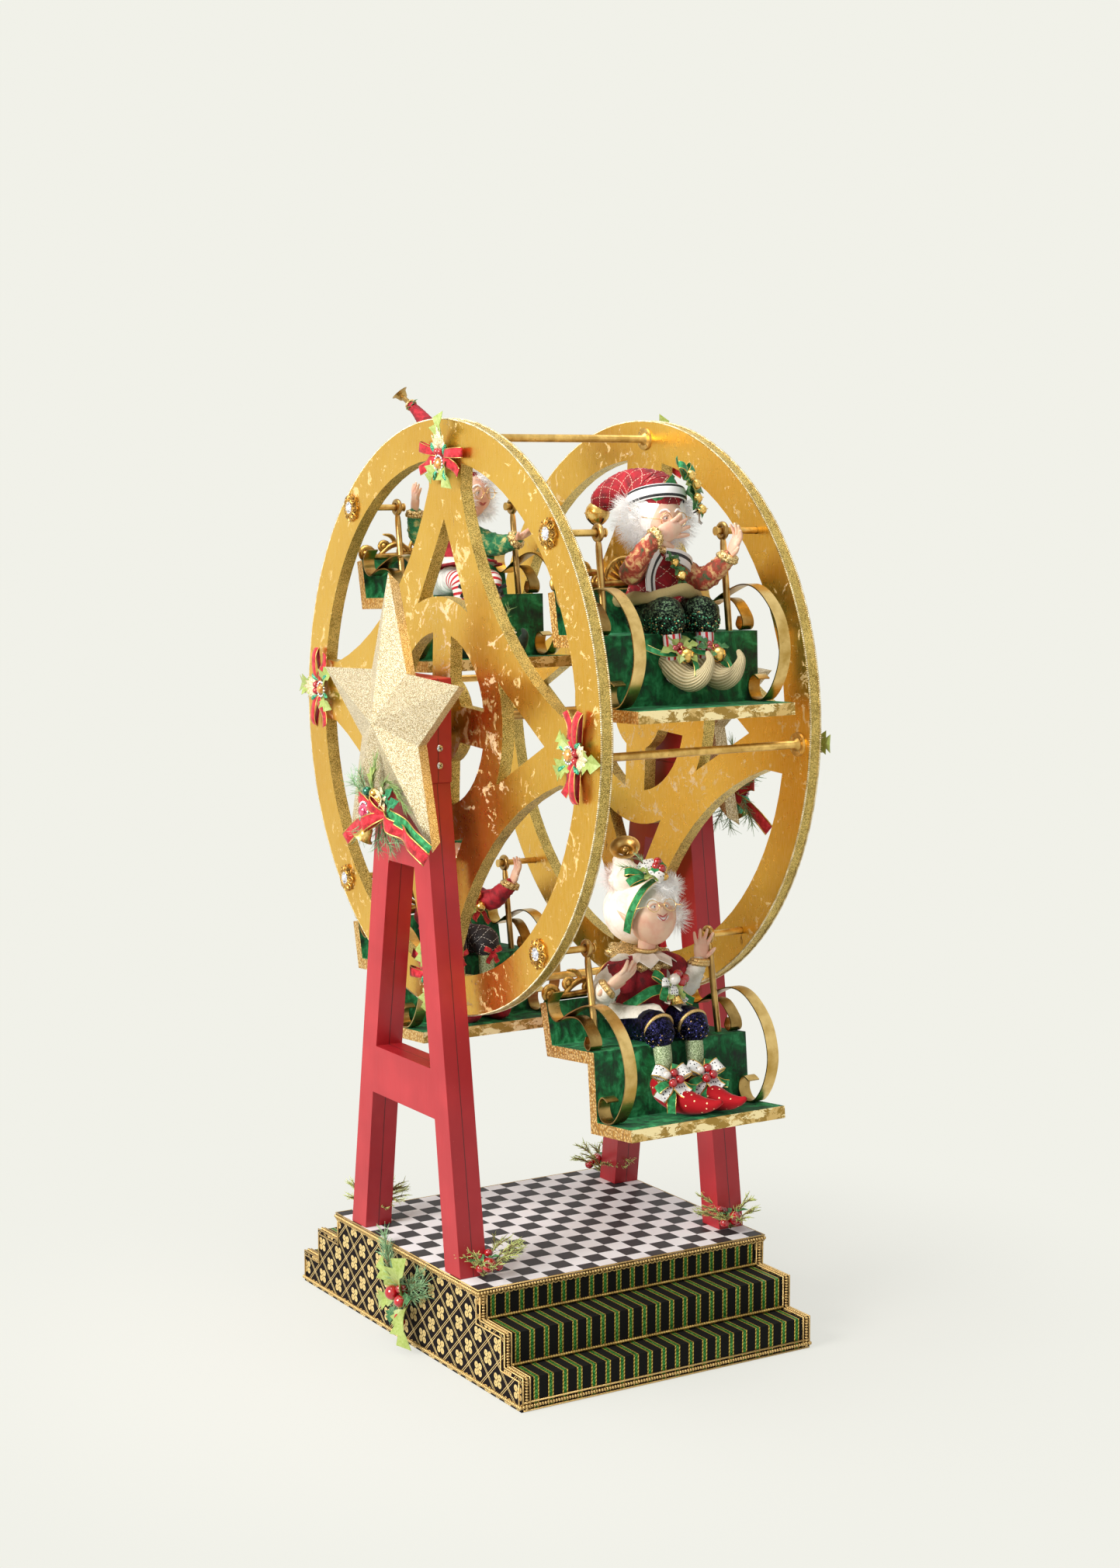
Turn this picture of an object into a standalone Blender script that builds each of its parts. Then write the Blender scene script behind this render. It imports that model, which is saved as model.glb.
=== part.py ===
"""Ornamental ferris wheel with four hanging gondolas and seated elf dolls.

Metres, +Z up. X runs along the axle, with left at -X. The riders face -Y.
The origin is the middle of the base's underside.
Points of a flat outline are (forward, up) pairs, where forward is -Y.
"""
from math import asin, atan2, cos, hypot, pi, radians, sin, sqrt, tan

import bmesh
import bpy
from mathutils import Matrix, Vector

# Fits
GAP = 0.0003

# Flat sides around a turned piece, and steps along a curve
ROUND_SIDES = 16
PIN_SIDES = 12
ROD_SIDES = 10
WHEEL_SIDES = 90
RIM_ARC_STEPS = 16
STAR_ARC_STEPS = 10
RING_ARC_STEPS = 8
HUB_ARC_STEPS = 4
MERGE_DISTANCE = 1e-6
SMOOTH_ANGLE = radians(40)
BAND_SMOOTH_ANGLE = radians(50)

# Base
BASE_WIDTH = 0.406
TIER_LENGTHS = (0.553, 0.471, 0.360)
TIER_RISES = (0.039, 0.039, 0.038)
SIDE_PANEL_T = 0.012
STEP_BOARD_T = 0.012
BOTTOM_BOARD_T = 0.009
FLOOR_T = 0.003

# A-frames
FRAME_T = 0.036
FOOT_HALF_SPREAD = 0.138
LEG_LEAN = 0.142
LEG_WIDTH = 0.0365
CROSSBAR_Z = 0.295
CROSSBAR_HEIGHT = 0.059
LOWER_OPENING_LEAN = 0.1295
WINDOW_HEIGHT = 0.235
WINDOW_HALF_BOTTOM = 0.0687
WINDOW_HALF_TOP = 0.0321

# Bearings and axle
AXLE_Z = 0.759
BLOCK_DROP = 0.069
AXLE_R = 0.008
BLOCK_HALF_WIDTH = 0.060
BLOCK_HEIGHT = 0.123
BUSH_R = 0.014
BUSH_FLANGE_R = 0.030
BUSH_FLANGE_T = 0.002
HUB_BOSS_R = 0.022
AXLE_END_SETBACK = 0.003

# Wheels: the sawn star's sizes follow the wheel's radius
WHEEL_R = 0.354
WHEEL_T = 0.016
WHEEL_FRAME_GAP = 0.0185
WHEEL_TURN = radians(2.7)
RIM_WIDTH = 0.0464
STAR_ARC_CENTRE = 1.148 * WHEEL_R
STAR_ARC_R = 1.1068 * WHEEL_R
STAR_ARM_HALF = 0.1073 * WHEEL_R
ARM_WINDOW_INNER_R = 0.4124 * WHEEL_R
ARM_WINDOW_APEX_R = 0.6723 * WHEEL_R
ARM_WINDOW_HALF = 0.1695 * WHEEL_R
HUB_WINDOW_R = 0.2938 * WHEEL_R
HUB_DISC_R = 0.053
SPOKE_WIDTH = 0.043

# Rods and pivot pins
ROD_R = 0.00475
ROD_INSET = 0.021
ROD_FLANGE_R = 0.014
ROD_FLANGE_T = 0.0025
PIN_R = 0.0042
PIN_INSET = 0.019
MEDALLION_R = 0.015
MEDALLION_T = 0.006

# Stars
STAR_TIP_R = 0.176
STAR_NOTCH_R = 0.074
STAR_RIM_DEPTH = 0.014
STAR_RIDGE = 0.025
STAR_BACK_SCALE = 0.93

# Gondolas, measured from their pivot
GONDOLA_WHEEL_GAP = 0.027
GONDOLA_BOARD_T = 0.014
SEAT_DROP = 0.114
SEAT_BACK = -0.053
SEAT_FRONT = 0.0373
FOOTBOARD_DROP = 0.1935
FOOTBOARD_FRONT = 0.1075
BACK_PANEL_HEIGHT = 0.050
BACK_PANEL_LEAN = radians(9.4)
CREST_HEIGHT = 0.020
CREST_RISE = 0.016
CREST_T = 0.008
CREST_LOBES = 5
CREST_LOBE_STEPS = 4
CREST_VALLEY = 0.45
CREST_SPAN = 0.9

# Hangers
EYE_R = 0.011
EYE_T = 0.009
ROD_ROOT_R = 0.0088
HANGER_INSET = 0.0207
HANGER_ROD_R = 0.00425
HANGER_LEAN = radians(5.4)

# Armrests, flat bands bent to scrolls, as (forward, up) points
BAND_WIDTH = 0.0155
BAND_T = 0.0015
BAND_STEPS = 2
FOOT_SCROLL = (  # from the inner corner of the footboard
    (0.0230, 0.0255), (0.0130, 0.0300), (0.0050, 0.0240), (0.0035, 0.0125), (0.0120, 0.0022),
    (0.0330, 0.0045),
)
ARM_SWEEP = (  # from the front edge of the seat
    (0.0530, -0.0525), (0.0627, -0.0210), (0.0532, 0.0163), (0.0248, 0.0448), (-0.0073, 0.0528),
    (-0.0464, 0.0420),
)
BACK_SCROLL = (  # from the back corner of the seat
    (0.0136, 0.0288), (-0.0015, 0.0360), (-0.0045, 0.0500), (0.0070, 0.0616),
)
REST_SWEEP = ((-0.0513, 0.0360), (-0.0278, 0.0344), (-0.0100, 0.0181))
REST_SCROLL = ((-0.0068, 0.0070), (-0.0127, 0.0015), (-0.0198, 0.0070), (-0.0156, 0.0165))

# Places around the wheel: angle from forward to up, and how far the gondola hangs nose-up
PLACES = {
    "front_top": (radians(45), radians(2.0)),
    "back_top": (radians(135), radians(3.0)),
    "back_bottom": (radians(225), radians(4.0)),
    "front_bottom": (radians(315), radians(5.5)),
}
ROD_PLACES = {"top": radians(90), "back": radians(180), "bottom": radians(270), "front": radians(0)}

# Riders: balls along each limb, as (x, forward, up, radius) from the seat's front edge, where x
# is for hangers REACH from the middle
REACH = 0.0848
VOXEL = 0.0035
BODY_KEEP = 0.062
HEAD_KEEP = 0.06
SEAT_AIR = 0.0004
BALL_SPACING = 0.35
NECK_UP = 0.0905
NECK_HALF = 0.014
TRUNK = ((0.0, -0.059, 0.023, 0.024), (0.0, -0.055, 0.046, 0.022), (0.0, -0.050, 0.066, 0.024))
NECK = ((0.0, -0.047, 0.069, 0.012), (0.0, -0.044, 0.092, 0.012))
THIGH = ((0.013, -0.051, 0.017, 0.018), (0.024, 0.009, 0.020, 0.017), (0.022, 0.013, -0.004, 0.011))
FOOT = (  # from the inner corner of the footboard
    (0.021, 0.012, 0.036, 0.009), (0.021, 0.017, 0.0125, 0.013), (0.024, 0.047, 0.0105, 0.011),
    (0.026, 0.067, 0.022, 0.006),
)
SHOULDER = (0.024, -0.047, 0.076, 0.013)
STUB = ((0.0, -0.045, 0.114, 0.013), (0.0, -0.044, 0.092, 0.012))
HEADS = {
    "front_top": ((0.0, -0.043, 0.138, 0.031), (0.0, -0.053, 0.144, 0.037)),
    "back_top": ((0.0, -0.041, 0.134, 0.031), (0.0, -0.049, 0.142, 0.037)),
    "back_bottom": ((0.0, -0.043, 0.136, 0.031), (0.0, -0.053, 0.144, 0.037)),
    "front_bottom": ((0.0, -0.039, 0.140, 0.031), (-0.006, -0.063, 0.158, 0.042)),
}
HATS = {
    "front_top": (
        (0.0, -0.055, 0.164, 0.030), (-0.014, -0.079, 0.184, 0.019), (-0.030, -0.099, 0.174, 0.012),
        (-0.040, -0.105, 0.156, 0.009), (-0.041, -0.106, 0.140, 0.012),
    ),
    "back_top": (
        (0.0, -0.053, 0.160, 0.030), (0.0, -0.077, 0.196, 0.018), (0.0, -0.103, 0.226, 0.010),
        (0.0, -0.141, 0.252, 0.006), (0.0, -0.173, 0.271, 0.009),
    ),
    "back_bottom": (
        (0.0, -0.055, 0.164, 0.030), (-0.016, -0.077, 0.186, 0.019), (-0.032, -0.095, 0.176, 0.012),
        (-0.041, -0.101, 0.158, 0.009), (-0.042, -0.103, 0.142, 0.012),
    ),
    "front_bottom": (
        (-0.006, -0.067, 0.174, 0.030), (-0.006, -0.079, 0.198, 0.016), (-0.004, -0.087, 0.216, 0.013),
    ),
}
ARMS = {
    "front_top": (
        ((-0.036, -0.031, 0.062, 0.011), (-0.020, -0.003, 0.096, 0.009), (0.000, 0.003, 0.112, 0.007)),
        ((0.044, -0.025, 0.060, 0.011), (0.060, 0.007, 0.084, 0.008), (0.064, 0.017, 0.104, 0.007)),
    ),
    "back_top": (
        ((-0.048, -0.041, 0.080, 0.011), (-0.062, -0.030, 0.104, 0.008), (-0.064, -0.022, 0.126, 0.007)),
        ((0.042, -0.015, 0.064, 0.011), (0.056, 0.021, 0.068, 0.008), (0.062, 0.041, 0.078, 0.007)),
    ),
    "back_bottom": (
        ((-0.042, -0.027, 0.054, 0.011), (-0.040, 0.003, 0.052, 0.008), (-0.036, 0.017, 0.054, 0.007)),
        ((0.046, -0.007, 0.070, 0.011), (0.060, 0.023, 0.090, 0.008), (0.064, 0.037, 0.112, 0.007)),
    ),
    "front_bottom": (
        ((-0.044, -0.043, 0.052, 0.011), (-0.046, -0.019, 0.072, 0.009), (-0.040, -0.005, 0.086, 0.007)),
        ((0.046, -0.039, 0.058, 0.011), (0.062, -0.027, 0.082, 0.008), (0.067, -0.023, 0.106, 0.007)),
    ),
}

# Worked out from the sizes above
BASE_HEIGHT = sum(TIER_RISES)
FRAME_TOP_Z = AXLE_Z - BLOCK_DROP
FRAME_OUTER_X = BASE_WIDTH / 2
FRAME_INNER_X = FRAME_OUTER_X - FRAME_T
WHEEL_OUTER_X = FRAME_INNER_X - WHEEL_FRAME_GAP
WHEEL_INNER_X = WHEEL_OUTER_X - WHEEL_T
ROD_CIRCLE_R = WHEEL_R - ROD_INSET
PIN_CIRCLE_R = WHEEL_R - PIN_INSET
GONDOLA_HALF_WIDTH = WHEEL_INNER_X - GONDOLA_WHEEL_GAP
HANGER_X = GONDOLA_HALF_WIDTH - HANGER_INSET
BAND_OUTER_X = GONDOLA_HALF_WIDTH - GAP
BLOCK_BOTTOM_Z = FRAME_TOP_Z + GAP
SIDES = {"left": -1, "right": 1}


def finish(name, colour, roughness, metallic=0.0):
    """A plain material of one colour."""
    material = bpy.data.materials.new(name)
    material.use_nodes = True
    shader = material.node_tree.nodes["Principled BSDF"]
    shader.inputs["Base Color"].default_value = (*colour, 1.0)
    shader.inputs["Roughness"].default_value = roughness
    shader.inputs["Metallic"].default_value = metallic
    return material


def make_finishes():
    """Every finish on the object, by name."""
    return {
        "gold_leaf": finish("gold_leaf", (0.70, 0.45, 0.13), 0.35, 0.9),
        "red_paint": finish("red_paint", (0.55, 0.03, 0.05), 0.45),
        "bronze": finish("bronze", (0.42, 0.27, 0.10), 0.35, 1.0),
        "steel": finish("steel", (0.60, 0.60, 0.60), 0.30, 1.0),
        "green_velvet": finish("green_velvet", (0.01, 0.13, 0.06), 0.80),
        "black_brocade": finish("black_brocade", (0.02, 0.02, 0.02), 0.70),
        "checker_floor": finish("checker_floor", (0.75, 0.75, 0.75), 0.55),
        "pale_glitter": finish("pale_glitter", (0.75, 0.65, 0.40), 0.40, 0.5),
        "bare_wood": finish("bare_wood", (0.45, 0.30, 0.18), 0.60),
        "red_cloth": finish("red_cloth", (0.50, 0.01, 0.04), 0.85),
        "doll_skin": finish("doll_skin", (0.80, 0.52, 0.42), 0.55),
    }


def empty_scene():
    """Removes what a new Blender file holds."""
    for item in list(bpy.data.objects):
        bpy.data.objects.remove(item, do_unlink=True)


def add_object(name, bm, material=None, smooth_angle=None):
    """Turns a bmesh into an object whose faces point outwards."""
    bmesh.ops.recalc_face_normals(bm, faces=bm.faces)
    mesh = bpy.data.meshes.new(name)
    bm.to_mesh(mesh)
    bm.free()
    if smooth_angle is not None:
        mesh.shade_smooth()
        mesh.set_sharp_from_angle(angle=smooth_angle)
    if material is not None:
        mesh.materials.append(material)
    item = bpy.data.objects.new(name, mesh)
    bpy.context.scene.collection.objects.link(item)
    return item


def as_cutter(item):
    """Marks an object as a tool for a Boolean, not a piece of its own."""
    item.hide_render = True
    item.display_type = "WIRE"
    return item


def boolean(item, other, operation):
    """Adds a Boolean with another object to this one."""
    modifier = item.modifiers.new(operation.lower(), "BOOLEAN")
    modifier.operation = operation
    modifier.solver = "EXACT"
    modifier.object = as_cutter(other)
    return item


def place(item, parent=None, location=(0, 0, 0), turn=0.0):
    """Parents an object, then sets where it is and its turn about X."""
    item.parent = parent
    item.location = location
    item.rotation_euler = (turn, 0, 0)
    return item


def anchor(name, location, turn=0.0):
    """An empty on a joint's axis."""
    item = bpy.data.objects.new(name, None)
    bpy.context.scene.collection.objects.link(item)
    return place(item, None, location, turn)


def add_prism(bm, outline, x0, x1):
    """Adds a board with a (forward, up) outline that reaches from x0 to x1."""
    ring = [bm.verts.new((x0, -forward, up)) for forward, up in outline]
    face = bm.faces.new(ring)
    grown = bmesh.ops.extrude_face_region(bm, geom=[face])["geom"]
    verts = [v for v in grown if isinstance(v, bmesh.types.BMVert)]
    bmesh.ops.translate(bm, verts=verts, vec=(x1 - x0, 0, 0))


def board(name, outline, x0, x1, material=None):
    """A board with a (forward, up) outline."""
    bm = bmesh.new()
    add_prism(bm, outline, x0, x1)
    return add_object(name, bm, material)


def turned(name, profile, material=None, segments=ROUND_SIDES):
    """A solid turned about X from (x, radius) points."""
    bm = bmesh.new()
    verts = [bm.verts.new((x, 0, radius)) for x, radius in profile]
    edges = [bm.edges.new(pair) for pair in zip(verts, verts[1:])]
    bmesh.ops.spin(bm, geom=verts + edges, cent=(0, 0, 0), axis=(1, 0, 0), angle=2 * pi, steps=segments)
    bmesh.ops.remove_doubles(bm, verts=bm.verts, dist=MERGE_DISTANCE)
    return add_object(name, bm, material, SMOOTH_ANGLE)


def arc(centre, radius, start, end, steps):
    """Points along a circle, from the start angle to the end angle."""
    turn = (end - start) / steps
    return [
        (centre[0] + radius * cos(start + turn * i), centre[1] + radius * sin(start + turn * i))
        for i in range(steps + 1)
    ]


def turned_by(points, angle):
    """Flat points turned about the origin."""
    return [(f * cos(angle) - u * sin(angle), f * sin(angle) + u * cos(angle)) for f, u in points]


def smooth_path(points, steps):
    """A Catmull-Rom curve through flat points."""
    pts = [points[0], *points, points[-1]]
    path = []
    for a, b, c, d in zip(pts, pts[1:], pts[2:], pts[3:]):
        for i in range(steps):
            t = i / steps
            path.append(tuple(
                0.5 * (2 * b[k] + (c[k] - a[k]) * t + (2 * a[k] - 5 * b[k] + 4 * c[k] - d[k]) * t * t
                       + (3 * b[k] - a[k] - 3 * c[k] + d[k]) * t ** 3)
                for k in (0, 1)
            ))
    return path + [points[-1]]


def step_outline(top):
    """The base's stepped outline, from the front foot over the top to the back foot."""
    front = []
    z = 0.0
    for length, rise in zip(TIER_LENGTHS, TIER_RISES):
        front.append((length / 2, z))
        z = min(z + rise, top)
        front.append((length / 2, z))
    return front + [(-forward, up) for forward, up in reversed(front)]


def build_base(finishes):
    """Two side panels, the folded steps, the bottom board and the checkered floor."""
    top = BASE_HEIGHT - FLOOR_T - GAP
    outer = step_outline(top)
    panel_x = BASE_WIDTH / 2 - SIDE_PANEL_T
    for side, sign in SIDES.items():
        board(f"base_side_{side}", outer, sign * panel_x, sign * BASE_WIDTH / 2, finishes["black_brocade"])

    half = len(outer) // 2
    inner_front = []
    for i, (forward, up) in enumerate(outer[:half]):
        inner_front.append((forward - STEP_BOARD_T, up - STEP_BOARD_T if i else 0.0))
    for i in range(2, half, 2):
        inner_front[i] = (inner_front[i][0], inner_front[i - 1][1])
    inner = inner_front + [(-forward, up) for forward, up in reversed(inner_front)]
    width = panel_x - GAP
    board("base_steps", outer + inner[::-1], -width, width, finishes["black_brocade"])

    reach = TIER_LENGTHS[0] / 2 - STEP_BOARD_T - GAP
    slab = [(-reach, 0), (reach, 0), (reach, BOTTOM_BOARD_T), (-reach, BOTTOM_BOARD_T)]
    board("base_bottom_board", slab, -width, width, finishes["bare_wood"])

    reach = TIER_LENGTHS[2] / 2
    floor_z = BASE_HEIGHT - FLOOR_T
    slab = [(-reach, floor_z), (reach, floor_z), (reach, BASE_HEIGHT), (-reach, BASE_HEIGHT)]
    board("platform_floor", slab, -BASE_WIDTH / 2, BASE_WIDTH / 2, finishes["checker_floor"])


def frame_outline():
    """Outer outline of an A-frame, with the opening between its feet."""
    foot_z = BASE_HEIGHT + GAP
    top_half = FOOT_HALF_SPREAD - LEG_LEAN * (FRAME_TOP_Z - BASE_HEIGHT)
    inner_foot = FOOT_HALF_SPREAD - LEG_WIDTH
    inner_top = inner_foot - LOWER_OPENING_LEAN * (CROSSBAR_Z - BASE_HEIGHT)
    half = [
        (inner_top, CROSSBAR_Z), (inner_foot, foot_z), (FOOT_HALF_SPREAD, foot_z), (top_half, FRAME_TOP_Z),
    ]
    return half + [(-forward, up) for forward, up in reversed(half)]


def build_frames(finishes):
    """The two red A-frames, their bearing blocks, bushes and stars."""
    window_z = CROSSBAR_Z + CROSSBAR_HEIGHT
    window = [
        (-WINDOW_HALF_BOTTOM, window_z), (WINDOW_HALF_BOTTOM, window_z),
        (WINDOW_HALF_TOP, window_z + WINDOW_HEIGHT), (-WINDOW_HALF_TOP, window_z + WINDOW_HEIGHT),
    ]
    block_top = BLOCK_BOTTOM_Z + BLOCK_HEIGHT
    block = [
        (-BLOCK_HALF_WIDTH, BLOCK_BOTTOM_Z), (BLOCK_HALF_WIDTH, BLOCK_BOTTOM_Z),
        (BLOCK_HALF_WIDTH, block_top), (-BLOCK_HALF_WIDTH, block_top),
    ]
    for side, sign in SIDES.items():
        inner, outer = sign * FRAME_INNER_X, sign * FRAME_OUTER_X
        frame = board(f"a_frame_{side}", frame_outline(), inner, outer, finishes["red_paint"])
        cutter = board(f"cut_window_{side}", window, inner - sign * GAP, outer + sign * GAP)
        boolean(frame, cutter, "DIFFERENCE")

        bore_r = BUSH_R + GAP
        bearing_block = board(f"bearing_block_{side}", block, inner, outer, finishes["red_paint"])
        bore = turned(f"cut_bore_{side}", [
            (inner - sign * GAP, 0), (inner - sign * GAP, bore_r), (outer + sign * GAP, bore_r),
            (outer + sign * GAP, 0),
        ])
        boolean(bearing_block, place(bore, None, (0, 0, AXLE_Z)), "DIFFERENCE")

        flange_x = inner - sign * GAP
        face_x = flange_x - sign * BUSH_FLANGE_T
        end_x = outer - sign * AXLE_END_SETBACK
        hole_r = AXLE_R + GAP
        bush = turned(f"bearing_bush_{side}", [
            (face_x, hole_r), (face_x, BUSH_FLANGE_R), (flange_x, BUSH_FLANGE_R), (flange_x, BUSH_R),
            (end_x, BUSH_R), (end_x, hole_r), (face_x, hole_r),
        ], finishes["steel"])
        place(bush, None, (0, 0, AXLE_Z))
        build_star(side, sign, finishes)


def star_ring(radius_scale):
    """Ten corners of a five-pointed star, tip first."""
    corners = []
    for i in range(10):
        radius = radius_scale * (STAR_NOTCH_R if i % 2 else STAR_TIP_R)
        angle = pi / 2 - i * pi / 5
        corners.append((radius * cos(angle), radius * sin(angle)))
    return corners


def build_star(side, sign, finishes):
    """A ridged star that stands on the A-frame's outer face."""
    bm = bmesh.new()
    back_x = sign * (FRAME_OUTER_X + GAP)
    rim_x = back_x + sign * STAR_RIM_DEPTH
    back = [bm.verts.new((back_x, -f, u)) for f, u in star_ring(STAR_BACK_SCALE)]
    rim = [bm.verts.new((rim_x, -f, u)) for f, u in star_ring(1.0)]
    ridge = bm.verts.new((rim_x + sign * STAR_RIDGE, 0, 0))
    bm.faces.new(back)
    for i in range(10):
        j = (i + 1) % 10
        bm.faces.new((back[i], back[j], rim[j], rim[i]))
        bm.faces.new((rim[i], rim[j], ridge))
    star = add_object(f"star_{side}", bm, finishes["pale_glitter"])
    place(star, None, (0, 0, AXLE_Z))


def rim_window():
    """The opening between the rim and two arms of the wheel's star."""
    rim_r = WHEEL_R - RIM_WIDTH
    centre = (STAR_ARC_CENTRE, STAR_ARC_CENTRE)
    spread = asin((STAR_ARC_CENTRE - STAR_ARM_HALF) / STAR_ARC_R) - pi / 4
    concave = arc(centre, STAR_ARC_R, -3 * pi / 4 - spread, -3 * pi / 4 + spread, STAR_ARC_STEPS)
    edge = atan2(STAR_ARM_HALF, sqrt(rim_r ** 2 - STAR_ARM_HALF ** 2))
    rim = arc((0, 0), rim_r, edge, pi / 2 - edge, RIM_ARC_STEPS)
    return concave + rim


def arm_window():
    """The A-shaped opening in an arm that points forward."""
    edge = atan2(ARM_WINDOW_HALF, sqrt(ARM_WINDOW_INNER_R ** 2 - ARM_WINDOW_HALF ** 2))
    return arc((0, 0), ARM_WINDOW_INNER_R, -edge, edge, RING_ARC_STEPS) + [(ARM_WINDOW_APEX_R, 0.0)]


def hub_window():
    """The opening between two spokes."""
    half = SPOKE_WIDTH / 2
    outer_edge = atan2(half, sqrt(HUB_WINDOW_R ** 2 - half ** 2))
    inner_edge = atan2(half, sqrt(HUB_DISC_R ** 2 - half ** 2))
    outer = arc((0, 0), HUB_WINDOW_R, outer_edge, pi / 2 - outer_edge, RING_ARC_STEPS)
    inner = arc((0, 0), HUB_DISC_R, pi / 2 - inner_edge, inner_edge, HUB_ARC_STEPS)
    return outer + inner


def build_wheel(side, sign, axis, finishes):
    """A sawn wheel: rim, four-armed star, ring, spokes and hub."""
    inner, outer = sign * WHEEL_INNER_X, sign * WHEEL_OUTER_X
    bm = bmesh.new()
    add_prism(bm, arc((0, 0), WHEEL_R, 0, 2 * pi, WHEEL_SIDES)[:-1], inner, outer)
    wheel = place(add_object(f"wheel_{side}", bm, finishes["gold_leaf"], SMOOTH_ANGLE), axis)
    x0, x1 = inner - sign * GAP, outer + sign * GAP
    bm = bmesh.new()
    for quarter in range(4):
        angle = quarter * pi / 2
        for window in (rim_window(), arm_window(), hub_window()):
            add_prism(bm, turned_by(window, angle), x0, x1)
        pin_angle = angle + pi / 4
        pin_at = (PIN_CIRCLE_R * cos(pin_angle), PIN_CIRCLE_R * sin(pin_angle))
        add_prism(bm, arc(pin_at, PIN_R + GAP, 0, 2 * pi, PIN_SIDES)[:-1], x0, x1)
    add_prism(bm, arc((0, 0), AXLE_R + GAP, 0, 2 * pi, ROUND_SIDES)[:-1], x0, x1)
    cutter = add_object(f"cut_wheel_{side}", bm)
    boolean(wheel, place(cutter, axis), "DIFFERENCE")


def build_axle(axis, finishes):
    """The axle, with a hub boss outside each wheel."""
    end_x = FRAME_OUTER_X - AXLE_END_SETBACK
    boss_in = WHEEL_OUTER_X + GAP
    boss_out = FRAME_INNER_X - BUSH_FLANGE_T - 2 * GAP
    right = [(boss_in, AXLE_R), (boss_in, HUB_BOSS_R), (boss_out, HUB_BOSS_R), (boss_out, AXLE_R),
             (end_x, AXLE_R), (end_x, 0)]
    profile = [(-x, radius) for x, radius in reversed(right)] + right
    place(turned("axle", profile, finishes["bronze"]), axis)


def wheel_point(radius, angle):
    """Where a point of the wheel is, seen from its axis."""
    return (0, -radius * cos(angle), radius * sin(angle))


def build_rods(axis, finishes):
    """Four flanged rods that tie the wheels together."""
    face = WHEEL_INNER_X - GAP
    step = face - ROD_FLANGE_T
    profile = [(-face, 0), (-face, ROD_FLANGE_R), (-step, ROD_FLANGE_R), (-step, ROD_R),
               (step, ROD_R), (step, ROD_FLANGE_R), (face, ROD_FLANGE_R), (face, 0)]
    for name, angle in ROD_PLACES.items():
        rod = turned(f"cross_rod_{name}", profile, finishes["gold_leaf"])
        place(rod, axis, wheel_point(ROD_CIRCLE_R, angle))


def build_pins(name, angle, axis, finishes):
    """The two pivot pins of a gondola, each with a domed medallion outside the wheel."""
    tip = HANGER_X - EYE_T
    head = WHEEL_OUTER_X + GAP
    for side, sign in SIDES.items():
        profile = [(tip, 0), (tip, PIN_R), (head, PIN_R), (head, MEDALLION_R),
                   (head + MEDALLION_T / 2, MEDALLION_R), (head + MEDALLION_T, MEDALLION_R / 2),
                   (head + MEDALLION_T, 0)]
        pin = turned(f"pivot_pin_{name}_{side}", [(sign * x, r) for x, r in profile],
                     finishes["gold_leaf"], PIN_SIDES)
        place(pin, axis, wheel_point(PIN_CIRCLE_R, angle))


def back_panel_point(height, depth):
    """A point up the leaning back panel and back from its front face."""
    forward = SEAT_BACK - height * sin(BACK_PANEL_LEAN) - depth * cos(BACK_PANEL_LEAN)
    up = -SEAT_DROP + height * cos(BACK_PANEL_LEAN) - depth * sin(BACK_PANEL_LEAN)
    return forward, up


def gondola_outline():
    """Side outline of the boards: back panel, seat, riser and footboard."""
    t = GONDOLA_BOARD_T
    heel = back_panel_point(0, t)
    seat_low = -SEAT_DROP - t
    heel_low = (heel[0] + (heel[1] - seat_low) * tan(BACK_PANEL_LEAN), seat_low)
    return [
        back_panel_point(BACK_PANEL_HEIGHT, 0), back_panel_point(BACK_PANEL_HEIGHT, t), heel_low,
        (SEAT_FRONT - t, seat_low), (SEAT_FRONT - t, -FOOTBOARD_DROP - t),
        (FOOTBOARD_FRONT, -FOOTBOARD_DROP - t), (FOOTBOARD_FRONT, -FOOTBOARD_DROP),
        (SEAT_FRONT, -FOOTBOARD_DROP), (SEAT_FRONT, -SEAT_DROP), (SEAT_BACK, -SEAT_DROP),
    ]


def hanger_rod(name, radius, extra, material=None):
    """A leaning rod from the eye through the seat."""
    length = (SEAT_DROP + GONDOLA_BOARD_T + extra) / cos(HANGER_LEAN)
    bm = bmesh.new()
    bmesh.ops.create_cone(bm, cap_ends=True, segments=ROD_SIDES, radius1=radius, radius2=radius,
                          depth=length - ROD_ROOT_R)
    bmesh.ops.translate(bm, verts=bm.verts, vec=(0, 0, -(length + ROD_ROOT_R) / 2))
    bmesh.ops.rotate(bm, verts=bm.verts, matrix=Matrix.Rotation(-HANGER_LEAN, 3, "X"))
    return add_object(name, bm, material, SMOOTH_ANGLE)


def build_hanger(name, side, sign, pivot, finishes):
    """An eye bolt that hangs on a pivot pin and runs down through the seat."""
    at = (sign * HANGER_X, 0, 0)
    hole_r = PIN_R + GAP
    half = EYE_T / 2
    eye = turned(f"hanger_{name}_{side}", [
        (-half, hole_r), (-half, EYE_R), (half, EYE_R), (half, hole_r), (-half, hole_r),
    ], finishes["bronze"])
    rod = hanger_rod(f"join_rod_{name}_{side}", HANGER_ROD_R, 0.0)
    boolean(place(eye, pivot, at), place(rod, pivot, at), "UNION")


def shifted(points, corner):
    """Flat points given from a corner."""
    return [(corner[0] + forward, corner[1] + up) for forward, up in points]


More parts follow.
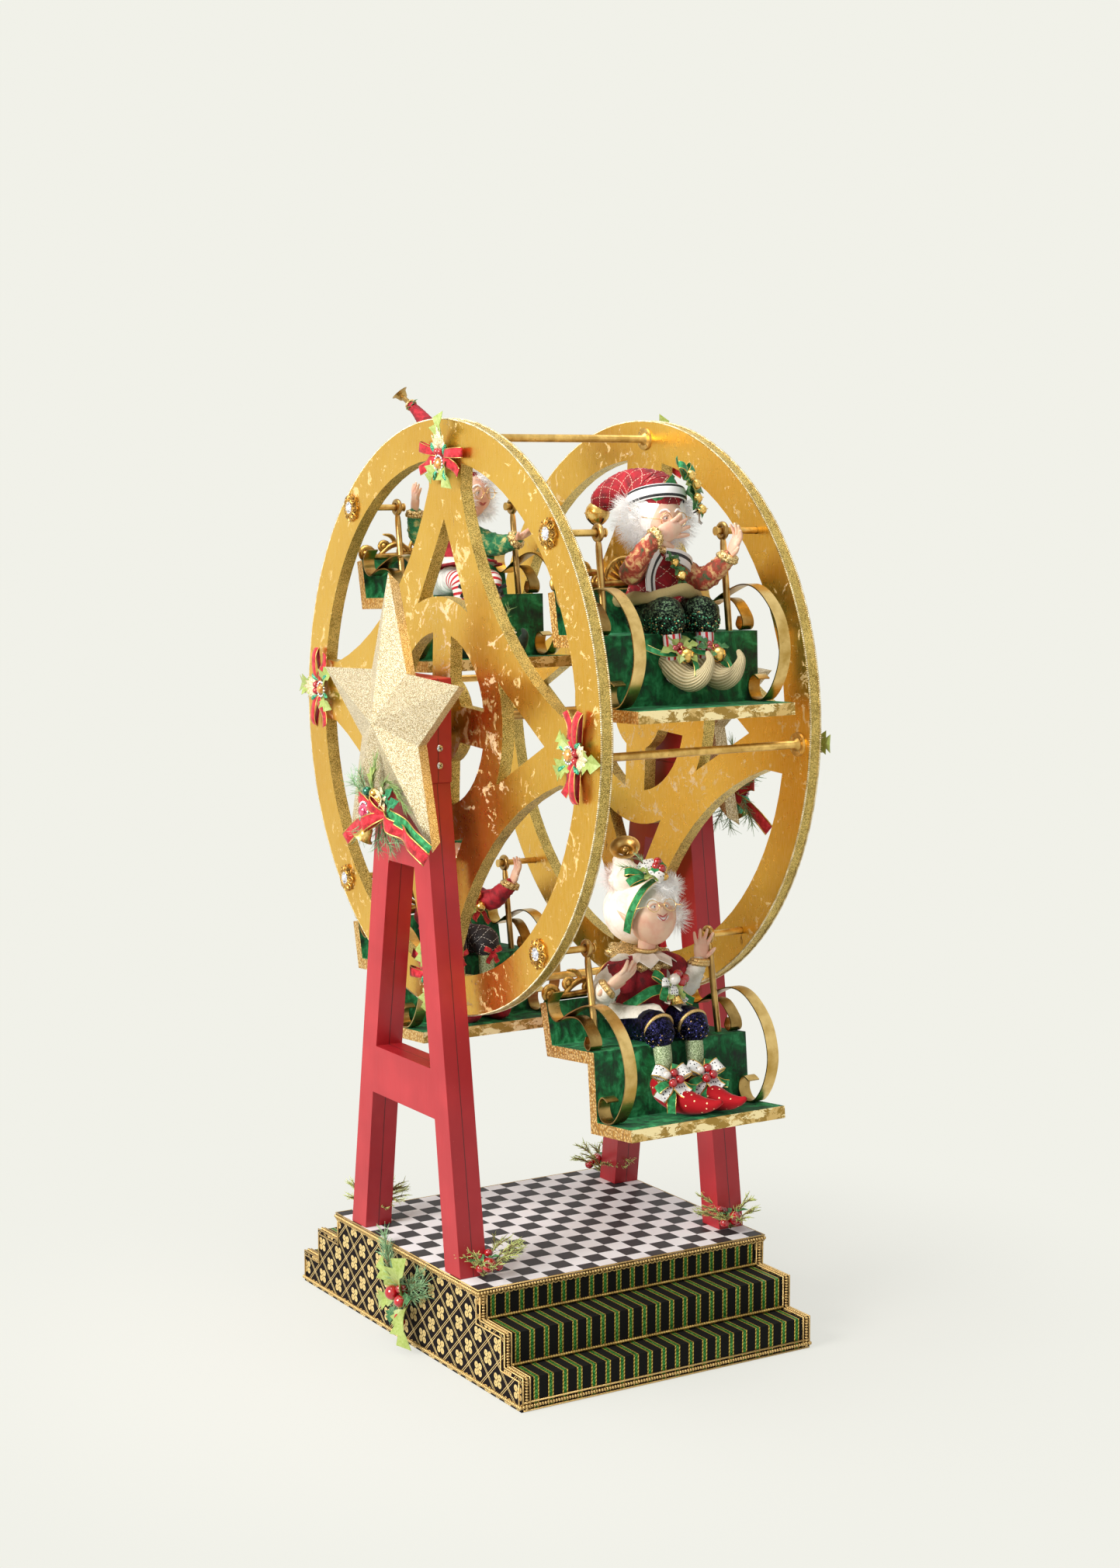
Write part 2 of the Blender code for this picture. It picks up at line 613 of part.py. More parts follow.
def add_band(bm, points, x0, x1):
    """Adds a flat band that follows (forward, up) points."""
    path = smooth_path(points, BAND_STEPS)
    rows = []
    for i, (forward, up) in enumerate(path):
        before, after = path[max(i - 1, 0)], path[min(i + 1, len(path) - 1)]
        run, rise = after[0] - before[0], after[1] - before[1]
        scale = BAND_T / 2 / hypot(run, rise)
        side = (-rise * scale, run * scale)
        rows.append([
            bm.verts.new((x, -(forward + way * side[0]), up + way * side[1]))
            for x, way in ((x0, 1), (x1, 1), (x1, -1), (x0, -1))
        ])
    bm.faces.new(rows[0])
    bm.faces.new(rows[-1][::-1])
    for here, there in zip(rows, rows[1:]):
        for i in range(4):
            j = (i + 1) % 4
            bm.faces.new((here[i], there[i], there[j], here[j]))


def build_armrest(name, side, sign, pivot, finishes):
    """A scrolled armrest of two flat bands, joined where they meet."""
    x0, x1 = sign * (BAND_OUTER_X - BAND_WIDTH), sign * BAND_OUTER_X
    seat_edge = (SEAT_FRONT, -SEAT_DROP)
    back_scroll = shifted(BACK_SCROLL, (SEAT_BACK, -SEAT_DROP))
    foot_scroll = shifted(FOOT_SCROLL, (SEAT_FRONT, -FOOTBOARD_DROP))
    bm = bmesh.new()
    add_band(bm, foot_scroll + shifted(ARM_SWEEP, seat_edge) + back_scroll, x0, x1)
    rest = add_object(f"armrest_{name}_{side}", bm, finishes["bronze"], BAND_SMOOTH_ANGLE)
    bm = bmesh.new()
    add_band(bm, [back_scroll[0]] + shifted(REST_SWEEP + REST_SCROLL, seat_edge), x0, x1)
    short = add_object(f"join_band_{name}_{side}", bm)
    boolean(place(rest, pivot), place(short, pivot), "UNION")


def build_crest(name, pivot, finishes):
    """A lobed crest that stands on the back panel."""
    foot = back_panel_point(BACK_PANEL_HEIGHT + GAP, (GONDOLA_BOARD_T - CREST_T) / 2)
    top = []
    steps = CREST_LOBE_STEPS * CREST_LOBES
    for i in range(steps + 1):
        share = 1 - 2 * i / steps
        lobe = abs(sin(pi * CREST_LOBES * (share + 1) / 2))
        lobe_height = CREST_HEIGHT * (CREST_VALLEY + (1 - CREST_VALLEY) * lobe)
        height = lobe_height + CREST_RISE * (1 - share * share)
        top.append((share * CREST_SPAN * GONDOLA_HALF_WIDTH, height))
    bm = bmesh.new()
    ring = [(-top[0][0], 0.0), (top[0][0], 0.0)] + top
    verts = [bm.verts.new((x, 0, up)) for x, up in ring]
    face = bm.faces.new(verts)
    grown = bmesh.ops.extrude_face_region(bm, geom=[face])["geom"]
    bmesh.ops.translate(bm, verts=[v for v in grown if isinstance(v, bmesh.types.BMVert)],
                        vec=(0, CREST_T, 0))
    bmesh.ops.rotate(bm, verts=bm.verts, matrix=Matrix.Rotation(-BACK_PANEL_LEAN, 3, "X"))
    bmesh.ops.translate(bm, verts=bm.verts, vec=(0, -foot[0], foot[1]))
    place(add_object(f"crest_{name}", bm, finishes["gold_leaf"]), pivot)


def add_limb(bm, balls):
    """Adds a tapering tube of stretched balls, one capsule for each pair."""
    for (x0, f0, u0, r0), (x1, f1, u1, r1) in zip(balls, balls[1:]):
        start, end = Vector((x0, -f0, u0)), Vector((x1, -f1, u1))
        count = max(2, int((end - start).length / (BALL_SPACING * min(r0, r1))))
        for i in range(count + 1):
            t = i / count
            at = Matrix.Translation(start.lerp(end, t))
            bmesh.ops.create_icosphere(bm, subdivisions=2, radius=r0 + (r1 - r0) * t, matrix=at)


def soft_form(name, limbs, keep, material, pivot):
    """One closed soft body around its limbs."""
    bm = bmesh.new()
    for limb in limbs:
        add_limb(bm, limb)
    item = add_object(name, bm, material, pi)
    remesh = item.modifiers.new("blend", "REMESH")
    remesh.mode = "VOXEL"
    remesh.voxel_size = VOXEL
    remesh.use_smooth_shade = True
    decimate = item.modifiers.new("simplify", "DECIMATE")
    decimate.ratio = keep
    return place(item, pivot)


def seated(balls, drop=SEAT_DROP, sign=1):
    """Balls given from an edge of the boards, on one side of the body."""
    spread = sign * HANGER_X / REACH
    return [(spread * x, SEAT_FRONT + forward, up - drop, radius) for x, forward, up, radius in balls]


def seat_hollow(name, pivot):
    """What a seated rider must stay out of: the boards, with a little air."""
    air = SEAT_AIR
    low = -FOOTBOARD_DROP - 2 * GONDOLA_BOARD_T
    reach = 2 * FOOTBOARD_FRONT
    outline = [
        (-reach, low), (reach, low), (reach, -FOOTBOARD_DROP + air),
        (SEAT_FRONT + air, -FOOTBOARD_DROP + air), (SEAT_FRONT + air, -SEAT_DROP + air),
        (-reach, -SEAT_DROP + air),
    ]
    cutter = board(f"cut_seat_{name}", outline, -GONDOLA_HALF_WIDTH, GONDOLA_HALF_WIDTH)
    return place(cutter, pivot)


def neck_block(name, low, high, half, pivot):
    """A square block around the neck, to cut it flat."""
    neck_forward = SEAT_FRONT + STUB[-1][1]
    outline = [(neck_forward - half, low), (neck_forward + half, low),
               (neck_forward + half, high), (neck_forward - half, high)]
    return place(board(name, outline, -half, half), pivot)


def build_rider(name, pivot, finishes):
    """A seated doll: a body with arms and legs, and a head with its hat."""
    limbs = [seated(TRUNK), seated(NECK)]
    for sign, arm in zip((-1, 1), ARMS[name]):
        shoulder = (sign * SHOULDER[0], *SHOULDER[1:])
        limbs.append(seated([(0.0, *TRUNK[-1][1:3], SHOULDER[3]), shoulder, *arm]))
        limbs.append(seated(THIGH, sign=sign) + seated(FOOT, FOOTBOARD_DROP, sign))
    body = soft_form(f"rider_{name}_body", limbs, BODY_KEEP, finishes["red_cloth"], pivot)
    boolean(body, seat_hollow(name, pivot), "DIFFERENCE")
    collar = NECK_UP - SEAT_DROP
    above = neck_block(f"cut_collar_{name}", collar, collar + 2 * NECK_HALF, NECK_HALF + GAP, pivot)
    boolean(body, above, "DIFFERENCE")

    limbs = [seated(balls) for balls in (STUB, HEADS[name], HATS[name])]
    head = soft_form(f"rider_{name}_head", limbs, HEAD_KEEP, finishes["doll_skin"], pivot)
    below = neck_block(f"cut_neck_{name}", collar - NECK_HALF, collar + GAP, 2 * NECK_HALF, pivot)
    boolean(head, below, "DIFFERENCE")


def build_gondola(name, angle, tilt, axis, finishes):
    """One hanging gondola with its hangers, armrests, crest and rider."""
    build_pins(name, angle, axis, finishes)
    _, y, z = wheel_point(PIN_CIRCLE_R, angle - WHEEL_TURN)
    pivot = anchor(f"pivot_{name}", (0, y, AXLE_Z + z), -tilt)
    boards = board(f"gondola_{name}", gondola_outline(), -GONDOLA_HALF_WIDTH, GONDOLA_HALF_WIDTH,
                   finishes["green_velvet"])
    place(boards, pivot)
    for side, sign in SIDES.items():
        build_hanger(name, side, sign, pivot, finishes)
        build_armrest(name, side, sign, pivot, finishes)
        hole = hanger_rod(f"cut_hole_{name}_{side}", HANGER_ROD_R + GAP, EYE_R)
        boolean(boards, place(hole, pivot, (sign * HANGER_X, 0, 0)), "DIFFERENCE")
    build_crest(name, pivot, finishes)
    build_rider(name, pivot, finishes)


def main():
    empty_scene()
    finishes = make_finishes()
    build_base(finishes)
    build_frames(finishes)
    axis = anchor("wheel_axis", (0, 0, AXLE_Z), WHEEL_TURN)
    build_axle(axis, finishes)
    for side, sign in SIDES.items():
        build_wheel(side, sign, axis, finishes)
    build_rods(axis, finishes)
    for name, (angle, tilt) in PLACES.items():
        build_gondola(name, angle, tilt, axis, finishes)


main()
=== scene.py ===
"""Finishes, trims, riders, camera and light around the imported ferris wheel.

Metres, +Z up. X runs along the axle, with left at -X. The riders face -Y.
Points given as (x, forward, up) have forward towards -Y.
"""
import random
from math import cos, exp, pi, radians, sin, sqrt

import bmesh
import bpy
from mathutils import Matrix, Vector


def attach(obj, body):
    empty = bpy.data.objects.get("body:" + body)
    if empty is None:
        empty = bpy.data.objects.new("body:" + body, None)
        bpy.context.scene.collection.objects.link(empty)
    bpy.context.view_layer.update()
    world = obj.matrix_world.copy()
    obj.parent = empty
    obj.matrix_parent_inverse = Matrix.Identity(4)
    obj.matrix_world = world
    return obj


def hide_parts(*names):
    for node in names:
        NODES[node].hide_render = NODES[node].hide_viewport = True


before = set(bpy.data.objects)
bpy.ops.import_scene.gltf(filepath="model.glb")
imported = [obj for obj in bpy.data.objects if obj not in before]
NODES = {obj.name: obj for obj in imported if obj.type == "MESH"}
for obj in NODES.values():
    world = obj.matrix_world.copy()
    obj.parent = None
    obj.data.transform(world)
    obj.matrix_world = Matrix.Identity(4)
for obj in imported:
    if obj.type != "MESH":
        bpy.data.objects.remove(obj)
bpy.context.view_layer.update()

# The object's sizes, as in its solids
BASE_WIDTH = 0.406
TIER_LENGTHS = (0.553, 0.471, 0.36)
TIER_RISES = (0.039, 0.039, 0.038)
BASE_HEIGHT = sum(TIER_RISES)
FRAME_T = 0.036
FRAME_OUTER_X = BASE_WIDTH / 2
FRAME_INNER_X = FRAME_OUTER_X - FRAME_T
FRAME_FOOT_X = 0.178
FRAME_FOOT_Y = 0.146
AXLE_Z = 0.759
BLOCK_HALF_WIDTH = 0.06
BLOCK_SCREW_X = 0.183
BLOCK_SCREWS = ((0.7315, 0.4), (0.711, 1.0))
WHEEL_R = 0.354
WHEEL_X = 0.1405
WHEEL_T = 0.016
WHEEL_INNER_X = WHEEL_X - WHEEL_T / 2
WHEEL_OUTER_X = WHEEL_X + WHEEL_T / 2
WHEEL_TURN = radians(2.7)
ROD_R = 0.00475
ROD_CIRCLE_R = 0.333
ROD_FLANGE_R = 0.014
ROD_FLANGE_T = 0.0025
FLANGE_SCREWS_R = 0.0105
PIN_R = 0.0042
PIN_CIRCLE_R = 0.335
MEDALLION_R = 0.0165
STAR_SPRAY_OUT = 0.026
GONDOLA_HALF_WIDTH = 0.1055
GONDOLA_BOARD_T = 0.014
SEAT_DROP = 0.114
SEAT_BACK = -0.053
SEAT_FRONT = 0.0373
FOOTBOARD_DROP = 0.1935
FOOTBOARD_FRONT = 0.1075
BACK_PANEL_HEIGHT = 0.05
BACK_PANEL_LEAN = radians(9.4)
EYE_R = 0.011
EYE_T = 0.009
HANGER_X = 0.0848
HANGER_ROD_R = 0.00425
HANGER_LEAN = radians(5.4)
BAND_WIDTH = 0.0155
BAND_T = 0.0015
BAND_X0 = GONDOLA_HALF_WIDTH - 0.0003 - BAND_WIDTH
FOOT_SCROLL = (
    (0.023, 0.0255), (0.013, 0.03), (0.005, 0.024), (0.0035, 0.0125), (0.012, 0.0022),
    (0.033, 0.0045),
)
ARM_SWEEP = (
    (0.053, -0.0525), (0.0627, -0.021), (0.0532, 0.0163), (0.0248, 0.0448), (-0.0073, 0.0528),
    (-0.0464, 0.042),
)
BACK_SCROLL = ((0.0136, 0.0288), (-0.0015, 0.036), (-0.0045, 0.05), (0.007, 0.0616))
REST_SWEEP = ((-0.0513, 0.036), (-0.0278, 0.0344), (-0.01, 0.0181))
REST_SCROLL = ((-0.0068, 0.007), (-0.0127, 0.0015), (-0.0198, 0.007), (-0.0156, 0.0165))
PLACES = {
    "front_top": (radians(45), radians(2.0)),
    "back_top": (radians(135), radians(3.0)),
    "back_bottom": (radians(225), radians(4.0)),
    "front_bottom": (radians(315), radians(5.5)),
}
ROD_PLACES = {"top": radians(90), "back": radians(180), "bottom": radians(270), "front": radians(0)}
SIDES = {"left": -1, "right": 1}

AXIS = Matrix.Translation((0, 0, AXLE_Z)) @ Matrix.Rotation(WHEEL_TURN, 4, "X")


def wheel_point(radius, angle):
    """A point of the wheel, seen from its turned axis."""
    return Vector((0, -radius * cos(angle), radius * sin(angle)))


def pivot(place):
    """Where a gondola hangs, with its tilt."""
    angle, tilt = PLACES[place]
    at = AXIS @ wheel_point(PIN_CIRCLE_R, angle)
    return Matrix.Translation(at) @ Matrix.Rotation(-tilt, 4, "X")


# Finishes


class Value:
    """A socket of a node tree, with Python's arithmetic."""

    def __init__(self, graph, socket):
        self.graph = graph
        self.socket = socket

    def math(self, operation, *values, clamp=False):
        settings = {"operation": operation, "use_clamp": clamp}
        return self.graph.node("ShaderNodeMath", settings, values)

    def __add__(self, other):
        return self.math("ADD", self, other)

    def __radd__(self, other):
        return self.math("ADD", other, self)

    def __sub__(self, other):
        return self.math("SUBTRACT", self, other)

    def __rsub__(self, other):
        return self.math("SUBTRACT", other, self)

    def __mul__(self, other):
        return self.math("MULTIPLY", self, other)

    def __rmul__(self, other):
        return self.math("MULTIPLY", other, self)

    def __truediv__(self, other):
        return self.math("DIVIDE", self, other)

    def __abs__(self):
        return self.math("ABSOLUTE", self)

    def fraction(self):
        return self.math("FRACT", self)

    def sine(self):
        return self.math("SINE", self)

    def above(self, limit):
        return self.math("GREATER_THAN", self, limit)

    def below(self, limit):
        return self.math("LESS_THAN", self, limit)

    def largest(self, other):
        return self.math("MAXIMUM", self, other)

    def fade(self, low, high):
        """0 at low, 1 at high, and smooth between."""
        settings = {"interpolation_type": "SMOOTHSTEP"}
        return self.graph.node("ShaderNodeMapRange", settings, {0: self, 1: low, 2: high})

    def split(self):
        """The X, Y and Z of a vector."""
        parts = self.graph.node("ShaderNodeSeparateXYZ", None, [self])
        return [Value(self.graph, parts.socket.node.outputs[i]) for i in range(3)]


class Graph:
    """A node tree that is being built."""

    def __init__(self, tree):
        self.tree = tree

    def node(self, kind, settings=None, inputs=(), output=0):
        made = self.tree.nodes.new(kind)
        for key, value in (settings or {}).items():
            if key == "stops":
                self.set_stops(made.color_ramp, value)
            elif hasattr(made, key):
                setattr(made, key, value)
        pairs = inputs.items() if isinstance(inputs, dict) else enumerate(inputs)
        for key, value in pairs:
            self.feed(made.inputs[key], value)
        return Value(self, made.outputs[output])

    def set_stops(self, ramp, stops):
        while len(ramp.elements) < len(stops):
            ramp.elements.new(1.0)
        for element, (position, colour) in zip(ramp.elements, stops):
            element.position = position
            element.color = (*colour, 1.0)

    def feed(self, socket, value):
        if isinstance(value, Value):
            self.tree.links.new(value.socket, socket)
        elif isinstance(value, tuple) and len(value) == 3 and socket.type == "RGBA":
            socket.default_value = (*value, 1.0)
        else:
            socket.default_value = value


class Finish(Graph):
    """A material that ends in one Principled shader."""

    def __init__(self, name, colour, roughness=0.5, metallic=0.0, **sockets):
        self.material = bpy.data.materials.new(name)
        self.material.use_nodes = True
        super().__init__(self.material.node_tree)
        self.shader = self.tree.nodes["Principled BSDF"]
        self.set("Base Color", colour)
        self.set("Roughness", roughness)
        self.set("Metallic", metallic)
        for socket, value in sockets.items():
            self.set(socket.replace("_", " ").title().replace("Ior", "IOR"), value)

    def set(self, socket, value):
        self.feed(self.shader.inputs[socket], value)

    def place(self, matrix=None):
        """The surface's place, or its place seen from a matrix."""
        at = self.node("ShaderNodeTexCoord", None, (), "Object")
        if matrix is None:
            return at
        undo = matrix.inverted()
        settings = {"vector_type": "POINT"}
        turned = {0: at, 1: undo.to_translation(), 2: undo.to_euler()}
        return self.node("ShaderNodeMapping", settings, turned)

    def facing(self):
        """The surface's own direction."""
        return self.node("ShaderNodeTexCoord", None, (), "Normal")

    def uv(self):
        return self.node("ShaderNodeTexCoord", None, (), "UV").split()

    def noise(self, at, scale, detail=2.0, rough=0.5, distortion=0.0):
        values = {"Vector": at, "Scale": scale, "Detail": detail, "Roughness": rough,
                  "Distortion": distortion}
        return self.node("ShaderNodeTexNoise", None, values)

    def cells(self, at, scale, output="Distance", feature="F1", jitter=1.0):
        values = {"Vector": at, "Scale": scale, "Randomness": jitter}
        return self.node("ShaderNodeTexVoronoi", {"feature": feature}, values, output)

    def stretch(self, at, sizes):
        return self.node("ShaderNodeVectorMath", {"operation": "MULTIPLY"}, {0: at, 1: sizes})

    def mix(self, share, plain, other):
        values = {0: share, 6: plain, 7: other}
        return self.node("ShaderNodeMix", {"data_type": "RGBA", "clamp_factor": True}, values, 2)

    def ramp(self, value, stops):
        return self.node("ShaderNodeValToRGB", {"stops": stops}, [value])

    def grey(self, colour):
        return self.node("ShaderNodeRGBToBW", None, [colour])

    def bump(self, height, distance, strength=1.0, normal=None):
        values = {"Height": height, "Distance": distance, "Strength": strength}
        if normal is not None:
            values["Normal"] = normal
        self.set("Normal", self.node("ShaderNodeBump", None, values))
        return self


GOLD = (0.8, 0.49, 0.115)
PALE_GOLD = (0.9, 0.66, 0.3)
DEEP_GOLD = (0.42, 0.23, 0.045)
BRONZE = (0.36, 0.22, 0.075)
LACQUER_RED = (0.4, 0.016, 0.024)
VELVET_GREEN = (0.004, 0.105, 0.035)
RIBBON_RED = (0.5, 0.006, 0.018)
HOLLY_LIME = (0.38, 0.45, 0.14)


def leaf_layers(finish, at, low=0.56):
    """Where leaf has flaked into pale patches, and how uneven it lies."""
    broad = finish.noise(at, 54.0, 8.0, 0.76, 0.9)
    fine = finish.noise(at, 110.0, 3.0, 0.6)
    patch = finish.noise(at, 8.0, 3.0, 0.55)
    flaked = (broad + fine * 0.1 + patch * 0.42).fade(low + 0.3, low + 0.312)
    return flaked, broad, fine


def gold_leaf(name):
    """Leaf over bole: smooth and bright, with torn pale patches and a few bare spots."""
    finish = Finish(name, GOLD, 0.3, 0.92)
    at = finish.place()
    flaked, broad, fine = leaf_layers(finish, at)
    cloudy = finish.noise(at, 5.0, 3.0, 0.5)
    base = finish.mix(cloudy.fade(0.35, 0.7), (0.78, 0.43, 0.045), (0.89, 0.535, 0.075))
    streak = finish.noise(finish.stretch(at, (1.0, 5.0, 0.5)), 150.0, 3.0, 0.6)
    base = finish.mix(streak.fade(0.35, 0.75) * 0.35, base, (0.96, 0.66, 0.24))
    torn = finish.mix(flaked, base, PALE_GOLD)
    bare = finish.noise(finish.stretch(at, (1.0, 2.2, 0.9)), 13.0, 7.0, 0.72, 0.6).fade(0.675, 0.69)
    finish.set("Base Color", finish.mix(bare, torn, (0.4, 0.21, 0.04)))
    finish.set("Roughness", 0.22 + flaked * 0.22 + fine * 0.14 + bare * 0.2)
    finish.set("Metallic", 0.97 - flaked * 0.2 - bare * 0.3)
    finish.bump(flaked * 0.6 + fine * 0.5 + broad * 0.4, 0.0006, 0.5)
    return finish


TORN_GOLD = (0.9, 0.66, 0.36)


def torn_near_hub(finish, at):
    """Large ragged losses on the arms around the hub."""
    y, z = at.split()[1:]
    reach = y * y + (z - AXLE_Z) * (z - AXLE_Z)
    near = 1 - reach.fade(0.008, 0.05)
    ragged = finish.noise(finish.stretch(at, (1.0, 0.9, 1.15)), 21.0, 9.0, 0.74, 0.8)
    return (ragged + near * 0.09).fade(0.66, 0.669)


def wheel_gold():
    """Leaf on the wheel's faces, dark gold glitter on its sawn edges and rim."""
    finish = gold_leaf("wheel_gold")
    at = finish.place()
    face = abs(finish.facing().split()[0]).fade(0.4, 0.6)
    spark = finish.cells(at, 1900.0, "Color")
    bright = finish.grey(spark)
    tarnish = finish.noise(at, 34.0, 4.0, 0.6)
    # The edge glitter is painted lighter or darker flake by flake as painted glints, mixed with real
    # tarnish.
    glitter = finish.ramp(bright * 0.7 + tarnish * 0.4, (
        (0.3, (0.1, 0.065, 0.01)), (0.47, (0.34, 0.22, 0.036)), (0.64, (0.9, 0.68, 0.22)),
    ))
    leaf_colour = Value(finish, finish.shader.inputs["Base Color"].links[0].from_socket)
    torn = torn_near_hub(finish, at)
    leaf_colour = finish.mix(torn, leaf_colour, TORN_GOLD)
    leaf_rough = Value(finish, finish.shader.inputs["Roughness"].links[0].from_socket)
    leaf_metal = Value(finish, finish.shader.inputs["Metallic"].links[0].from_socket) - torn * 0.55
    finish.set("Base Color", finish.mix(face, glitter, leaf_colour))
    finish.set("Roughness", face * leaf_rough + (1 - face) * (0.25 + bright * 0.3))
    finish.set("Metallic", face * leaf_metal + (1 - face) * 0.85)
    leaf_bump = Value(finish, finish.shader.inputs["Normal"].links[0].from_socket)
    finish.bump(bright * (1 - face), 0.0006, 0.9, leaf_bump)
    return finish


def red_lacquer():
    """Satin red paint on glued boards, with faint brush marks and worn specks."""
    finish = Finish("red_lacquer", LACQUER_RED, 0.36, 0.0, specular_ior_level=0.5)
    at = finish.place()
    x = at.split()[0]
    grain = finish.noise(finish.stretch(at, (1.0, 1.0, 0.12)), 160.0, 3.0, 0.55)
    cloudy = finish.noise(at, 12.0, 3.0, 0.55)
    colour = finish.mix(cloudy.fade(0.3, 0.75), (0.35, 0.011, 0.018), (0.44, 0.02, 0.028))
    seam = abs(abs(x) - (FRAME_INNER_X + FRAME_T / 2)).below(0.0005)
    scuffed = finish.noise(at, 420.0, 2.0, 0.7).fade(0.745, 0.775)
    worn = finish.mix(scuffed * 0.5, colour, (0.62, 0.25, 0.22))
    finish.set("Base Color", finish.mix(seam, worn, (0.07, 0.004, 0.006)))
    finish.set("Roughness", 0.3 + grain * 0.16 + scuffed * 0.2)
    return finish.bump(grain * 0.6 + cloudy * 0.5 - seam * 1.5, 0.0003, 0.5)


def brushed_bronze(name, colour, light, roughness=0.3):
    """Aged gold-brown metal with fine scratches and a patchy tone."""
    finish = Finish(name, colour, roughness, 1.0)
    at = finish.place()
    cloudy = finish.noise(at, 60.0, 4.0, 0.6)
    scratch = finish.noise(finish.stretch(at, (1.0, 0.1, 0.1)), 900.0, 2.0, 0.6)
    spots = finish.noise(at, 340.0, 3.0, 0.7).fade(0.66, 0.72)
    tone = finish.mix(cloudy.fade(0.35, 0.7), colour, light)
    finish.set("Base Color", finish.mix(spots, tone, DEEP_GOLD))
    finish.set("Roughness", roughness + scratch * 0.14 + spots * 0.25)
    return finish.bump(scratch, 0.0002, 0.35)


def steel():
    finish = Finish("steel", (0.62, 0.61, 0.59), 0.28, 1.0)
    at = finish.place()
    ring = finish.noise(finish.stretch(at, (8.0, 1.0, 1.0)), 300.0, 2.0, 0.5)
    finish.set("Roughness", 0.2 + ring * 0.18)
    return finish.bump(ring, 0.0002, 0.3)


def gondola_velvet(place):
    """Crushed green velvet, with hammered gold on the side edges and leaf on the front edge."""
    finish = Finish(f"velvet_{place}", VELVET_GREEN, 0.7, 0.0, sheen_weight=0.12, sheen_roughness=0.35,
                    sheen_tint=(0.15, 0.8, 0.4, 1.0))
    seat = pivot(place)
    at = finish.place(seat)
    forward = 0 - at.split()[1]
    side = abs(finish.facing().split()[0]).fade(0.5, 0.6)
    front_edge = (forward + 0.0012).above(FOOTBOARD_FRONT)
    under = finish.facing().split()[2].below(-0.6)
    rear = finish.facing().split()[1].above(0.6)
    metal = side.largest(front_edge).largest(under).largest(rear)
    crush = finish.noise(at, 46.0, 5.0, 0.62, 0.6)
    streak = finish.noise(finish.stretch(at, (1.0, 0.35, 0.35)), 130.0, 3.0, 0.6, 0.4)
    # Crushed pile in patches of darker and lighter green; the brightest, palest patches are painted sheen.
    pile = finish.ramp(crush * 0.75 + streak * 0.3, (
        (0.38, (0.0004, 0.01, 0.004)), (0.48, (0.0008, 0.055, 0.014)), (0.56, (0.004, 0.165, 0.045)),
        (0.66, (0.05, 0.4, 0.15)),
    ))
    flaked, _, fine = leaf_layers(finish, at, 0.5)
    # Painted light on the hammered edges: each dimple is painted bright in its hollow and darker towards
    # its rim.
    pits = finish.cells(at, 330.0)
    hammered = finish.mix(pits.fade(0.15, 0.7), (0.98, 0.7, 0.3), (0.58, 0.3, 0.07))
    torn = finish.noise(finish.stretch(at, (0.6, 1.0, 1.6)), 42.0, 7.0, 0.72, 0.5).fade(0.55, 0.562)
    leafed = finish.mix(torn, finish.mix(flaked, (0.38, 0.235, 0.055), (0.7, 0.48, 0.18)),
                        (0.98, 0.82, 0.46))
    gold = finish.mix(side, leafed, hammered)
    finish.set("Base Color", finish.mix(metal, pile, gold))
    finish.set("Metallic", metal * 0.92)
    finish.set("Roughness", metal * (0.28 + fine * 0.2) + (1 - metal) * (0.62 + streak * 0.3))
    relief = pits * side * 1.4 + (1 - metal) * (crush * 2.0 + streak) + fine * 0.4
    return finish.bump(relief, 0.0011, 0.7)


LATTICE_PITCH_Y = 0.0447
LATTICE_PITCH_Z = 0.0418


def lattice_brocade():
    """Black cloth with a gold double-line lattice and a four-petal flower in each diamond."""
    finish = Finish("lattice_brocade", (0.012, 0.008, 0.009), 0.75, specular_ior_level=0.1)
    at = finish.place()
    _, y, z = at.split()
    across, upward = y / LATTICE_PITCH_Y, z / LATTICE_PITCH_Z
    one, two = across + upward, across - upward
    lines = None
    for diagonal in (one, two):
        off = abs(((diagonal + 50.0).fraction() - 0.5))
        pair = abs(off - 0.462).below(0.0135)
        lines = pair if lines is None else lines.largest(pair)
    u = ((one + 50.0).fraction() - 0.5) * 0.5
    v = ((two + 50.0).fraction() - 0.5) * 0.5
    dy = (u + v) * LATTICE_PITCH_Y
    dz = (u - v) * LATTICE_PITCH_Z
    petal = finish.node("ShaderNodeCombineXYZ", None, [abs(dy) - 0.0043, abs(dz) - 0.0043, 0.0])
    reach = finish.node("ShaderNodeVectorMath", {"operation": "LENGTH"}, [petal], "Value")
    eye = finish.node("ShaderNodeVectorMath", {"operation": "LENGTH"},
                      [finish.node("ShaderNodeCombineXYZ", None, [dy, dz, 0.0])], "Value")
    flower = reach.below(0.004).largest(eye.below(0.0018))
    vein = reach.below(0.0009)
    thread = finish.noise(finish.stretch(at, (1.0, 2.0, 0.3)), 1600.0, 2.0, 0.6)
    gold = finish.mix(thread.fade(0.35, 0.65), (0.6, 0.38, 0.1), (0.96, 0.78, 0.4))
    shown = lines.largest(flower - vein * 0.7)
    ground = finish.mix(thread, (0.003, 0.0015, 0.002), (0.01, 0.006, 0.008))
    finish.set("Base Color", finish.mix(shown, ground, gold))
    finish.set("Metallic", shown * 0.55)
    finish.set("Roughness", 0.78 - shown * 0.36)
    return finish.bump(shown * 1.2 + thread * 0.5, 0.0005, 0.6)


STRIPE_PITCH = 0.0193


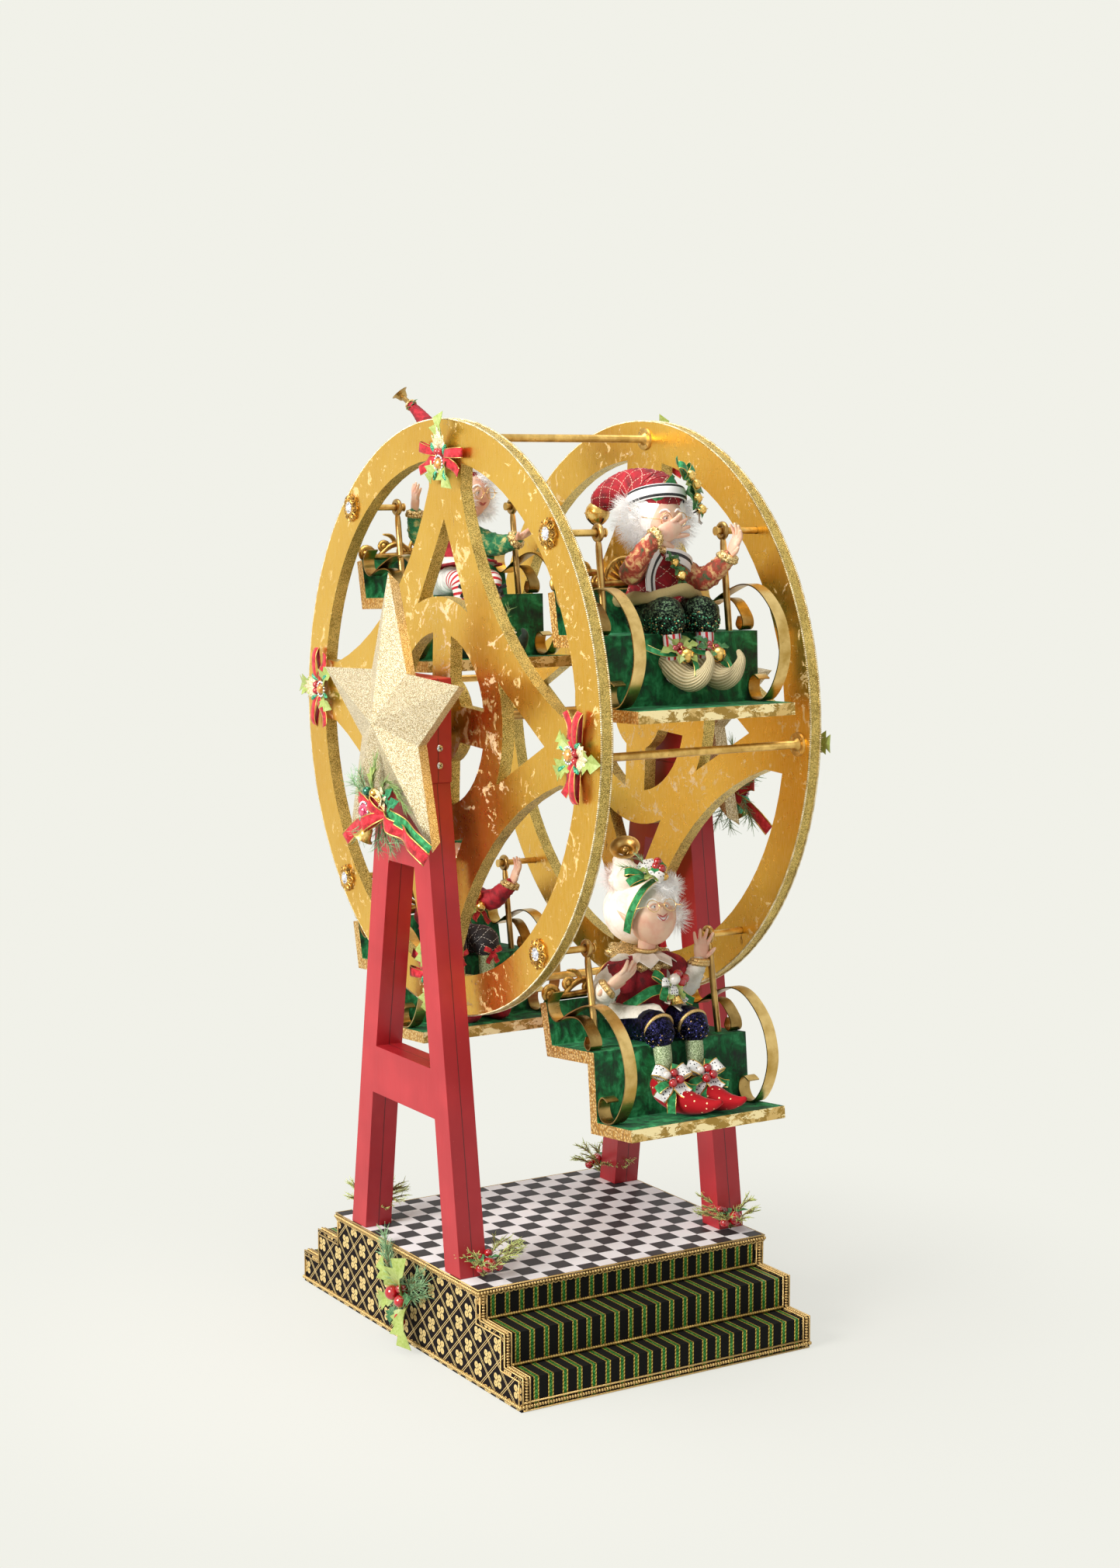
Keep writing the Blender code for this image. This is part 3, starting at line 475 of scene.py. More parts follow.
def step_stripes():
    """Black stripes and green glitter stripes, with gold cord along each side of the green."""
    finish = Finish("step_stripes", (0.01, 0.01, 0.01), 0.8, specular_ior_level=0.12)
    at = finish.place()
    x = at.split()[0]
    off = abs((x / STRIPE_PITCH + 50.0).fraction() - 0.5) * STRIPE_PITCH
    green = off.below(0.0021)
    cord = abs(off - 0.0028).below(0.0008)
    spark = finish.grey(finish.cells(at, 1300.0, "Color"))
    # Painted glints: each green flake is painted lighter or darker at random.
    tint = finish.ramp(spark, ((0.25, (0.002, 0.045, 0.008)), (0.6, (0.009, 0.18, 0.03)),
                               (0.85, (0.18, 0.56, 0.13))))
    # Painted shade: the gold cord is painted light and dark in turn along its twists, with no relief under
    # them.
    twist = ((at.split()[1] - at.split()[2] + x) * 1400.0).sine()
    gold = finish.mix(twist.fade(-0.4, 0.8), (0.28, 0.17, 0.02), (0.8, 0.6, 0.14))
    weave = finish.noise(finish.stretch(at, (0.3, 1.0, 1.0)), 2200.0, 2.0)
    black = finish.mix(weave, (0.002, 0.002, 0.002), (0.01, 0.01, 0.009))
    colour = finish.mix(green, black, tint)
    finish.set("Base Color", finish.mix(cord, colour, gold))
    finish.set("Metallic", cord * 0.6 + green * 0.35)
    finish.set("Roughness", 0.82 - cord * 0.4 - green * 0.42)
    return finish.bump(green * spark * 0.8 + cord * 1.6 + weave * 0.3, 0.0006, 0.7)


CHECK_X = 0.0242
CHECK_Y = 0.025


def checks():
    """Dark and light squares with a hairline between the dark corners."""
    finish = Finish("checks", (0.7, 0.7, 0.7), 0.5, specular_ior_level=0.2)
    at = finish.place()
    x, y, _ = at.split()
    across, along = x / CHECK_X + 100.5, y / CHECK_Y + 100.5
    odd = ((across.math("FLOOR", across) + along.math("FLOOR", along)) * 0.5).fraction().above(0.25)
    hair_x = abs(abs(across.fraction() - 0.5) - 0.5).below(0.022)
    hair_y = abs(abs(along.fraction() - 0.5) - 0.5).below(0.022)
    dark = odd * (1 - hair_x.largest(hair_y))
    dust = finish.noise(at, 380.0, 4.0, 0.7)
    cloudy = finish.noise(at, 30.0, 3.0)
    pale = finish.mix(cloudy, (0.8, 0.78, 0.8), (0.88, 0.86, 0.88))
    ink = finish.mix(dust.fade(0.4, 0.8), (0.03, 0.025, 0.028), (0.065, 0.055, 0.06))
    finish.set("Base Color", finish.mix(dark, pale, ink))
    finish.set("Roughness", 0.42 + dust * 0.25)
    return finish.bump(dust, 0.00015, 0.3)


def glitter(name, dark, mid, light, scale=850.0, metallic=0.65, rough=0.32):
    """Flakes, each painted lighter or darker at random as painted glints, and each tilted its own way by
    the bump.
    """
    finish = Finish(name, mid, rough, metallic)
    at = finish.place()
    flake = finish.cells(at, scale, "Color")
    bright = finish.grey(flake)
    # Painted glints: each flake's colour runs from dark to light at random.
    finish.set("Base Color", finish.ramp(bright, ((0.22, dark), (0.5, mid), (0.78, light))))
    finish.set("Roughness", rough + bright * 0.25)
    return finish.bump(bright, 0.0009, 0.9)


def bare_wood():
    finish = Finish("bare_wood", (0.42, 0.27, 0.15), 0.65)
    at = finish.place()
    grain = finish.noise(finish.stretch(at, (1.0, 0.08, 1.0)), 90.0, 5.0, 0.6, 0.5)
    finish.set("Base Color", finish.mix(grain.fade(0.3, 0.7), (0.3, 0.18, 0.09), (0.52, 0.36, 0.21)))
    return finish.bump(grain, 0.0004, 0.5)


def gold_braid():
    """Dark gold woven cord, painted bright on its high spots and dark between them: painted highlights and
    painted shade on the weave.
    """
    finish = Finish("gold_braid", (0.55, 0.36, 0.12), 0.38, 0.75)
    at = finish.place()
    thread = finish.noise(at, 1500.0, 2.0, 0.6)
    finish.set("Base Color", finish.mix(thread.fade(0.3, 0.7), (0.3, 0.17, 0.045), (0.86, 0.62, 0.27)))
    return finish.bump(thread, 0.0005, 0.6)


def plush(name, dark, mid, light, scale=70.0, sheen=0.4, tint=(1.0, 1.0, 1.0)):
    """Velvet or brushed cloth whose pile lies in patches."""
    finish = Finish(name, mid, 0.75, 0.0, sheen_weight=sheen, sheen_roughness=0.4, sheen_tint=(*tint, 1.0))
    at = finish.place()
    lie = finish.noise(at, scale, 4.0, 0.6, 0.5)
    nap = finish.noise(at, 1500.0, 2.0)
    finish.set("Base Color", finish.ramp(lie * 0.85 + nap * 0.15,
                                         ((0.34, dark), (0.5, mid), (0.68, light))))
    return finish.bump(lie * 1.5 + nap * 0.4, 0.0006, 0.5)


def gloss(name, colour, deep, roughness=0.12, metallic=0.0, coat=0.6):
    """Lacquer, pearl or enamel."""
    finish = Finish(name, colour, roughness, metallic, coat_roughness=0.05)
    cloudy = finish.noise(finish.place(), 130.0, 2.0)
    finish.set("Base Color", finish.mix(cloudy.fade(0.3, 0.75), deep, colour))
    finish.set("Coat Weight", coat)
    finish.set("Roughness", roughness + cloudy * 0.08)
    return finish


def foliage(name, dark, light, vein_scale=240.0, shine=0.45):
    """Leaves and needles, mottled and a little waxy."""
    finish = Finish(name, light, shine)
    at = finish.place()
    mottled = finish.noise(at, vein_scale, 4.0, 0.6)
    finish.set("Base Color", finish.mix(mottled.fade(0.3, 0.7), dark, light))
    finish.set("Roughness", shine + mottled * 0.2)
    return finish.bump(mottled, 0.0005, 0.5)


# Shapes


def smooth_path(points, steps):
    """A smooth curve through points of any size."""
    pts = [Vector(p) for p in (points[0], *points, points[-1])]
    path = []
    for a, b, c, d in zip(pts, pts[1:], pts[2:], pts[3:]):
        for i in range(steps):
            t = i / steps
            path.append(0.5 * (2 * b + (c - a) * t + (2 * a - 5 * b + 4 * c - d) * t * t
                               + (3 * b - a - 3 * c + d) * t ** 3))
    return path + [pts[-1]]


def at_front(point):
    """(x, forward, up) as a vector in metres."""
    return Vector((point[0], -point[1], point[2]))


def turn_to(direction, up=(0, 0, 1)):
    """A rotation that sends +Z along a direction, with +Y near up."""
    z = Vector(direction).normalized()
    side = Vector(up).cross(z)
    if side.length < 1e-4:
        side = Vector((1, 0, 0)).cross(z)
        if side.length < 1e-4:
            side = Vector((0, 1, 0)).cross(z)
    side.normalize()
    return Matrix((side, z.cross(side), z)).transposed().to_4x4()


class Piece:
    """The shapes of one piece, gathered with their finishes before it becomes an object."""

    def __init__(self, name, body, slot, at=None):
        self.name = name
        self.body = body
        self.slot = slot
        self.at = at or Matrix()
        self.bm = bmesh.new()
        self.uv = self.bm.loops.layers.uv.new("UVMap")
        self.finishes = []

    def index(self, finish):
        if finish not in self.finishes:
            self.finishes.append(finish)
        return self.finishes.index(finish)

    def face(self, verts, finish, uvs=None, smooth=True):
        made = self.bm.faces.new(verts)
        made.material_index = self.index(finish)
        made.smooth = smooth
        if uvs:
            for loop, uv in zip(made.loops, uvs):
                loop[self.uv].uv = uv
        return made

    def loft(self, rings, finish, smooth=True, closed=False):
        """A skin over rings of equal count, with its ends closed unless the rings form a loop."""
        rows = [[self.bm.verts.new(self.at @ Vector(p)) for p in ring] for ring in rings]
        count = len(rows[0])
        run = 0.0
        pairs = list(zip(rows, rows[1:]))
        if closed:
            pairs.append((rows[-1], rows[0]))
        for here, there in pairs:
            step = max((here[0].co - there[0].co).length,
                       (here[count // 2].co - there[count // 2].co).length)
            for i in range(count):
                j = (i + 1) % count
                uvs = [(i / count, run), ((i + 1) / count, run), ((i + 1) / count, run + step),
                       (i / count, run + step)]
                self.face((here[i], here[j], there[j], there[i]), finish, uvs, smooth)
            run += step
        if not closed:
            for row, way in ((rows[0], -1), (rows[-1], 1)):
                middle = self.bm.verts.new(sum((v.co for v in row), Vector()) / count)
                for i in range(count):
                    j = (i + 1) % count
                    self.face((row[i], row[j], middle)[::way], finish, None, smooth)
        return rows

    def tube(self, path, radii, finish, sides=10, flat=1.0, round_ends=True, up=(1, 0, 0), steps=1,
             closed=False):
        """A tube along a path. flat squeezes it across up."""
        if steps > 1:
            joined = smooth_path([(*p, r) for p, r in zip(path, radii)], steps)
            path, radii = [Vector(p[:3]) for p in joined], [p[3] for p in joined]
        path = [Vector(p) for p in path]
        if round_ends and not closed:
            path, radii = self.rounded(path, list(radii))
        rings = []
        side = None
        last = len(path) - 1
        for i, (p, r) in enumerate(zip(path, radii)):
            ahead = path[(i + 1) % len(path)] if closed else path[min(i + 1, last)]
            behind = path[i - 1] if closed else path[max(i - 1, 0)]
            z = (ahead - behind).normalized()
            if side is None:
                side = Vector(up).cross(z)
                if side.length < 1e-3:
                    side = Vector((0, 0.3, 1)).cross(z)
            side = (side - side.dot(z) * z).normalized()
            other = z.cross(side)
            rings.append([
                p + side * r * cos(2 * pi * k / sides) + other * r * flat * sin(2 * pi * k / sides)
                for k in range(sides)
            ])
        return self.loft(rings, finish, closed=closed)

    def rounded(self, path, radii):
        """The path with a small dome added at each end."""
        start, end = (path[0] - path[1]).normalized(), (path[-1] - path[-2]).normalized()
        shares = ((0.5, 0.866), (0.87, 0.5), (0.99, 0.12))
        first = [(path[0] + start * radii[0] * a, radii[0] * b) for a, b in shares]
        final = [(path[-1] + end * radii[-1] * a, radii[-1] * b) for a, b in shares]
        joined = first[::-1] + list(zip(path, radii)) + final
        return [p for p, _ in joined], [r for _, r in joined]

    def lathe(self, profile, origin, axis, finish, sides=20):
        """A solid turned about an axis from (along, radius) points, open to no side."""
        turn = turn_to(axis)
        rings = []
        for along, radius in profile:
            radius = max(radius, 1e-5)
            rings.append([
                Vector(origin) + turn.to_3x3() @ Vector((radius * cos(2 * pi * k / sides),
                                                         radius * sin(2 * pi * k / sides), along))
                for k in range(sides)
            ])
        return self.loft(rings, finish)

    def ball(self, centre, radius, finish, sizes=(1, 1, 1), turn=None, detail=2):
        """An ellipsoid."""
        place = Matrix.Translation(centre) @ (turn or Matrix()) @ Matrix.Diagonal((*sizes, 1))
        made = bmesh.ops.create_icosphere(self.bm, subdivisions=detail, radius=radius,
                                          matrix=self.at @ place)
        index = self.index(finish)
        for vert in made["verts"]:
            for f in vert.link_faces:
                f.material_index = index
                f.smooth = True
        return made["verts"]

    def ribbon(self, path, widths, across, finish, thickness=0.0006, steps=1, edge=None, edge_width=0.0007):
        """A flat band along a path, across the given direction, with an optional cord on its edges."""
        if not isinstance(widths, (list, tuple)):
            widths = [widths] * len(path)
        if steps > 1:
            joined = smooth_path([(*p, w) for p, w in zip(path, widths)], steps)
            path, widths = [Vector(p[:3]) for p in joined], [p[3] for p in joined]
        path = [Vector(p) for p in path]
        rings = []
        rims = ([], [])
        for i, (p, w) in enumerate(zip(path, widths)):
            z = (path[min(i + 1, len(path) - 1)] - path[max(i - 1, 0)]).normalized()
            side = Vector(across) - Vector(across).dot(z) * z
            side.normalize()
            up = z.cross(side) * thickness / 2
            half = side * w / 2
            rings.append([p - half - up, p - up, p + half - up, p + half + up, p + up, p - half + up])
            rims[0].append(p - half)
            rims[1].append(p + half)
        self.loft(rings, finish)
        if edge:
            for rim in rims:
                self.tube(rim, [edge_width] * len(rim), edge, sides=4, round_ends=False)

    def plate(self, outline, finish, matrix, thickness=0.0005, dome=0.0, smooth=True):
        """A thin leaf or plate from a flat outline around its own middle, domed."""
        middle = Vector((sum(p[0] for p in outline) / len(outline),
                         sum(p[1] for p in outline) / len(outline), dome))
        place = self.at @ matrix
        top = [self.bm.verts.new(place @ Vector((x, y, thickness / 2))) for x, y in outline]
        low = [self.bm.verts.new(place @ Vector((x, y, -thickness / 2))) for x, y in outline]
        up = self.bm.verts.new(place @ (middle + Vector((0, 0, thickness / 2))))
        down = self.bm.verts.new(place @ (middle - Vector((0, 0, thickness / 2))))
        for i in range(len(outline)):
            j = (i + 1) % len(outline)
            self.face((top[i], top[j], up), finish, None, smooth)
            self.face((low[j], low[i], down), finish, None, smooth)
            self.face((low[i], low[j], top[j], top[i]), finish, None, smooth)

    def done(self, replaces=(), smooth_angle=None):
        """Makes the object, rides it on its body and hides the nodes it stands for."""
        bmesh.ops.recalc_face_normals(self.bm, faces=self.bm.faces)
        mesh = bpy.data.meshes.new(self.name)
        self.bm.to_mesh(mesh)
        self.bm.free()
        if smooth_angle is not None:
            mesh.set_sharp_from_angle(angle=smooth_angle)
        for finish in self.finishes:
            mesh.materials.append(finish.material)
        item = bpy.data.objects.new(self.name, mesh)
        bpy.context.scene.collection.objects.link(item)
        return adopt(item, self.body, self.slot, replaces)


def adopt(item, body, slot, replaces=()):
    """Rides an object on a body and hides the nodes it stands for; slot is not used."""
    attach(item, body)
    if replaces:
        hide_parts(*replaces)
    return item


# Repeated pieces, by Geometry Nodes


class Pattern(Graph):
    """A Geometry Nodes tree with named inputs, which ends in Realize Instances and Set Material."""

    def __init__(self, name, inputs):
        super().__init__(bpy.data.node_groups.new(name, "GeometryNodeTree"))
        face = self.tree.interface
        face.new_socket("Geometry", in_out="INPUT", socket_type="NodeSocketGeometry")
        for label in inputs:
            face.new_socket(label, in_out="INPUT", socket_type="NodeSocketFloat")
        face.new_socket("Finish", in_out="INPUT", socket_type="NodeSocketMaterial")
        face.new_socket("Geometry", in_out="OUTPUT", socket_type="NodeSocketGeometry")
        self.entry = self.tree.nodes.new("NodeGroupInput")
        self.exit = self.tree.nodes.new("NodeGroupOutput")

    def given(self, label):
        return Value(self, self.entry.outputs[label])

    def along_paths(self):
        """Points at an even Spacing along the given paths, and the way that each path runs."""
        curve = self.node("GeometryNodeMeshToCurve", None, {"Mesh": self.given("Geometry")})
        values = {"Curve": curve, "Length": self.given("Spacing")}
        points = self.node("GeometryNodeResampleCurve", {"mode": "LENGTH"}, values)
        if "Mode" in points.socket.node.inputs:
            points.socket.node.inputs["Mode"].default_value = "Length"
        return points, self.node("GeometryNodeInputTangent")

    def over_surface(self):
        """Points at a Density over the given surface, and the way that it faces."""
        values = {"Mesh": self.given("Geometry"), "Density": self.given("Density"),
                  "Seed": self.given("Seed")}
        points = self.node("GeometryNodeDistributePointsOnFaces", None, values)
        return points, Value(self, points.socket.node.outputs["Normal"])

    def spread(self):
        """A random way for each point."""
        values = {0: (-1.0, -1.0, -1.0), 1: (1.0, 1.0, 1.0), "Seed": self.given("Seed")}
        return self.node("FunctionNodeRandomValue", {"data_type": "FLOAT_VECTOR"}, values)

    def scaled(self, way, share):
        return self.node("ShaderNodeVectorMath", {"operation": "SCALE"},
                         {0: way, "Scale": self.given(share)})

    def added(self, one, two):
        return self.node("ShaderNodeVectorMath", {"operation": "ADD"}, {0: one, 1: two})

    def turned(self, way):
        """A rotation that sends +Z along a way."""
        return self.node("FunctionNodeAlignRotationToVector", {"axis": "Z"}, {"Vector": way})

    def sizes(self, least, most, shift):
        """A random size for each point."""
        values = {2: least, 3: most, "Seed": self.given("Seed") + shift}
        return self.node("FunctionNodeRandomValue", {"data_type": "FLOAT"}, values, 1)

    def spike(self, sides, taper):
        values = {
            "Vertices": sides, "Radius Bottom": self.given("Thickness"),
            "Radius Top": self.given("Thickness") * taper,
            "Depth": self.given("Length"),
        }
        return self.node("GeometryNodeMeshCone", {"fill_type": "TRIANGLE_FAN"}, values)

    def repeat(self, points, instance, turn, size=None):
        """Sets an instance on each point and finishes the tree."""
        values = {"Points": points, "Instance": instance, "Rotation": turn}
        if size is not None:
            values["Scale"] = size
        self.finish(self.node("GeometryNodeInstanceOnPoints", None, values))
        return self

    def finish(self, instances):
        real = self.node("GeometryNodeRealizeInstances", None, [instances])
        smooth = self.node("GeometryNodeSetShadeSmooth", None, [real])
        dressed = self.node("GeometryNodeSetMaterial", None,
                            {"Geometry": smooth, "Material": self.given("Finish")})
        self.feed(self.exit.inputs["Geometry"], dressed)

    def socket_id(self, label):
        for item in self.tree.interface.items_tree:
            if item.name == label and item.in_out == "INPUT":
                return item.identifier
        raise KeyError(label)


def bead_row():
    """Beads in a row along paths: Spacing, Size and how far each is Squashed."""
    made = Pattern("bead_row", ("Spacing", "Size", "Squash"))
    points, along = made.along_paths()
    bead = made.node("GeometryNodeMeshIcoSphere", None, {"Radius": made.given("Size"), "Subdivisions": 1})
    size = made.node("ShaderNodeCombineXYZ", None, [1.0, 1.0, made.given("Squash")])
    return made.repeat(points, bead, made.turned(along), size)


def needle_twig():
    """Needles along twigs: Spacing, Length, Thickness and how far they Lean forward."""
    made = Pattern("needle_twig", ("Spacing", "Length", "Thickness", "Lean", "Seed"))
    points, along = made.along_paths()
    outward = made.added(made.scaled(along, "Lean"), made.spread())
    return made.repeat(points, made.spike(4, 0.3), made.turned(outward), made.sizes(0.7, 1.15, 3))


def strand_fur():
    """Strands on a surface: Density, Length, Thickness and how wild they Stray."""
    made = Pattern("strand_fur", ("Density", "Length", "Thickness", "Stray", "Seed"))
    points, normal = made.over_surface()
    outward = made.added(normal, made.scaled(made.spread(), "Stray"))
    return made.repeat(points, made.spike(3, 0.2), made.turned(outward), made.sizes(0.55, 1.2, 5))


def sequin_field():
    """Sequins on a surface: Density, Size and how far they Tilt."""
    made = Pattern("sequin_field", ("Density", "Size", "Tilt", "Seed"))
    points, normal = made.over_surface()
    outward = made.added(normal, made.scaled(made.spread(), "Tilt"))
    values = {"Vertices": 6, "Radius": made.given("Size"), "Depth": made.given("Size") * 0.5}
    sequin = made.node("GeometryNodeMeshCylinder", {"fill_type": "TRIANGLE_FAN"}, values)
    return made.repeat(points, sequin, made.turned(outward))


def spread_over(pattern, name, mesh, finish, body, slot, **sizes):
    """Runs a pattern over a mesh and keeps the result as a plain piece."""
    host = bpy.data.objects.new(f"{name}_host", mesh)
    bpy.context.scene.collection.objects.link(host)
    modifier = host.modifiers.new("pattern", "NODES")
    modifier.node_group = pattern.tree
    for label, value in sizes.items():
        modifier[pattern.socket_id(label)] = float(value)
    modifier[pattern.socket_id("Finish")] = finish.material
    ready = host.evaluated_get(bpy.context.evaluated_depsgraph_get())
    made = bpy.data.meshes.new_from_object(ready)
    made.name = name
    bpy.data.objects.remove(host)
    item = bpy.data.objects.new(name, made)
    bpy.context.scene.collection.objects.link(item)
    return adopt(item, body, slot)


def paths_mesh(paths, matrix=None, closed=False):
    """Paths as a mesh of edges, for a pattern to follow."""
    verts, edges = [], []
    for path in paths:
        first = len(verts)
        verts.extend(matrix @ Vector(p) if matrix else Vector(p) for p in path)
        edges.extend((first + i, first + i + 1) for i in range(len(path) - 1))
        if closed:
            edges.append((len(verts) - 1, first))
    mesh = bpy.data.meshes.new("paths")
    mesh.from_pydata(verts, edges, [])
    return mesh


# Finishes that more than one piece takes

BRAID = gold_braid()
DARK_BRAID = brushed_bronze("dark_braid", (0.3, 0.19, 0.06), (0.55, 0.38, 0.13), 0.42)
AGED = brushed_bronze("aged_bronze", BRONZE, (0.58, 0.38, 0.13), 0.27)
POLISHED = brushed_bronze("polished_gold", (0.72, 0.46, 0.12), (0.92, 0.66, 0.24), 0.2)
CARVED = brushed_bronze("carved_gold", (0.24, 0.12, 0.022), (0.84, 0.53, 0.15), 0.3)
STEEL = steel()
EDGING = gloss("gold_edging", (0.86, 0.6, 0.2), (0.5, 0.3, 0.07), 0.3, 0.9, 0.0)
BOW_VELVET = plush("bow_velvet", (0.2, 0.002, 0.006), RIBBON_RED, (0.72, 0.05, 0.07), 160.0, 0.5,
                   (1.0, 0.4, 0.4))
GREEN_RIBBON = plush("green_ribbon", (0.004, 0.09, 0.02), (0.01, 0.22, 0.06), (0.06, 0.42, 0.15), 160.0,
                     0.4, (0.5, 1.0, 0.6))
HOLLY = foliage("holly", (0.26, 0.34, 0.06), HOLLY_LIME, 320.0, 0.3)
DARK_HOLLY = foliage("dark_holly", (0.02, 0.1, 0.03), (0.08, 0.26, 0.08), 320.0, 0.35)
NEEDLES = foliage("needles", (0.13, 0.3, 0.14), (0.4, 0.6, 0.32), 500.0, 0.5)
CEDAR = foliage("cedar", (0.34, 0.42, 0.1), (0.7, 0.76, 0.28), 500.0, 0.5)
BERRY = gloss("berry", (0.52, 0.006, 0.014), (0.3, 0.002, 0.006), 0.1, 0.0, 0.8)
AMBER = gloss("amber_jewel", (0.82, 0.4, 0.08), (0.48, 0.16, 0.02), 0.06, 0.35, 1.0)
ROSE = gloss("rose_jewel", (0.86, 0.1, 0.22), (0.42, 0.01, 0.06), 0.06, 0.3, 1.0)
CRYSTAL = gloss("crystal", (0.9, 0.9, 0.94), (0.52, 0.55, 0.62), 0.04, 0.55, 1.0)
PEARL = gloss("pearl", (0.86, 0.82, 0.76), (0.7, 0.64, 0.58), 0.16, 0.2, 0.8)
TEARDROP = glitter("teardrop", (0.002, 0.1, 0.05), (0.01, 0.3, 0.15), (0.25, 0.8, 0.5), 1700.0, 0.45)
PALE_PETAL = glitter("pale_petal", (0.5, 0.38, 0.16), (0.82, 0.68, 0.38), (1.0, 0.94, 0.72), 1600.0, 0.35,
                     0.35)
STAR_GLITTER = glitter("star_glitter", (0.2, 0.125, 0.035), (0.56, 0.41, 0.18), (1.0, 0.94, 0.74), 1800.0,
                       0.45, 0.32)
BEADS = bead_row()
TWIGS = needle_twig()


def dress(finish, slot, *names):
    """Gives CAD nodes a finish."""
    for name in names:
        item = NODES[name]
        item.data.materials.clear()
        item.data.materials.append(finish.material)


def soften(width, *names):
    """Rounds the sharp edges of CAD boards, as sanding does."""
    for name in names:
        item = NODES[name]
        weld = item.modifiers.new("weld", "WELD")
        weld.merge_threshold = 0.00002
        bevel = item.modifiers.new("sanded_edges", "BEVEL")
        bevel.width = width
        bevel.segments = 2
        bevel.limit_method = "ANGLE"
        bevel.angle_limit = radians(35)
        bevel.harden_normals = True


BASE_PANELS = ("base_side_left", "base_side_right")
RED_BOARDS = ("a_frame_left", "a_frame_right", "bearing_block_left", "bearing_block_right")
dress(lattice_brocade(), "black_brocade", *BASE_PANELS)
dress(step_stripes(), "black_brocade", "base_steps")
dress(checks(), "checker_floor", "platform_floor")
dress(bare_wood(), "bare_wood", "base_bottom_board")
dress(red_lacquer(), "red_paint", *RED_BOARDS)
dress(STAR_GLITTER, "pale_glitter", "star_left", "star_right")
dress(wheel_gold(), "gold_leaf", "wheel_left", "wheel_right")
soften(0.0012, *RED_BOARDS)
for seat_name in PLACES:
    dress(gondola_velvet(seat_name), "green_velvet", f"gondola_{seat_name}")


# Rods, pins, hangers, armrests and crests


def ring_path(radius, x, steps):
    """A circle about the wheel's axis, as points seen from it."""
    return [wheel_point(radius, 2 * pi * i / steps) + Vector((x, 0, 0)) for i in range(steps)]


def screw(piece, at, axis, radius, finish, angle=0.3, cross=True):
    """A domed screw head with its slot or cross, drawn as thin dark plates of painted shade on the dome."""
    turn = turn_to(axis)
    piece.lathe([(-0.0003, radius), (0.0003, radius), (radius * 0.25, radius * 0.72), (radius * 0.33, 0.0)],
                at, axis, finish, 18)
    spot = Matrix.Translation(at) @ turn @ Matrix.Rotation(angle, 4, "Z")
    half = radius * 0.62
    for way in (0, 1) if cross else (0,):
        bar = spot @ Matrix.Rotation(way * pi / 2, 4, "Z") @ Matrix.Translation((0, 0, radius * 0.3))
        outline = [(-half, -radius * 0.1), (half, -radius * 0.1), (half, radius * 0.1),
                   (-half, radius * 0.1)]
        piece.plate(outline, PAINTED_SLOT_SHADE, bar, 0.0004, 0.0, False)


# Painted shade: a dark finish for slots, laid on a surface where a cut would be in shade.
PAINTED_SLOT_SHADE = Finish("slot_dark", (0.03, 0.02, 0.012), 0.6, 0.4)


def build_rods():
    """The four rods between the wheels, each with a flange held by screws."""
    for name, angle in ROD_PLACES.items():
        at = AXIS @ Matrix.Translation(wheel_point(ROD_CIRCLE_R, angle))
        piece = Piece(f"rod_{name}", "wheel", "gold_leaf", at)
        face = WHEEL_INNER_X - 0.0002
        step = face - ROD_FLANGE_T
        neck = step - 0.004
        profile = [(-face, 0.0), (-face, ROD_FLANGE_R), (-step, ROD_FLANGE_R - 0.0006),
                   (-step, ROD_R * 1.7)]
        profile += [(-neck, ROD_R), (neck, ROD_R), (step, ROD_R * 1.7), (step, ROD_FLANGE_R - 0.0006)]
        profile += [(face, ROD_FLANGE_R), (face, 0.0)]
        piece.lathe(profile, (0, 0, 0), (1, 0, 0), ROD_LEAF, 32)
        for sign in (-1, 1):
            for k in range(4):
                turn = pi / 4 + k * pi / 2
                head = (sign * step, FLANGE_SCREWS_R * cos(turn), FLANGE_SCREWS_R * sin(turn))
                screw(piece, head, (-sign, 0, 0), 0.0019, POLISHED, k, False)
        piece.done((f"cross_rod_{name}",), radians(40))


ROD_LEAF = brushed_bronze("rod_leaf", (0.55, 0.33, 0.085), (0.88, 0.6, 0.2), 0.33)


def filigree(piece, spot, size):
    """A round medallion of eight open petals and a ring of beads about a crystal."""
    for k in range(8):
        turn = k * pi / 4
        out = Vector((cos(turn), sin(turn), 0))
        side = Vector((-out.y, out.x, 0))
        loop = []
        for i in range(14):
            a = 2 * pi * i / 14
            loop.append(spot @ (out * size * (0.72 + 0.24 * cos(a)) + side * size * 0.21 * sin(a)
                                + Vector((0, 0, 0.0022 - 0.0014 * cos(a)))))
        piece.tube(loop, [size * 0.058] * 14, CARVED, 6, closed=True)
        piece.ball(spot @ (out * size * 0.74 + Vector((0, 0, 0.0024))), size * 0.085, POLISHED, detail=1)
        gap = Vector((cos(turn + pi / 8), sin(turn + pi / 8), 0))
        piece.ball(spot @ (gap * size * 0.86 + Vector((0, 0, 0.0016))), size * 0.07, CARVED, detail=1)
    ring = [spot @ Vector((size * 0.5 * cos(a * pi / 12), size * 0.5 * sin(a * pi / 12), 0.0028))
            for a in range(24)]
    piece.tube(ring, [size * 0.07] * 24, POLISHED, 6, closed=True)
    for k in range(12):
        a = k * pi / 6
        piece.ball(spot @ Vector((size * 0.37 * cos(a), size * 0.37 * sin(a), 0.0032)), size * 0.085,
                   CRYSTAL, detail=1)
    jewel(piece, spot @ Matrix.Translation((0, 0, 0.003)), size * 0.29, CRYSTAL)


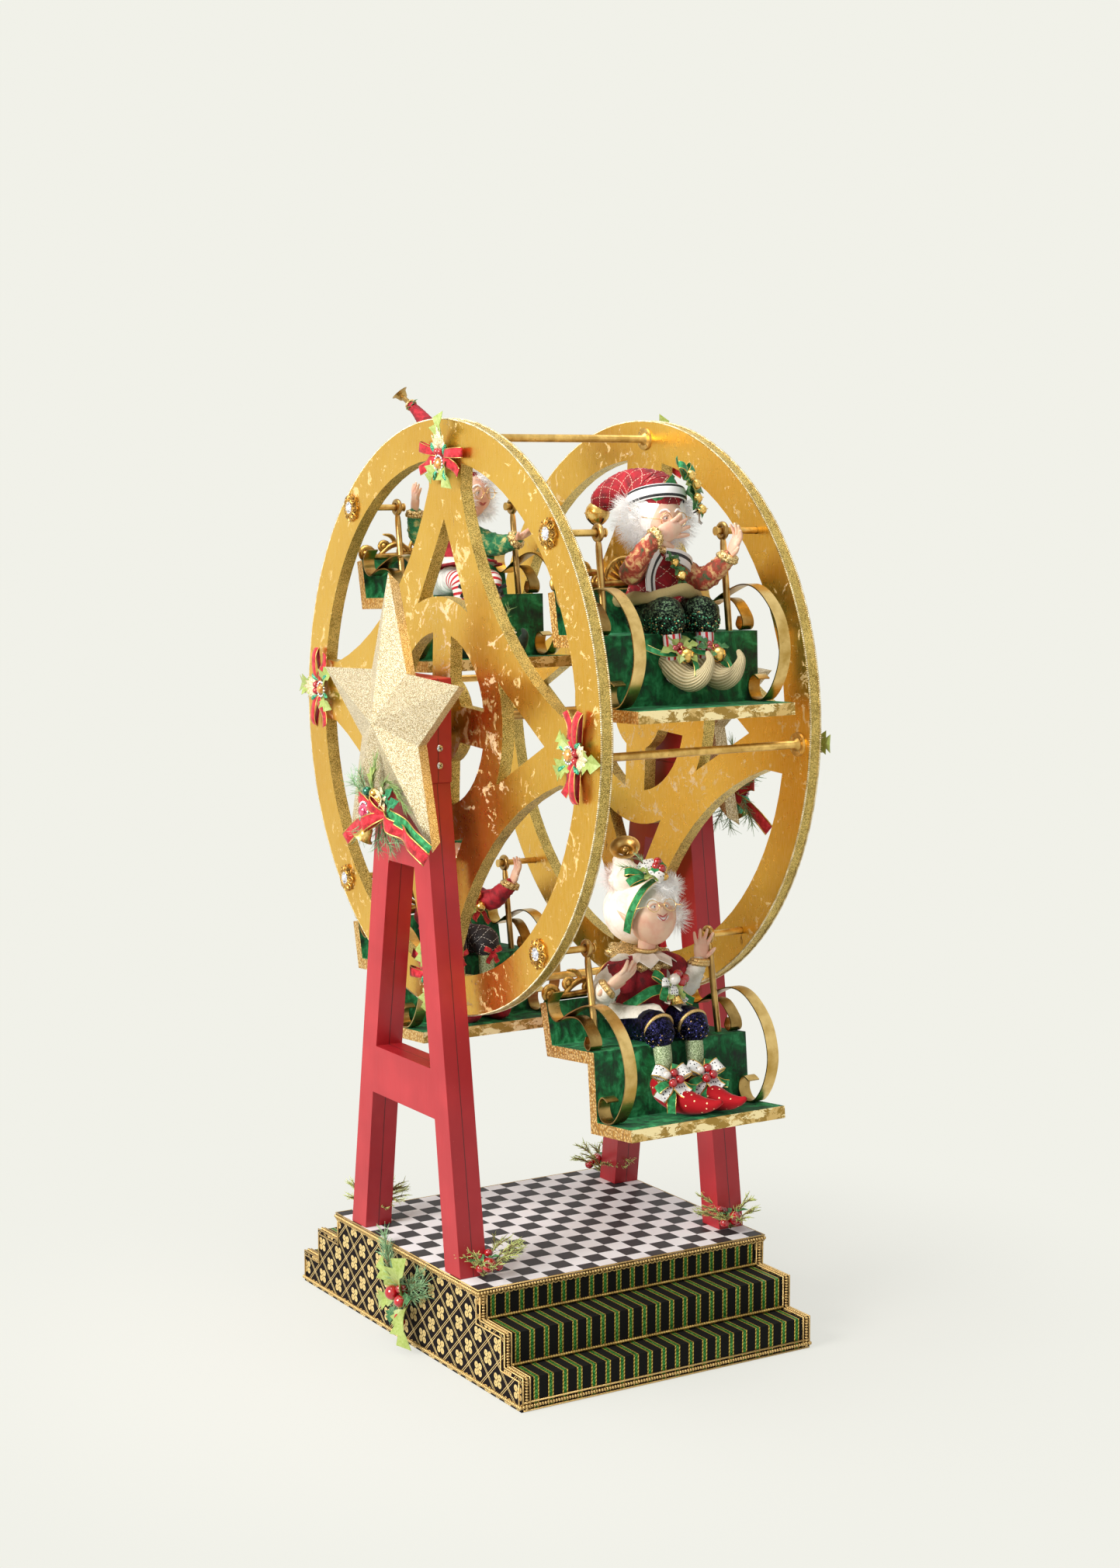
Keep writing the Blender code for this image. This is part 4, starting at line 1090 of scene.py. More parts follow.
def jewel(piece, spot, radius, finish, sides=10):
    """A faceted stone with a flat table."""
    rings = []
    for height, share, shift in ((0.0, 1.0, 0.0), (0.45, 0.82, 0.5), (0.66, 0.5, 0.0)):
        rings.append([
            spot @ Vector((radius * share * cos(2 * pi * (k + shift) / sides),
                           radius * share * sin(2 * pi * (k + shift) / sides), radius * height))
            for k in range(sides)
        ])
    piece.loft(rings, finish, smooth=False)


def build_pins():
    """The pivot pins: a gilded rod from the eye to the wheel, and a medallion outside it."""
    for name, (angle, _) in PLACES.items():
        for side, sign in SIDES.items():
            at = AXIS @ Matrix.Translation(wheel_point(PIN_CIRCLE_R, angle))
            piece = Piece(f"pin_{name}_{side}", "wheel", "gold_leaf", at)
            tip, head = HANGER_X - EYE_T, WHEEL_OUTER_X + 0.0002
            profile = [(tip - 0.001, 0.0), (tip - 0.001, PIN_R * 1.25), (tip + 0.0008, PIN_R * 1.25),
                       (tip + 0.0014, PIN_R * 0.94), (head, PIN_R * 0.94), (head, MEDALLION_R * 0.9),
                       (head + 0.0015, MEDALLION_R * 0.9), (head + 0.0015, 0.0)]
            piece.lathe(profile, (0, 0, 0), (sign, 0, 0), ROD_LEAF, 24)
            spot = Matrix.Translation((sign * (head + 0.001), 0, 0)) @ turn_to((sign, 0, 0))
            filigree(piece, spot, MEDALLION_R * 1.08)
            piece.done((f"pivot_pin_{name}_{side}",), radians(40))


def build_hangers():
    """The eye bolts: a round rod with its end bent to an eye, down through the seat."""
    length = (SEAT_DROP + GONDOLA_BOARD_T) / cos(HANGER_LEAN)
    for name in PLACES:
        for side, sign in SIDES.items():
            at = pivot(name) @ Matrix.Translation((sign * HANGER_X, 0, 0))
            piece = Piece(f"eye_bolt_{name}_{side}", f"seat_{name}", "bronze", at)
            bar = (EYE_R - PIN_R) / 2 - 0.0001
            middle = PIN_R + 0.0002 + bar
            loop = [(0, middle * cos(a * pi / 14), middle * sin(a * pi / 14)) for a in range(28)]
            piece.tube(loop, [bar] * 28, AGED, 12, closed=True)
            down = Vector((0, -sin(HANGER_LEAN), -cos(HANGER_LEAN)))
            reach = [(0.0096, 0.003), (0.014, 0.0036), (0.02, HANGER_ROD_R * 0.92),
                     (length, HANGER_ROD_R * 0.92)]
            piece.tube([down * run for run, _ in reach], [r for _, r in reach], AGED, 14, round_ends=False)
            piece.done((f"hanger_{name}_{side}",), radians(40))


def shifted(points, corner):
    return [(corner[0] + forward, corner[1] + up) for forward, up in points]


def band(piece, points, x0, x1, outside, inside, thickness=BAND_T):
    """A flat metal band bent along (forward, up) points, with another finish on its inner face."""
    path = smooth_path(points, 9)
    rows = []
    for i, p in enumerate(path):
        run = path[min(i + 1, len(path) - 1)] - path[max(i - 1, 0)]
        normal = Vector((-run.y, run.x)).normalized() * (thickness / 2)
        row = []
        for x, way in ((x0, 1), (x1, 1), (x1, -1), (x0, -1)):
            q = p + normal * way
            row.append(piece.bm.verts.new(piece.at @ at_front((x, q.x, q.y))))
        rows.append(row)
    piece.face(rows[0], outside, None, False)
    piece.face(rows[-1][::-1], outside, None, False)
    for here, there in zip(rows, rows[1:]):
        for i in range(4):
            j = (i + 1) % 4
            finish = outside if i == 0 or i % 2 else inside
            piece.face((here[i], there[i], there[j], here[j]), finish, None, i % 2 == 0)


def build_armrests():
    """The scrolled armrests: gilded outside, bronze inside."""
    seat_edge = (SEAT_FRONT, -SEAT_DROP)
    back = shifted(BACK_SCROLL, (SEAT_BACK, -SEAT_DROP))
    foot = shifted(FOOT_SCROLL, (SEAT_FRONT, -FOOTBOARD_DROP))
    for name in PLACES:
        for side, sign in SIDES.items():
            piece = Piece(f"scroll_{name}_{side}", f"seat_{name}", "bronze", pivot(name))
            x0, x1 = sign * BAND_X0, sign * (BAND_X0 + BAND_WIDTH)
            band(piece, foot + shifted(ARM_SWEEP, seat_edge) + back, x0, x1, BAND_BRONZE, BAND_GOLD)
            band(piece, [back[0]] + shifted(REST_SWEEP + REST_SCROLL, seat_edge), x0, x1, BAND_BRONZE,
                 BAND_BROWN, BAND_T * 0.96)
            piece.done((f"armrest_{name}_{side}",), radians(40))


def speckled_band(name, dark, light):
    """Rolled metal strip with a few dark specks and worn streaks across it."""
    finish = Finish(name, dark, 0.3, 1.0)
    at = finish.place()
    cloudy = finish.noise(at, 26.0, 4.0, 0.6)
    speck = finish.noise(at, 260.0, 3.0, 0.7).fade(0.7, 0.73)
    streak = finish.noise(finish.stretch(at, (0.15, 1.0, 1.0)), 240.0, 3.0, 0.6)
    tone = finish.mix(cloudy.fade(0.3, 0.7), dark, light)
    finish.set("Base Color", finish.mix(speck, tone, (0.1, 0.05, 0.01)))
    finish.set("Roughness", 0.2 + streak * 0.2 + speck * 0.3)
    return finish.bump(streak * 0.4 - speck, 0.0003, 0.4)


BAND_GOLD = speckled_band("band_gold", (0.44, 0.27, 0.06), (0.84, 0.61, 0.25))
BAND_BRONZE = speckled_band("band_bronze", (0.22, 0.135, 0.04), (0.52, 0.35, 0.125))
BAND_BROWN = speckled_band("band_brown", (0.4, 0.23, 0.08), (0.68, 0.43, 0.16))


def volute(piece, spot, radius, turns, thick, finish, flip=1):
    """A curled stem that winds in to a ball."""
    path, radii = [], []
    steps = int(14 * turns)
    for i in range(steps + 1):
        t = i / steps
        r = radius * (1 - 0.8 * t)
        a = flip * 2 * pi * turns * t
        path.append(Vector((flip * (radius - r * cos(a)), r * sin(a), 0)))
        radii.append(thick * (1 - 0.35 * t))
    piece.tube([spot @ Vector(p) for p in path], radii, finish, 8, up=(0, 1, 0))
    piece.ball(spot @ path[-1], thick * 1.35, finish, detail=2)


def build_crests():
    """The carved crests: a fluted fan between rising curls, on a moulded rail with a volute at each end."""
    for name in PLACES:
        lean = BACK_PANEL_LEAN
        up_way = Vector((0, sin(lean), cos(lean)))
        foot_forward = SEAT_BACK - BACK_PANEL_HEIGHT * sin(lean) - GONDOLA_BOARD_T / 2 * cos(lean)
        foot_up = -SEAT_DROP + BACK_PANEL_HEIGHT * cos(lean) - GONDOLA_BOARD_T / 2 * sin(lean)
        at = pivot(name) @ Matrix.Translation(at_front((0, foot_forward, foot_up))) @ turn_to((0,
                -cos(lean), sin(lean)), up_way)
        piece = Piece(f"carving_{name}", f"seat_{name}", "gold_leaf", at)
        half = GONDOLA_HALF_WIDTH * 0.93
        rail = [(-half, 0.0045, 0), (-half * 0.5, 0.0055, 0), (0, 0.0075, 0), (half * 0.5, 0.0055, 0),
                (half, 0.0045, 0)]
        piece.tube(rail, [0.0048, 0.0058, 0.0066, 0.0058, 0.0048], CARVED, 12, 0.8, steps=6)
        fan = 9
        for k in range(fan):
            a = pi * (k + 0.5) / fan
            out = Vector((cos(a), sin(a), 0))
            tip = out * 0.026 + Vector((0, 0.008, 0))
            root = out * 0.006 + Vector((0, 0.008, 0))
            piece.tube([root, (root + tip) / 2, tip], [0.0016, 0.0027, 0.0034], CARVED, 8, 0.75,
                       up=(0, 0, 1), steps=3)
        arch = [Vector((0.031 * cos(pi * t / 16), 0.008 + 0.0295 * sin(pi * t / 16), 0)) for t in range(17)]
        piece.tube(arch, [0.0026] * 17, CARVED, 8, up=(0, 0, 1))
        piece.ball((0, 0.009, 0.001), 0.0055, CARVED, (1, 1, 0.7))
        for way in (-1, 1):
            for x0, y0, size, turns, thick, flip in CURLS:
                spot = Matrix.Translation((way * x0, y0, 0)) @ Matrix.Diagonal((way, 1, 1, 1))
                volute(piece, spot, size, turns, thick, CARVED, flip)
            sweep = [(way * 0.03, 0.01, 0), (way * 0.044, 0.021, 0), (way * 0.06, 0.018, 0),
                     (way * 0.074, 0.008, 0)]
            piece.tube(sweep, [0.003, 0.0048, 0.005, 0.0034], CARVED, 10, 0.8, steps=5)
            leafy = [(way * 0.05, 0.02, 0.001), (way * 0.056, 0.031, 0.001), (way * 0.066, 0.034, 0)]
            piece.tube(leafy, [0.0034, 0.0042, 0.0018], CARVED, 8, 0.7, steps=5)
        piece.done((f"crest_{name}",), radians(50))


CURLS = (
    (0.032, 0.01, 0.009, 1.3, 0.0036, 1),
    (0.06, 0.017, 0.0082, 1.3, 0.0034, 1),
    (0.084, 0.008, 0.0105, 1.5, 0.0042, 1),
)


def build_axle():
    """The axle and a turned boss on each wheel."""
    piece = Piece("turned_axle", "wheel", "bronze", AXIS)
    end_x = FRAME_OUTER_X - 0.004
    boss_in, boss_out = WHEEL_OUTER_X + 0.0002, FRAME_INNER_X - 0.0024
    hub = [(boss_in, 0.006), (boss_in, 0.022), (boss_in + 0.0035, 0.022), (boss_in + 0.005, 0.0195),
           (boss_in + 0.0075, 0.0195), (boss_out - 0.002, 0.018), (boss_out, 0.0165), (boss_out, 0.006),
           (end_x, 0.006), (end_x, 0.0)]
    profile = [(-x, radius) for x, radius in reversed(hub)] + hub
    piece.lathe(profile, (0, 0, 0), (1, 0, 0), AGED, 40)
    for sign in (-1, 1):
        for k in range(4):
            turn = pi / 4 + k * pi / 2
            head = (sign * (boss_in + 0.0036), 0.0206 * cos(turn), 0.0206 * sin(turn))
            piece.ball(head, 0.0011, POLISHED, detail=1)
    piece.done(("axle",), radians(30))


# Leaves, berries, bells and bows


def lift(spot, x=0.0, y=0.0, z=0.0, turn=0.0, tilt=0.0):
    """A place seen from another: shifted, turned in its plane, then tilted up."""
    return spot @ Matrix.Translation((x, y, z)) @ Matrix.Rotation(turn, 4, "Z") @ Matrix.Rotation(-tilt, 4,
            "Y")


def holly_leaf(piece, spot, length, finish, width=0.46):
    """A leaf along +X with pointed lobes, folded on its midrib."""
    tips = 3
    edge = []
    for k in range(tips):
        x0, x1 = (k + 0.15) / tips * 0.86, (k + 0.8) / tips * 0.86
        swell = 1.0 - abs(k - 0.9) * 0.22
        edge += [(x0 * length, width * 0.3 * swell * length), (x1 * length, width * 0.54 * swell * length)]
    top = [(0.0, 0.0)] + edge + [(length, 0.0)]
    for way in (-1, 1):
        place = piece.at @ spot
        rows = []
        for x, y in top:
            bend = 0.16 * length * sin(pi * min(x / length, 1.0))
            rise = abs(y) * 0.42
            rows.append((piece.bm.verts.new(place @ Vector((x, way * y, bend + rise))),
                         piece.bm.verts.new(place @ Vector((x, 0.0, bend)))))
            rows[-1] += (piece.bm.verts.new(place @ Vector((x, way * y, bend + rise - 0.0005))),
                         piece.bm.verts.new(place @ Vector((x, 0.0, bend - 0.0005))))
        for a, b in zip(rows, rows[1:]):
            piece.face((a[0], b[0], b[1], a[1]), finish, None, False)
            piece.face((a[3], b[3], b[2], a[2]), finish, None, False)
            piece.face((a[2], b[2], b[0], a[0]), finish, None, False)
            piece.face((a[1], b[1], b[3], a[3]), finish, None, False)
        for row in (rows[0], rows[-1]):
            piece.face((row[0], row[1], row[3], row[2]), finish, None, False)


def loose_petal(piece, spot, length, width, finish, cup=0.2):
    """A pointed petal along +X."""
    outline = [(0, 0), (0.25 * length, 0.36 * width), (0.6 * length, 0.5 * width), (length, 0),
               (0.6 * length, -0.5 * width), (0.25 * length, -0.36 * width)]
    piece.plate(outline, finish, spot, 0.0005, cup * width)


def poinsettia(piece, spot, radius, finish, heart):
    """Two rings of pointed petals around a cluster of seeds."""
    for ring, (share, tilt, shift) in enumerate(((1.0, 0.18, 0.0), (0.68, 0.5, 0.5))):
        for k in range(6):
            turn = 2 * pi * (k + shift) / 6
            loose_petal(piece, lift(spot, 0, 0, 0.0008 * ring, turn, tilt), radius * share, radius * 0.46,
                        finish)
    for k in range(5):
        a = 2 * pi * k / 5
        piece.ball(spot @ Vector((radius * 0.13 * cos(a), radius * 0.13 * sin(a), radius * 0.3)),
                   radius * 0.09, heart, detail=1)


def teardrop(piece, spot, length, finish):
    """A drop along +X, blunt at its far end."""
    path = [(0, 0, 0), (0.35 * length, 0, 0.1 * length), (0.7 * length, 0, 0.12 * length),
            (length, 0, 0.08 * length)]
    piece.tube([spot @ Vector(p) for p in path], [0.05 * length, 0.15 * length, 0.22 * length,
                                                  0.14 * length], finish, 8, steps=3)


def jingle_bell(piece, at, axis, radius):
    """A round bell with a belt, two slots drawn as dark cords of painted shade, and a hanging loop."""
    turn = turn_to(axis)
    profile = [(radius * -cos(pi * i / 12), radius * sin(pi * i / 12)) for i in range(13)]
    profile[6:7] = [(-radius * 0.07, radius * 1.0), (-radius * 0.05, radius * 1.07),
                    (radius * 0.05, radius * 1.07), (radius * 0.07, radius * 1.0)]
    piece.lathe(profile, at, axis, POLISHED, 20)
    spot = Matrix.Translation(at) @ turn
    for k in range(2):
        cut = []
        for i in range(9):
            a = radians(-60 + 15 * i)
            p = Vector((radius * 1.005 * sin(a), 0, radius * 1.005 * cos(a)))
            cut.append(spot @ Matrix.Rotation(k * pi / 2, 4, "Z") @ p)
        piece.tube(cut, [radius * 0.07] * 9, PAINTED_SLOT_SHADE, 6)
    loop = [spot @ Vector((radius * 0.28 * cos(a * pi / 6), 0,
                           -radius * 1.15 + radius * 0.28 * sin(a * pi / 6))) for a in range(12)]
    piece.tube(loop, [radius * 0.07] * 12, POLISHED, 6, closed=True)


def horn_bell(piece, at, axis, radius, finish, depth):
    """An open bell whose mouth faces along its axis, with a clapper."""
    wall = radius * 0.06
    outer = [(-1.0, 0.0), (-0.98, 0.28), (-0.8, 0.48), (-0.45, 0.6), (-0.15, 0.72), (0.0, 0.98)]
    profile = [(a * radius * depth, r * radius) for a, r in outer]
    profile += [(0.02 * radius, radius), (0.0, radius * 0.9)]
    profile += [(a * radius * depth, max(r * radius - wall * 1.6, 0)) for a,
                r in ((-0.16, 0.66), (-0.45, 0.52), (-0.75, 0.4), (-0.86, 0.2), (-0.9, 0.0))]
    piece.lathe(profile, at, axis, finish, 28)
    way = Vector(axis).normalized()
    piece.ball(Vector(at) - way * radius * 0.25, radius * 0.24, finish)
    piece.tube([Vector(at) - way * radius * 1.05, Vector(at) - way * radius * 0.35], [radius * 0.06] * 2,
               finish, 6)


def ribbon_loop(piece, spot, length, width, cloth, edge, fat=0.34):
    """A loop of ribbon along +X that comes back to its root."""
    path = [(0, 0, 0.0), (0.35, 0, fat * 0.9), (0.8, 0, fat), (1.0, 0, fat * 0.5), (0.82, 0, 0.08),
            (0.4, 0, 0.04), (0, 0, 0.0)]
    widths = [0.45, 0.8, 1.0, 1.0, 1.0, 0.8, 0.45]
    points = [spot @ (Vector(p) * length) for p in path]
    across = spot.to_3x3() @ Vector((0, 1, 0))
    piece.ribbon(points, [w * width for w in widths], across, cloth, 0.0007, 4, edge, width * 0.055)


def ribbon_tail(piece, spot, points, width, cloth, edge, narrow=0.5):
    """A tail of ribbon through points, seen from its place."""
    across = spot.to_3x3() @ Vector((0, 1, 0))
    widths = [width * narrow] + [width] * (len(points) - 1)
    piece.ribbon([spot @ Vector(p) for p in points], widths, across, cloth, 0.0007, 4, edge, width * 0.055)


def bow(piece, spot, length, width, cloth, edge, loops=(0.35, 2.79, 3.67, 5.6), tails=(), fat=0.34):
    """Loops at angles in the plane, tails that droop, and a knot."""
    for k, turn in enumerate(loops):
        ribbon_loop(piece, lift(spot, 0, 0, 0.0004 * k, turn, 0.1), length, width, cloth, edge, fat)
    for turn, reach in tails:
        way = lift(spot, 0, 0, 0.0, turn)
        ribbon_tail(piece, way, [(0, 0, 0.001), (reach * 0.4, 0, 0.004), (reach * 0.75, 0, 0.0015),
                                 (reach, 0, 0.003)],
                    width, cloth, edge)
    piece.ball(spot @ Vector((0, 0, length * 0.12)), width * 0.42, cloth, (1.0, 1.0, 0.7), detail=2)


WHEEL_BOW_R = 0.316


def build_wheel_bows():
    """A bow with leaves, drops, a jewel and berries at each arm's tip, on the wheels' outer faces."""
    for side, sign in SIDES.items():
        for name, angle in ROD_PLACES.items():
            at = wheel_point(WHEEL_BOW_R, angle) + Vector((sign * (WHEEL_OUTER_X + 0.0004), 0, 0))
            spot = Matrix.Translation(at) @ turn_to((sign, 0, 0), wheel_point(1.0, angle))
            piece = Piece(f"bow_{name}_{side}", "wheel", "doll_cloth", AXIS)
            ribbons = ((4, 0.052), (172, 0.05), (-24, 0.05), (205, 0.052))
            for index, (turn, reach) in enumerate(ribbons):
                way = lift(spot, 0, -0.002, 0.001, radians(turn))
                if index < 2:
                    ribbon_loop(piece, way, reach, 0.0115, BOW_VELVET, EDGING, 0.2)
                else:
                    bend = [(0, 0, 0.001), (reach * 0.35, 0, 0.0075), (reach * 0.7, 0, 0.004),
                            (reach, 0, 0.0065)]
                    ribbon_tail(piece, way, bend, 0.0115, BOW_VELVET, EDGING, 0.6)
            for x, turn, reach, lime in ((0.001, 88, 0.04, HOLLY), (-0.006, -122, 0.034, HOLLY),
                                         (0.006, -56, 0.038, HOLLY)):
                y = 0.008 if turn > 0 else -0.01
                holly_leaf(piece, lift(spot, x, y, 0.0015, radians(turn), 0.1), reach, lime, 0.66)
            for turn, reach in ((30, 0.018), (52, 0.023), (72, 0.027), (92, 0.029), (112, 0.027),
                                (132, 0.023), (154, 0.018)):
                petal = lift(spot, 0, 0.003, 0.0055, radians(turn), 0.22)
                loose_petal(piece, petal, reach, 0.0095, PALE_PETAL, 0.35)
            for x, y, turn in ((-0.009, -0.003, 118), (0.01, -0.004, 62), (-0.004, -0.019, 250),
                               (0.012, -0.019, 300)):
                teardrop(piece, lift(spot, x, y, 0.0065, radians(turn), 0.1), 0.0135, TEARDROP)
            for x in (-0.0038, 0.0042):
                piece.ball(spot @ Vector((x, 0.0005, 0.0085)), 0.0042, BERRY, detail=3)
            stone = lift(spot, 0, -0.0135, 0.008)
            jewel(piece, stone, 0.007, AMBER, 12)
            for k in range(15):
                a = 2 * pi * k / 15
                piece.ball(stone @ Vector((0.0094 * cos(a), 0.0094 * sin(a), 0.0002)), 0.0018, CRYSTAL,
                           detail=1)
            piece.done()


# Braids, screws and sprigs on the stand


def braid_line(name, path, width):
    """A flat braid: a row of beads between two cords. path is points with the way across it."""
    middle = [p for p, _ in path]
    half = width * 0.4
    rims = [[Vector(p) + Vector(across) * half * way for p, across in path] for way in (-1, 1)]
    piece = Piece(f"{name}_cords", "stand", "gold_metal")
    for rim in rims:
        piece.tube(rim, [width * 0.1] * len(rim), BRAID, 6, round_ends=False)
    piece.done()
    spread_over(BEADS, f"{name}_beads", paths_mesh([middle]), BRAID, "stand", "gold_metal",
                Spacing=width * 0.3, Size=width * 0.21, Squash=0.72)


def step_points(x, lift_off):
    """The stepped profile from front foot over the platform's edge, at a given x."""
    half = [0.5 * n for n in TIER_LENGTHS]
    z1, z2, z3 = TIER_RISES[0], TIER_RISES[0] + TIER_RISES[1], BASE_HEIGHT
    return [
        (x, half[0] + lift_off, 0.004), (x, half[0] + lift_off, z1 + lift_off),
        (x, half[1] + lift_off, z1 + lift_off),
        (x, half[1] + lift_off, z2 + lift_off), (x, half[2] + lift_off, z2 + lift_off),
        (x, half[2] + lift_off, z3 - 0.008),
    ]


def build_braids():
    """Gold braids and cords along the base's edges."""
    proud = 0.0012
    edge_x = BASE_WIDTH / 2 - 0.006
    for end, way in (("front", 1), ("back", -1)):
        for side, sign in SIDES.items():
            run = [at_front((p[0], way * p[1], p[2])) for p in step_points(sign * edge_x, proud)]
            braid_line(f"braid_{end}_{side}", [(p, (1, 0, 0)) for p in run], 0.0115)
        piece = Piece(f"cords_{end}", "stand", "gold_metal")
        tier_z = (0.0, TIER_RISES[0], TIER_RISES[0] + TIER_RISES[1])
        rows = []
        for length, z in zip(TIER_LENGTHS, tier_z):
            y = -way * (length / 2 + 0.0022)
            width = BASE_WIDTH / 2 - 0.0125 if z else BASE_WIDTH / 2 - 0.002
            if z:
                low = z + 0.0028
                rows.append([(-width, y, low), (width, y, low)])
                piece.tube([(-width, y, low), (width, y, low)], [0.0016] * 2, DARK_BRAID, 8)
            else:
                foot = [((x, -way * (length / 2 + 0.0012), 0.0066), (0, 0, 1)) for x in (-width, width)]
                braid_line(f"foot_braid_{end}", foot, 0.012)
        piece.done()
        spread_over(BEADS, f"riser_beads_{end}", paths_mesh(rows), DARK_BRAID, "stand", "gold_metal",
                    Spacing=0.0034, Size=0.0025, Squash=0.62)
    corners = [at_front(p) for p in ((1, 1, 0), (1, -1, 0), (-1, -1, 0), (-1, 1, 0))]
    half_x, half_y = BASE_WIDTH / 2 + proud, TIER_LENGTHS[2] / 2 + proud
    loop = [Vector((c.x * half_x, c.y * half_y, BASE_HEIGHT - 0.0045)) for c in corners]
    spread_over(BEADS, "platform_beads", paths_mesh([loop], None, True), BRAID, "stand", "gold_metal",
                Spacing=0.004, Size=0.0026, Squash=0.8)
    scallops = []
    for a, b in zip(loop, loop[1:] + loop[:1]):
        count = int((b - a).length / 0.0068)
        points = []
        for i in range(count * 4 + 1):
            p = a.lerp(b, i / (count * 4))
            points.append(p + Vector((0, 0, -0.0022 - 0.002 * abs(sin(pi * i / 4)))))
        scallops.append(points)
    piece = Piece("platform_scallops", "stand", "gold_metal")
    for points in scallops:
        piece.tube(points, [0.0009] * len(points), BRAID, 5, round_ends=False)
    top = [Vector((c.x * half_x, c.y * half_y, BASE_HEIGHT - 0.0008)) for c in corners]
    piece.tube(top, [0.0011] * 4, BRAID, 6, closed=True)
    piece.done()
    for side, sign in SIDES.items():
        x = sign * (BASE_WIDTH / 2 + 0.0009)
        outline = []
        for way in (1, -1):
            run = step_points(x, -0.0035)
            run[-1] = (x, run[-1][1], BASE_HEIGHT - 0.013)
            outline.append([at_front((p[0], way * p[1], p[2])) for p in run])
        foot = [Vector((x, -TIER_LENGTHS[0] / 2, 0.0055)), Vector((x, TIER_LENGTHS[0] / 2, 0.0055))]
        piece = Piece(f"panel_cords_{side}", "stand", "gold_metal")
        for path in outline:
            piece.tube(path, [0.0011] * len(path), BRAID, 6)
        piece.done()
        spread_over(BEADS, f"panel_beads_{side}", paths_mesh([foot]), BRAID, "stand", "gold_metal",
                    Spacing=0.0036, Size=0.0026, Squash=0.7)


def build_rim_cords():
    """A fine beaded cord along each edge of the rims."""
    for side, sign in SIDES.items():
        rings = [ring_path(WHEEL_R + 0.0004, sign * x, 240)
                 for x in (WHEEL_INNER_X + 0.0012, WHEEL_OUTER_X - 0.0008)]
        spread_over(BEADS, f"rim_cords_{side}", paths_mesh(rings, AXIS, True), SILVERED, "wheel",
                    "gold_metal", Spacing=0.0024, Size=0.0014, Squash=0.9)


SILVERED = gloss("silvered_cord", (0.88, 0.8, 0.58), (0.55, 0.42, 0.2), 0.28, 0.85, 0.0)


def build_block_screws():
    """Two wood screws in each end of the bearing blocks."""
    piece = Piece("block_screws", "stand", "steel")
    for sign in (-1, 1):
        for way in (-1, 1):
            for z, angle in BLOCK_SCREWS:
                screw(piece, (sign * BLOCK_SCREW_X, way * (BLOCK_HALF_WIDTH + 0.0002), z), (0, way, 0),
                      0.0042, STEEL, angle)
    piece.done()


def twig(name, paths, body, matrix, finish, spacing=0.0011, length=0.012, thick=0.0004, lean=1.0, seed=1):
    """Needled twigs: their stems, then the needles."""
    stems = Piece(f"{name}_stems", body, "doll_cloth", matrix)
    for path in paths:
        stems.tube(path, [0.0009] * (len(path) - 1) + [0.0005], BROWN_STEM, 5, steps=3)
    stems.done()
    lines = [smooth_path(path, 5) for path in paths]
    return spread_over(TWIGS, name, paths_mesh(lines, matrix), finish, body, "doll_cloth",
                       Spacing=spacing, Length=length, Thickness=thick, Lean=lean, Seed=seed)


BROWN_STEM = foliage("brown_stem", (0.1, 0.06, 0.02), (0.25, 0.17, 0.07), 300.0, 0.6)


def build_foot_sprigs():
    """Cedar and berries at the four feet of the frames."""
    random.seed(4)
    for side, sign in SIDES.items():
        for end, way in (("front", 1), ("back", -1)):
            at = at_front((sign * FRAME_FOOT_X, way * FRAME_FOOT_Y, BASE_HEIGHT + 0.001))
            spot = Matrix.Translation(at)
            paths = []

            def held_in(angle):
                """The way of an angle, shortened where the twig would reach over the base's edge."""
                across = 1.0 if cos(angle) * sign < 0 else 0.5
                along = 1.0 if sin(angle) * way > 0 else 0.7
                return Vector((cos(angle) * across, sin(angle) * along, 0))

            for turn, reach, rise in ((-90, 0.052, 0.022), (-60, 0.058, 0.03), (-25, 0.05, 0.038),
                                      (10, 0.056, 0.026), (40, 0.05, 0.034), (75, 0.054, 0.03),
                                      (110, 0.046, 0.036), (150, 0.044, 0.024), (200, 0.046, 0.034),
                                      (240, 0.05, 0.026)):
                a = radians(turn + random.uniform(-12, 12))
                out = held_in(a)
                tip = out * reach + Vector((0, 0, rise))
                paths.append([(0, 0, 0.002), out * reach * 0.5 + Vector((0, 0, rise * 0.75)), tip])
                for fork in (-0.5, 0.5):
                    branch = held_in(a + fork)
                    low = out * reach * 0.55 + Vector((0, 0, rise * 0.78))
                    paths.append([low, low + branch * reach * 0.22 + Vector((0, 0, rise * 0.2)),
                                  low + branch * reach * 0.42 + Vector((0, 0, rise * 0.3))])
            twig(f"cedar_{end}_{side}", paths, "stand", spot, CEDAR, 0.0013, 0.0075, 0.0006, 1.6, 5 + way)
            piece = Piece(f"sprig_{end}_{side}", "stand", "doll_cloth", spot)
            inward = -sign
            for x, y, z, r in ((0.002, -way * 0.012, 0.018, 0.0086), (0.016, -way * 0.01, 0.014, 0.006),
                               (0.002, way * 0.014, 0.02, 0.007), (-0.004, -way * 0.002, 0.012, 0.0052),
                               (0.012, way * 0.006, 0.026, 0.005)):
                piece.ball((inward * x, y, z), r, BERRY, detail=3)
            for turn, tilt in ((200, 0.5), (320, 0.6), (80, 0.5)):
                holly_leaf(piece, lift(Matrix(), 0, 0, 0.012, radians(turn), tilt), 0.026, DARK_HOLLY)
            piece.done()


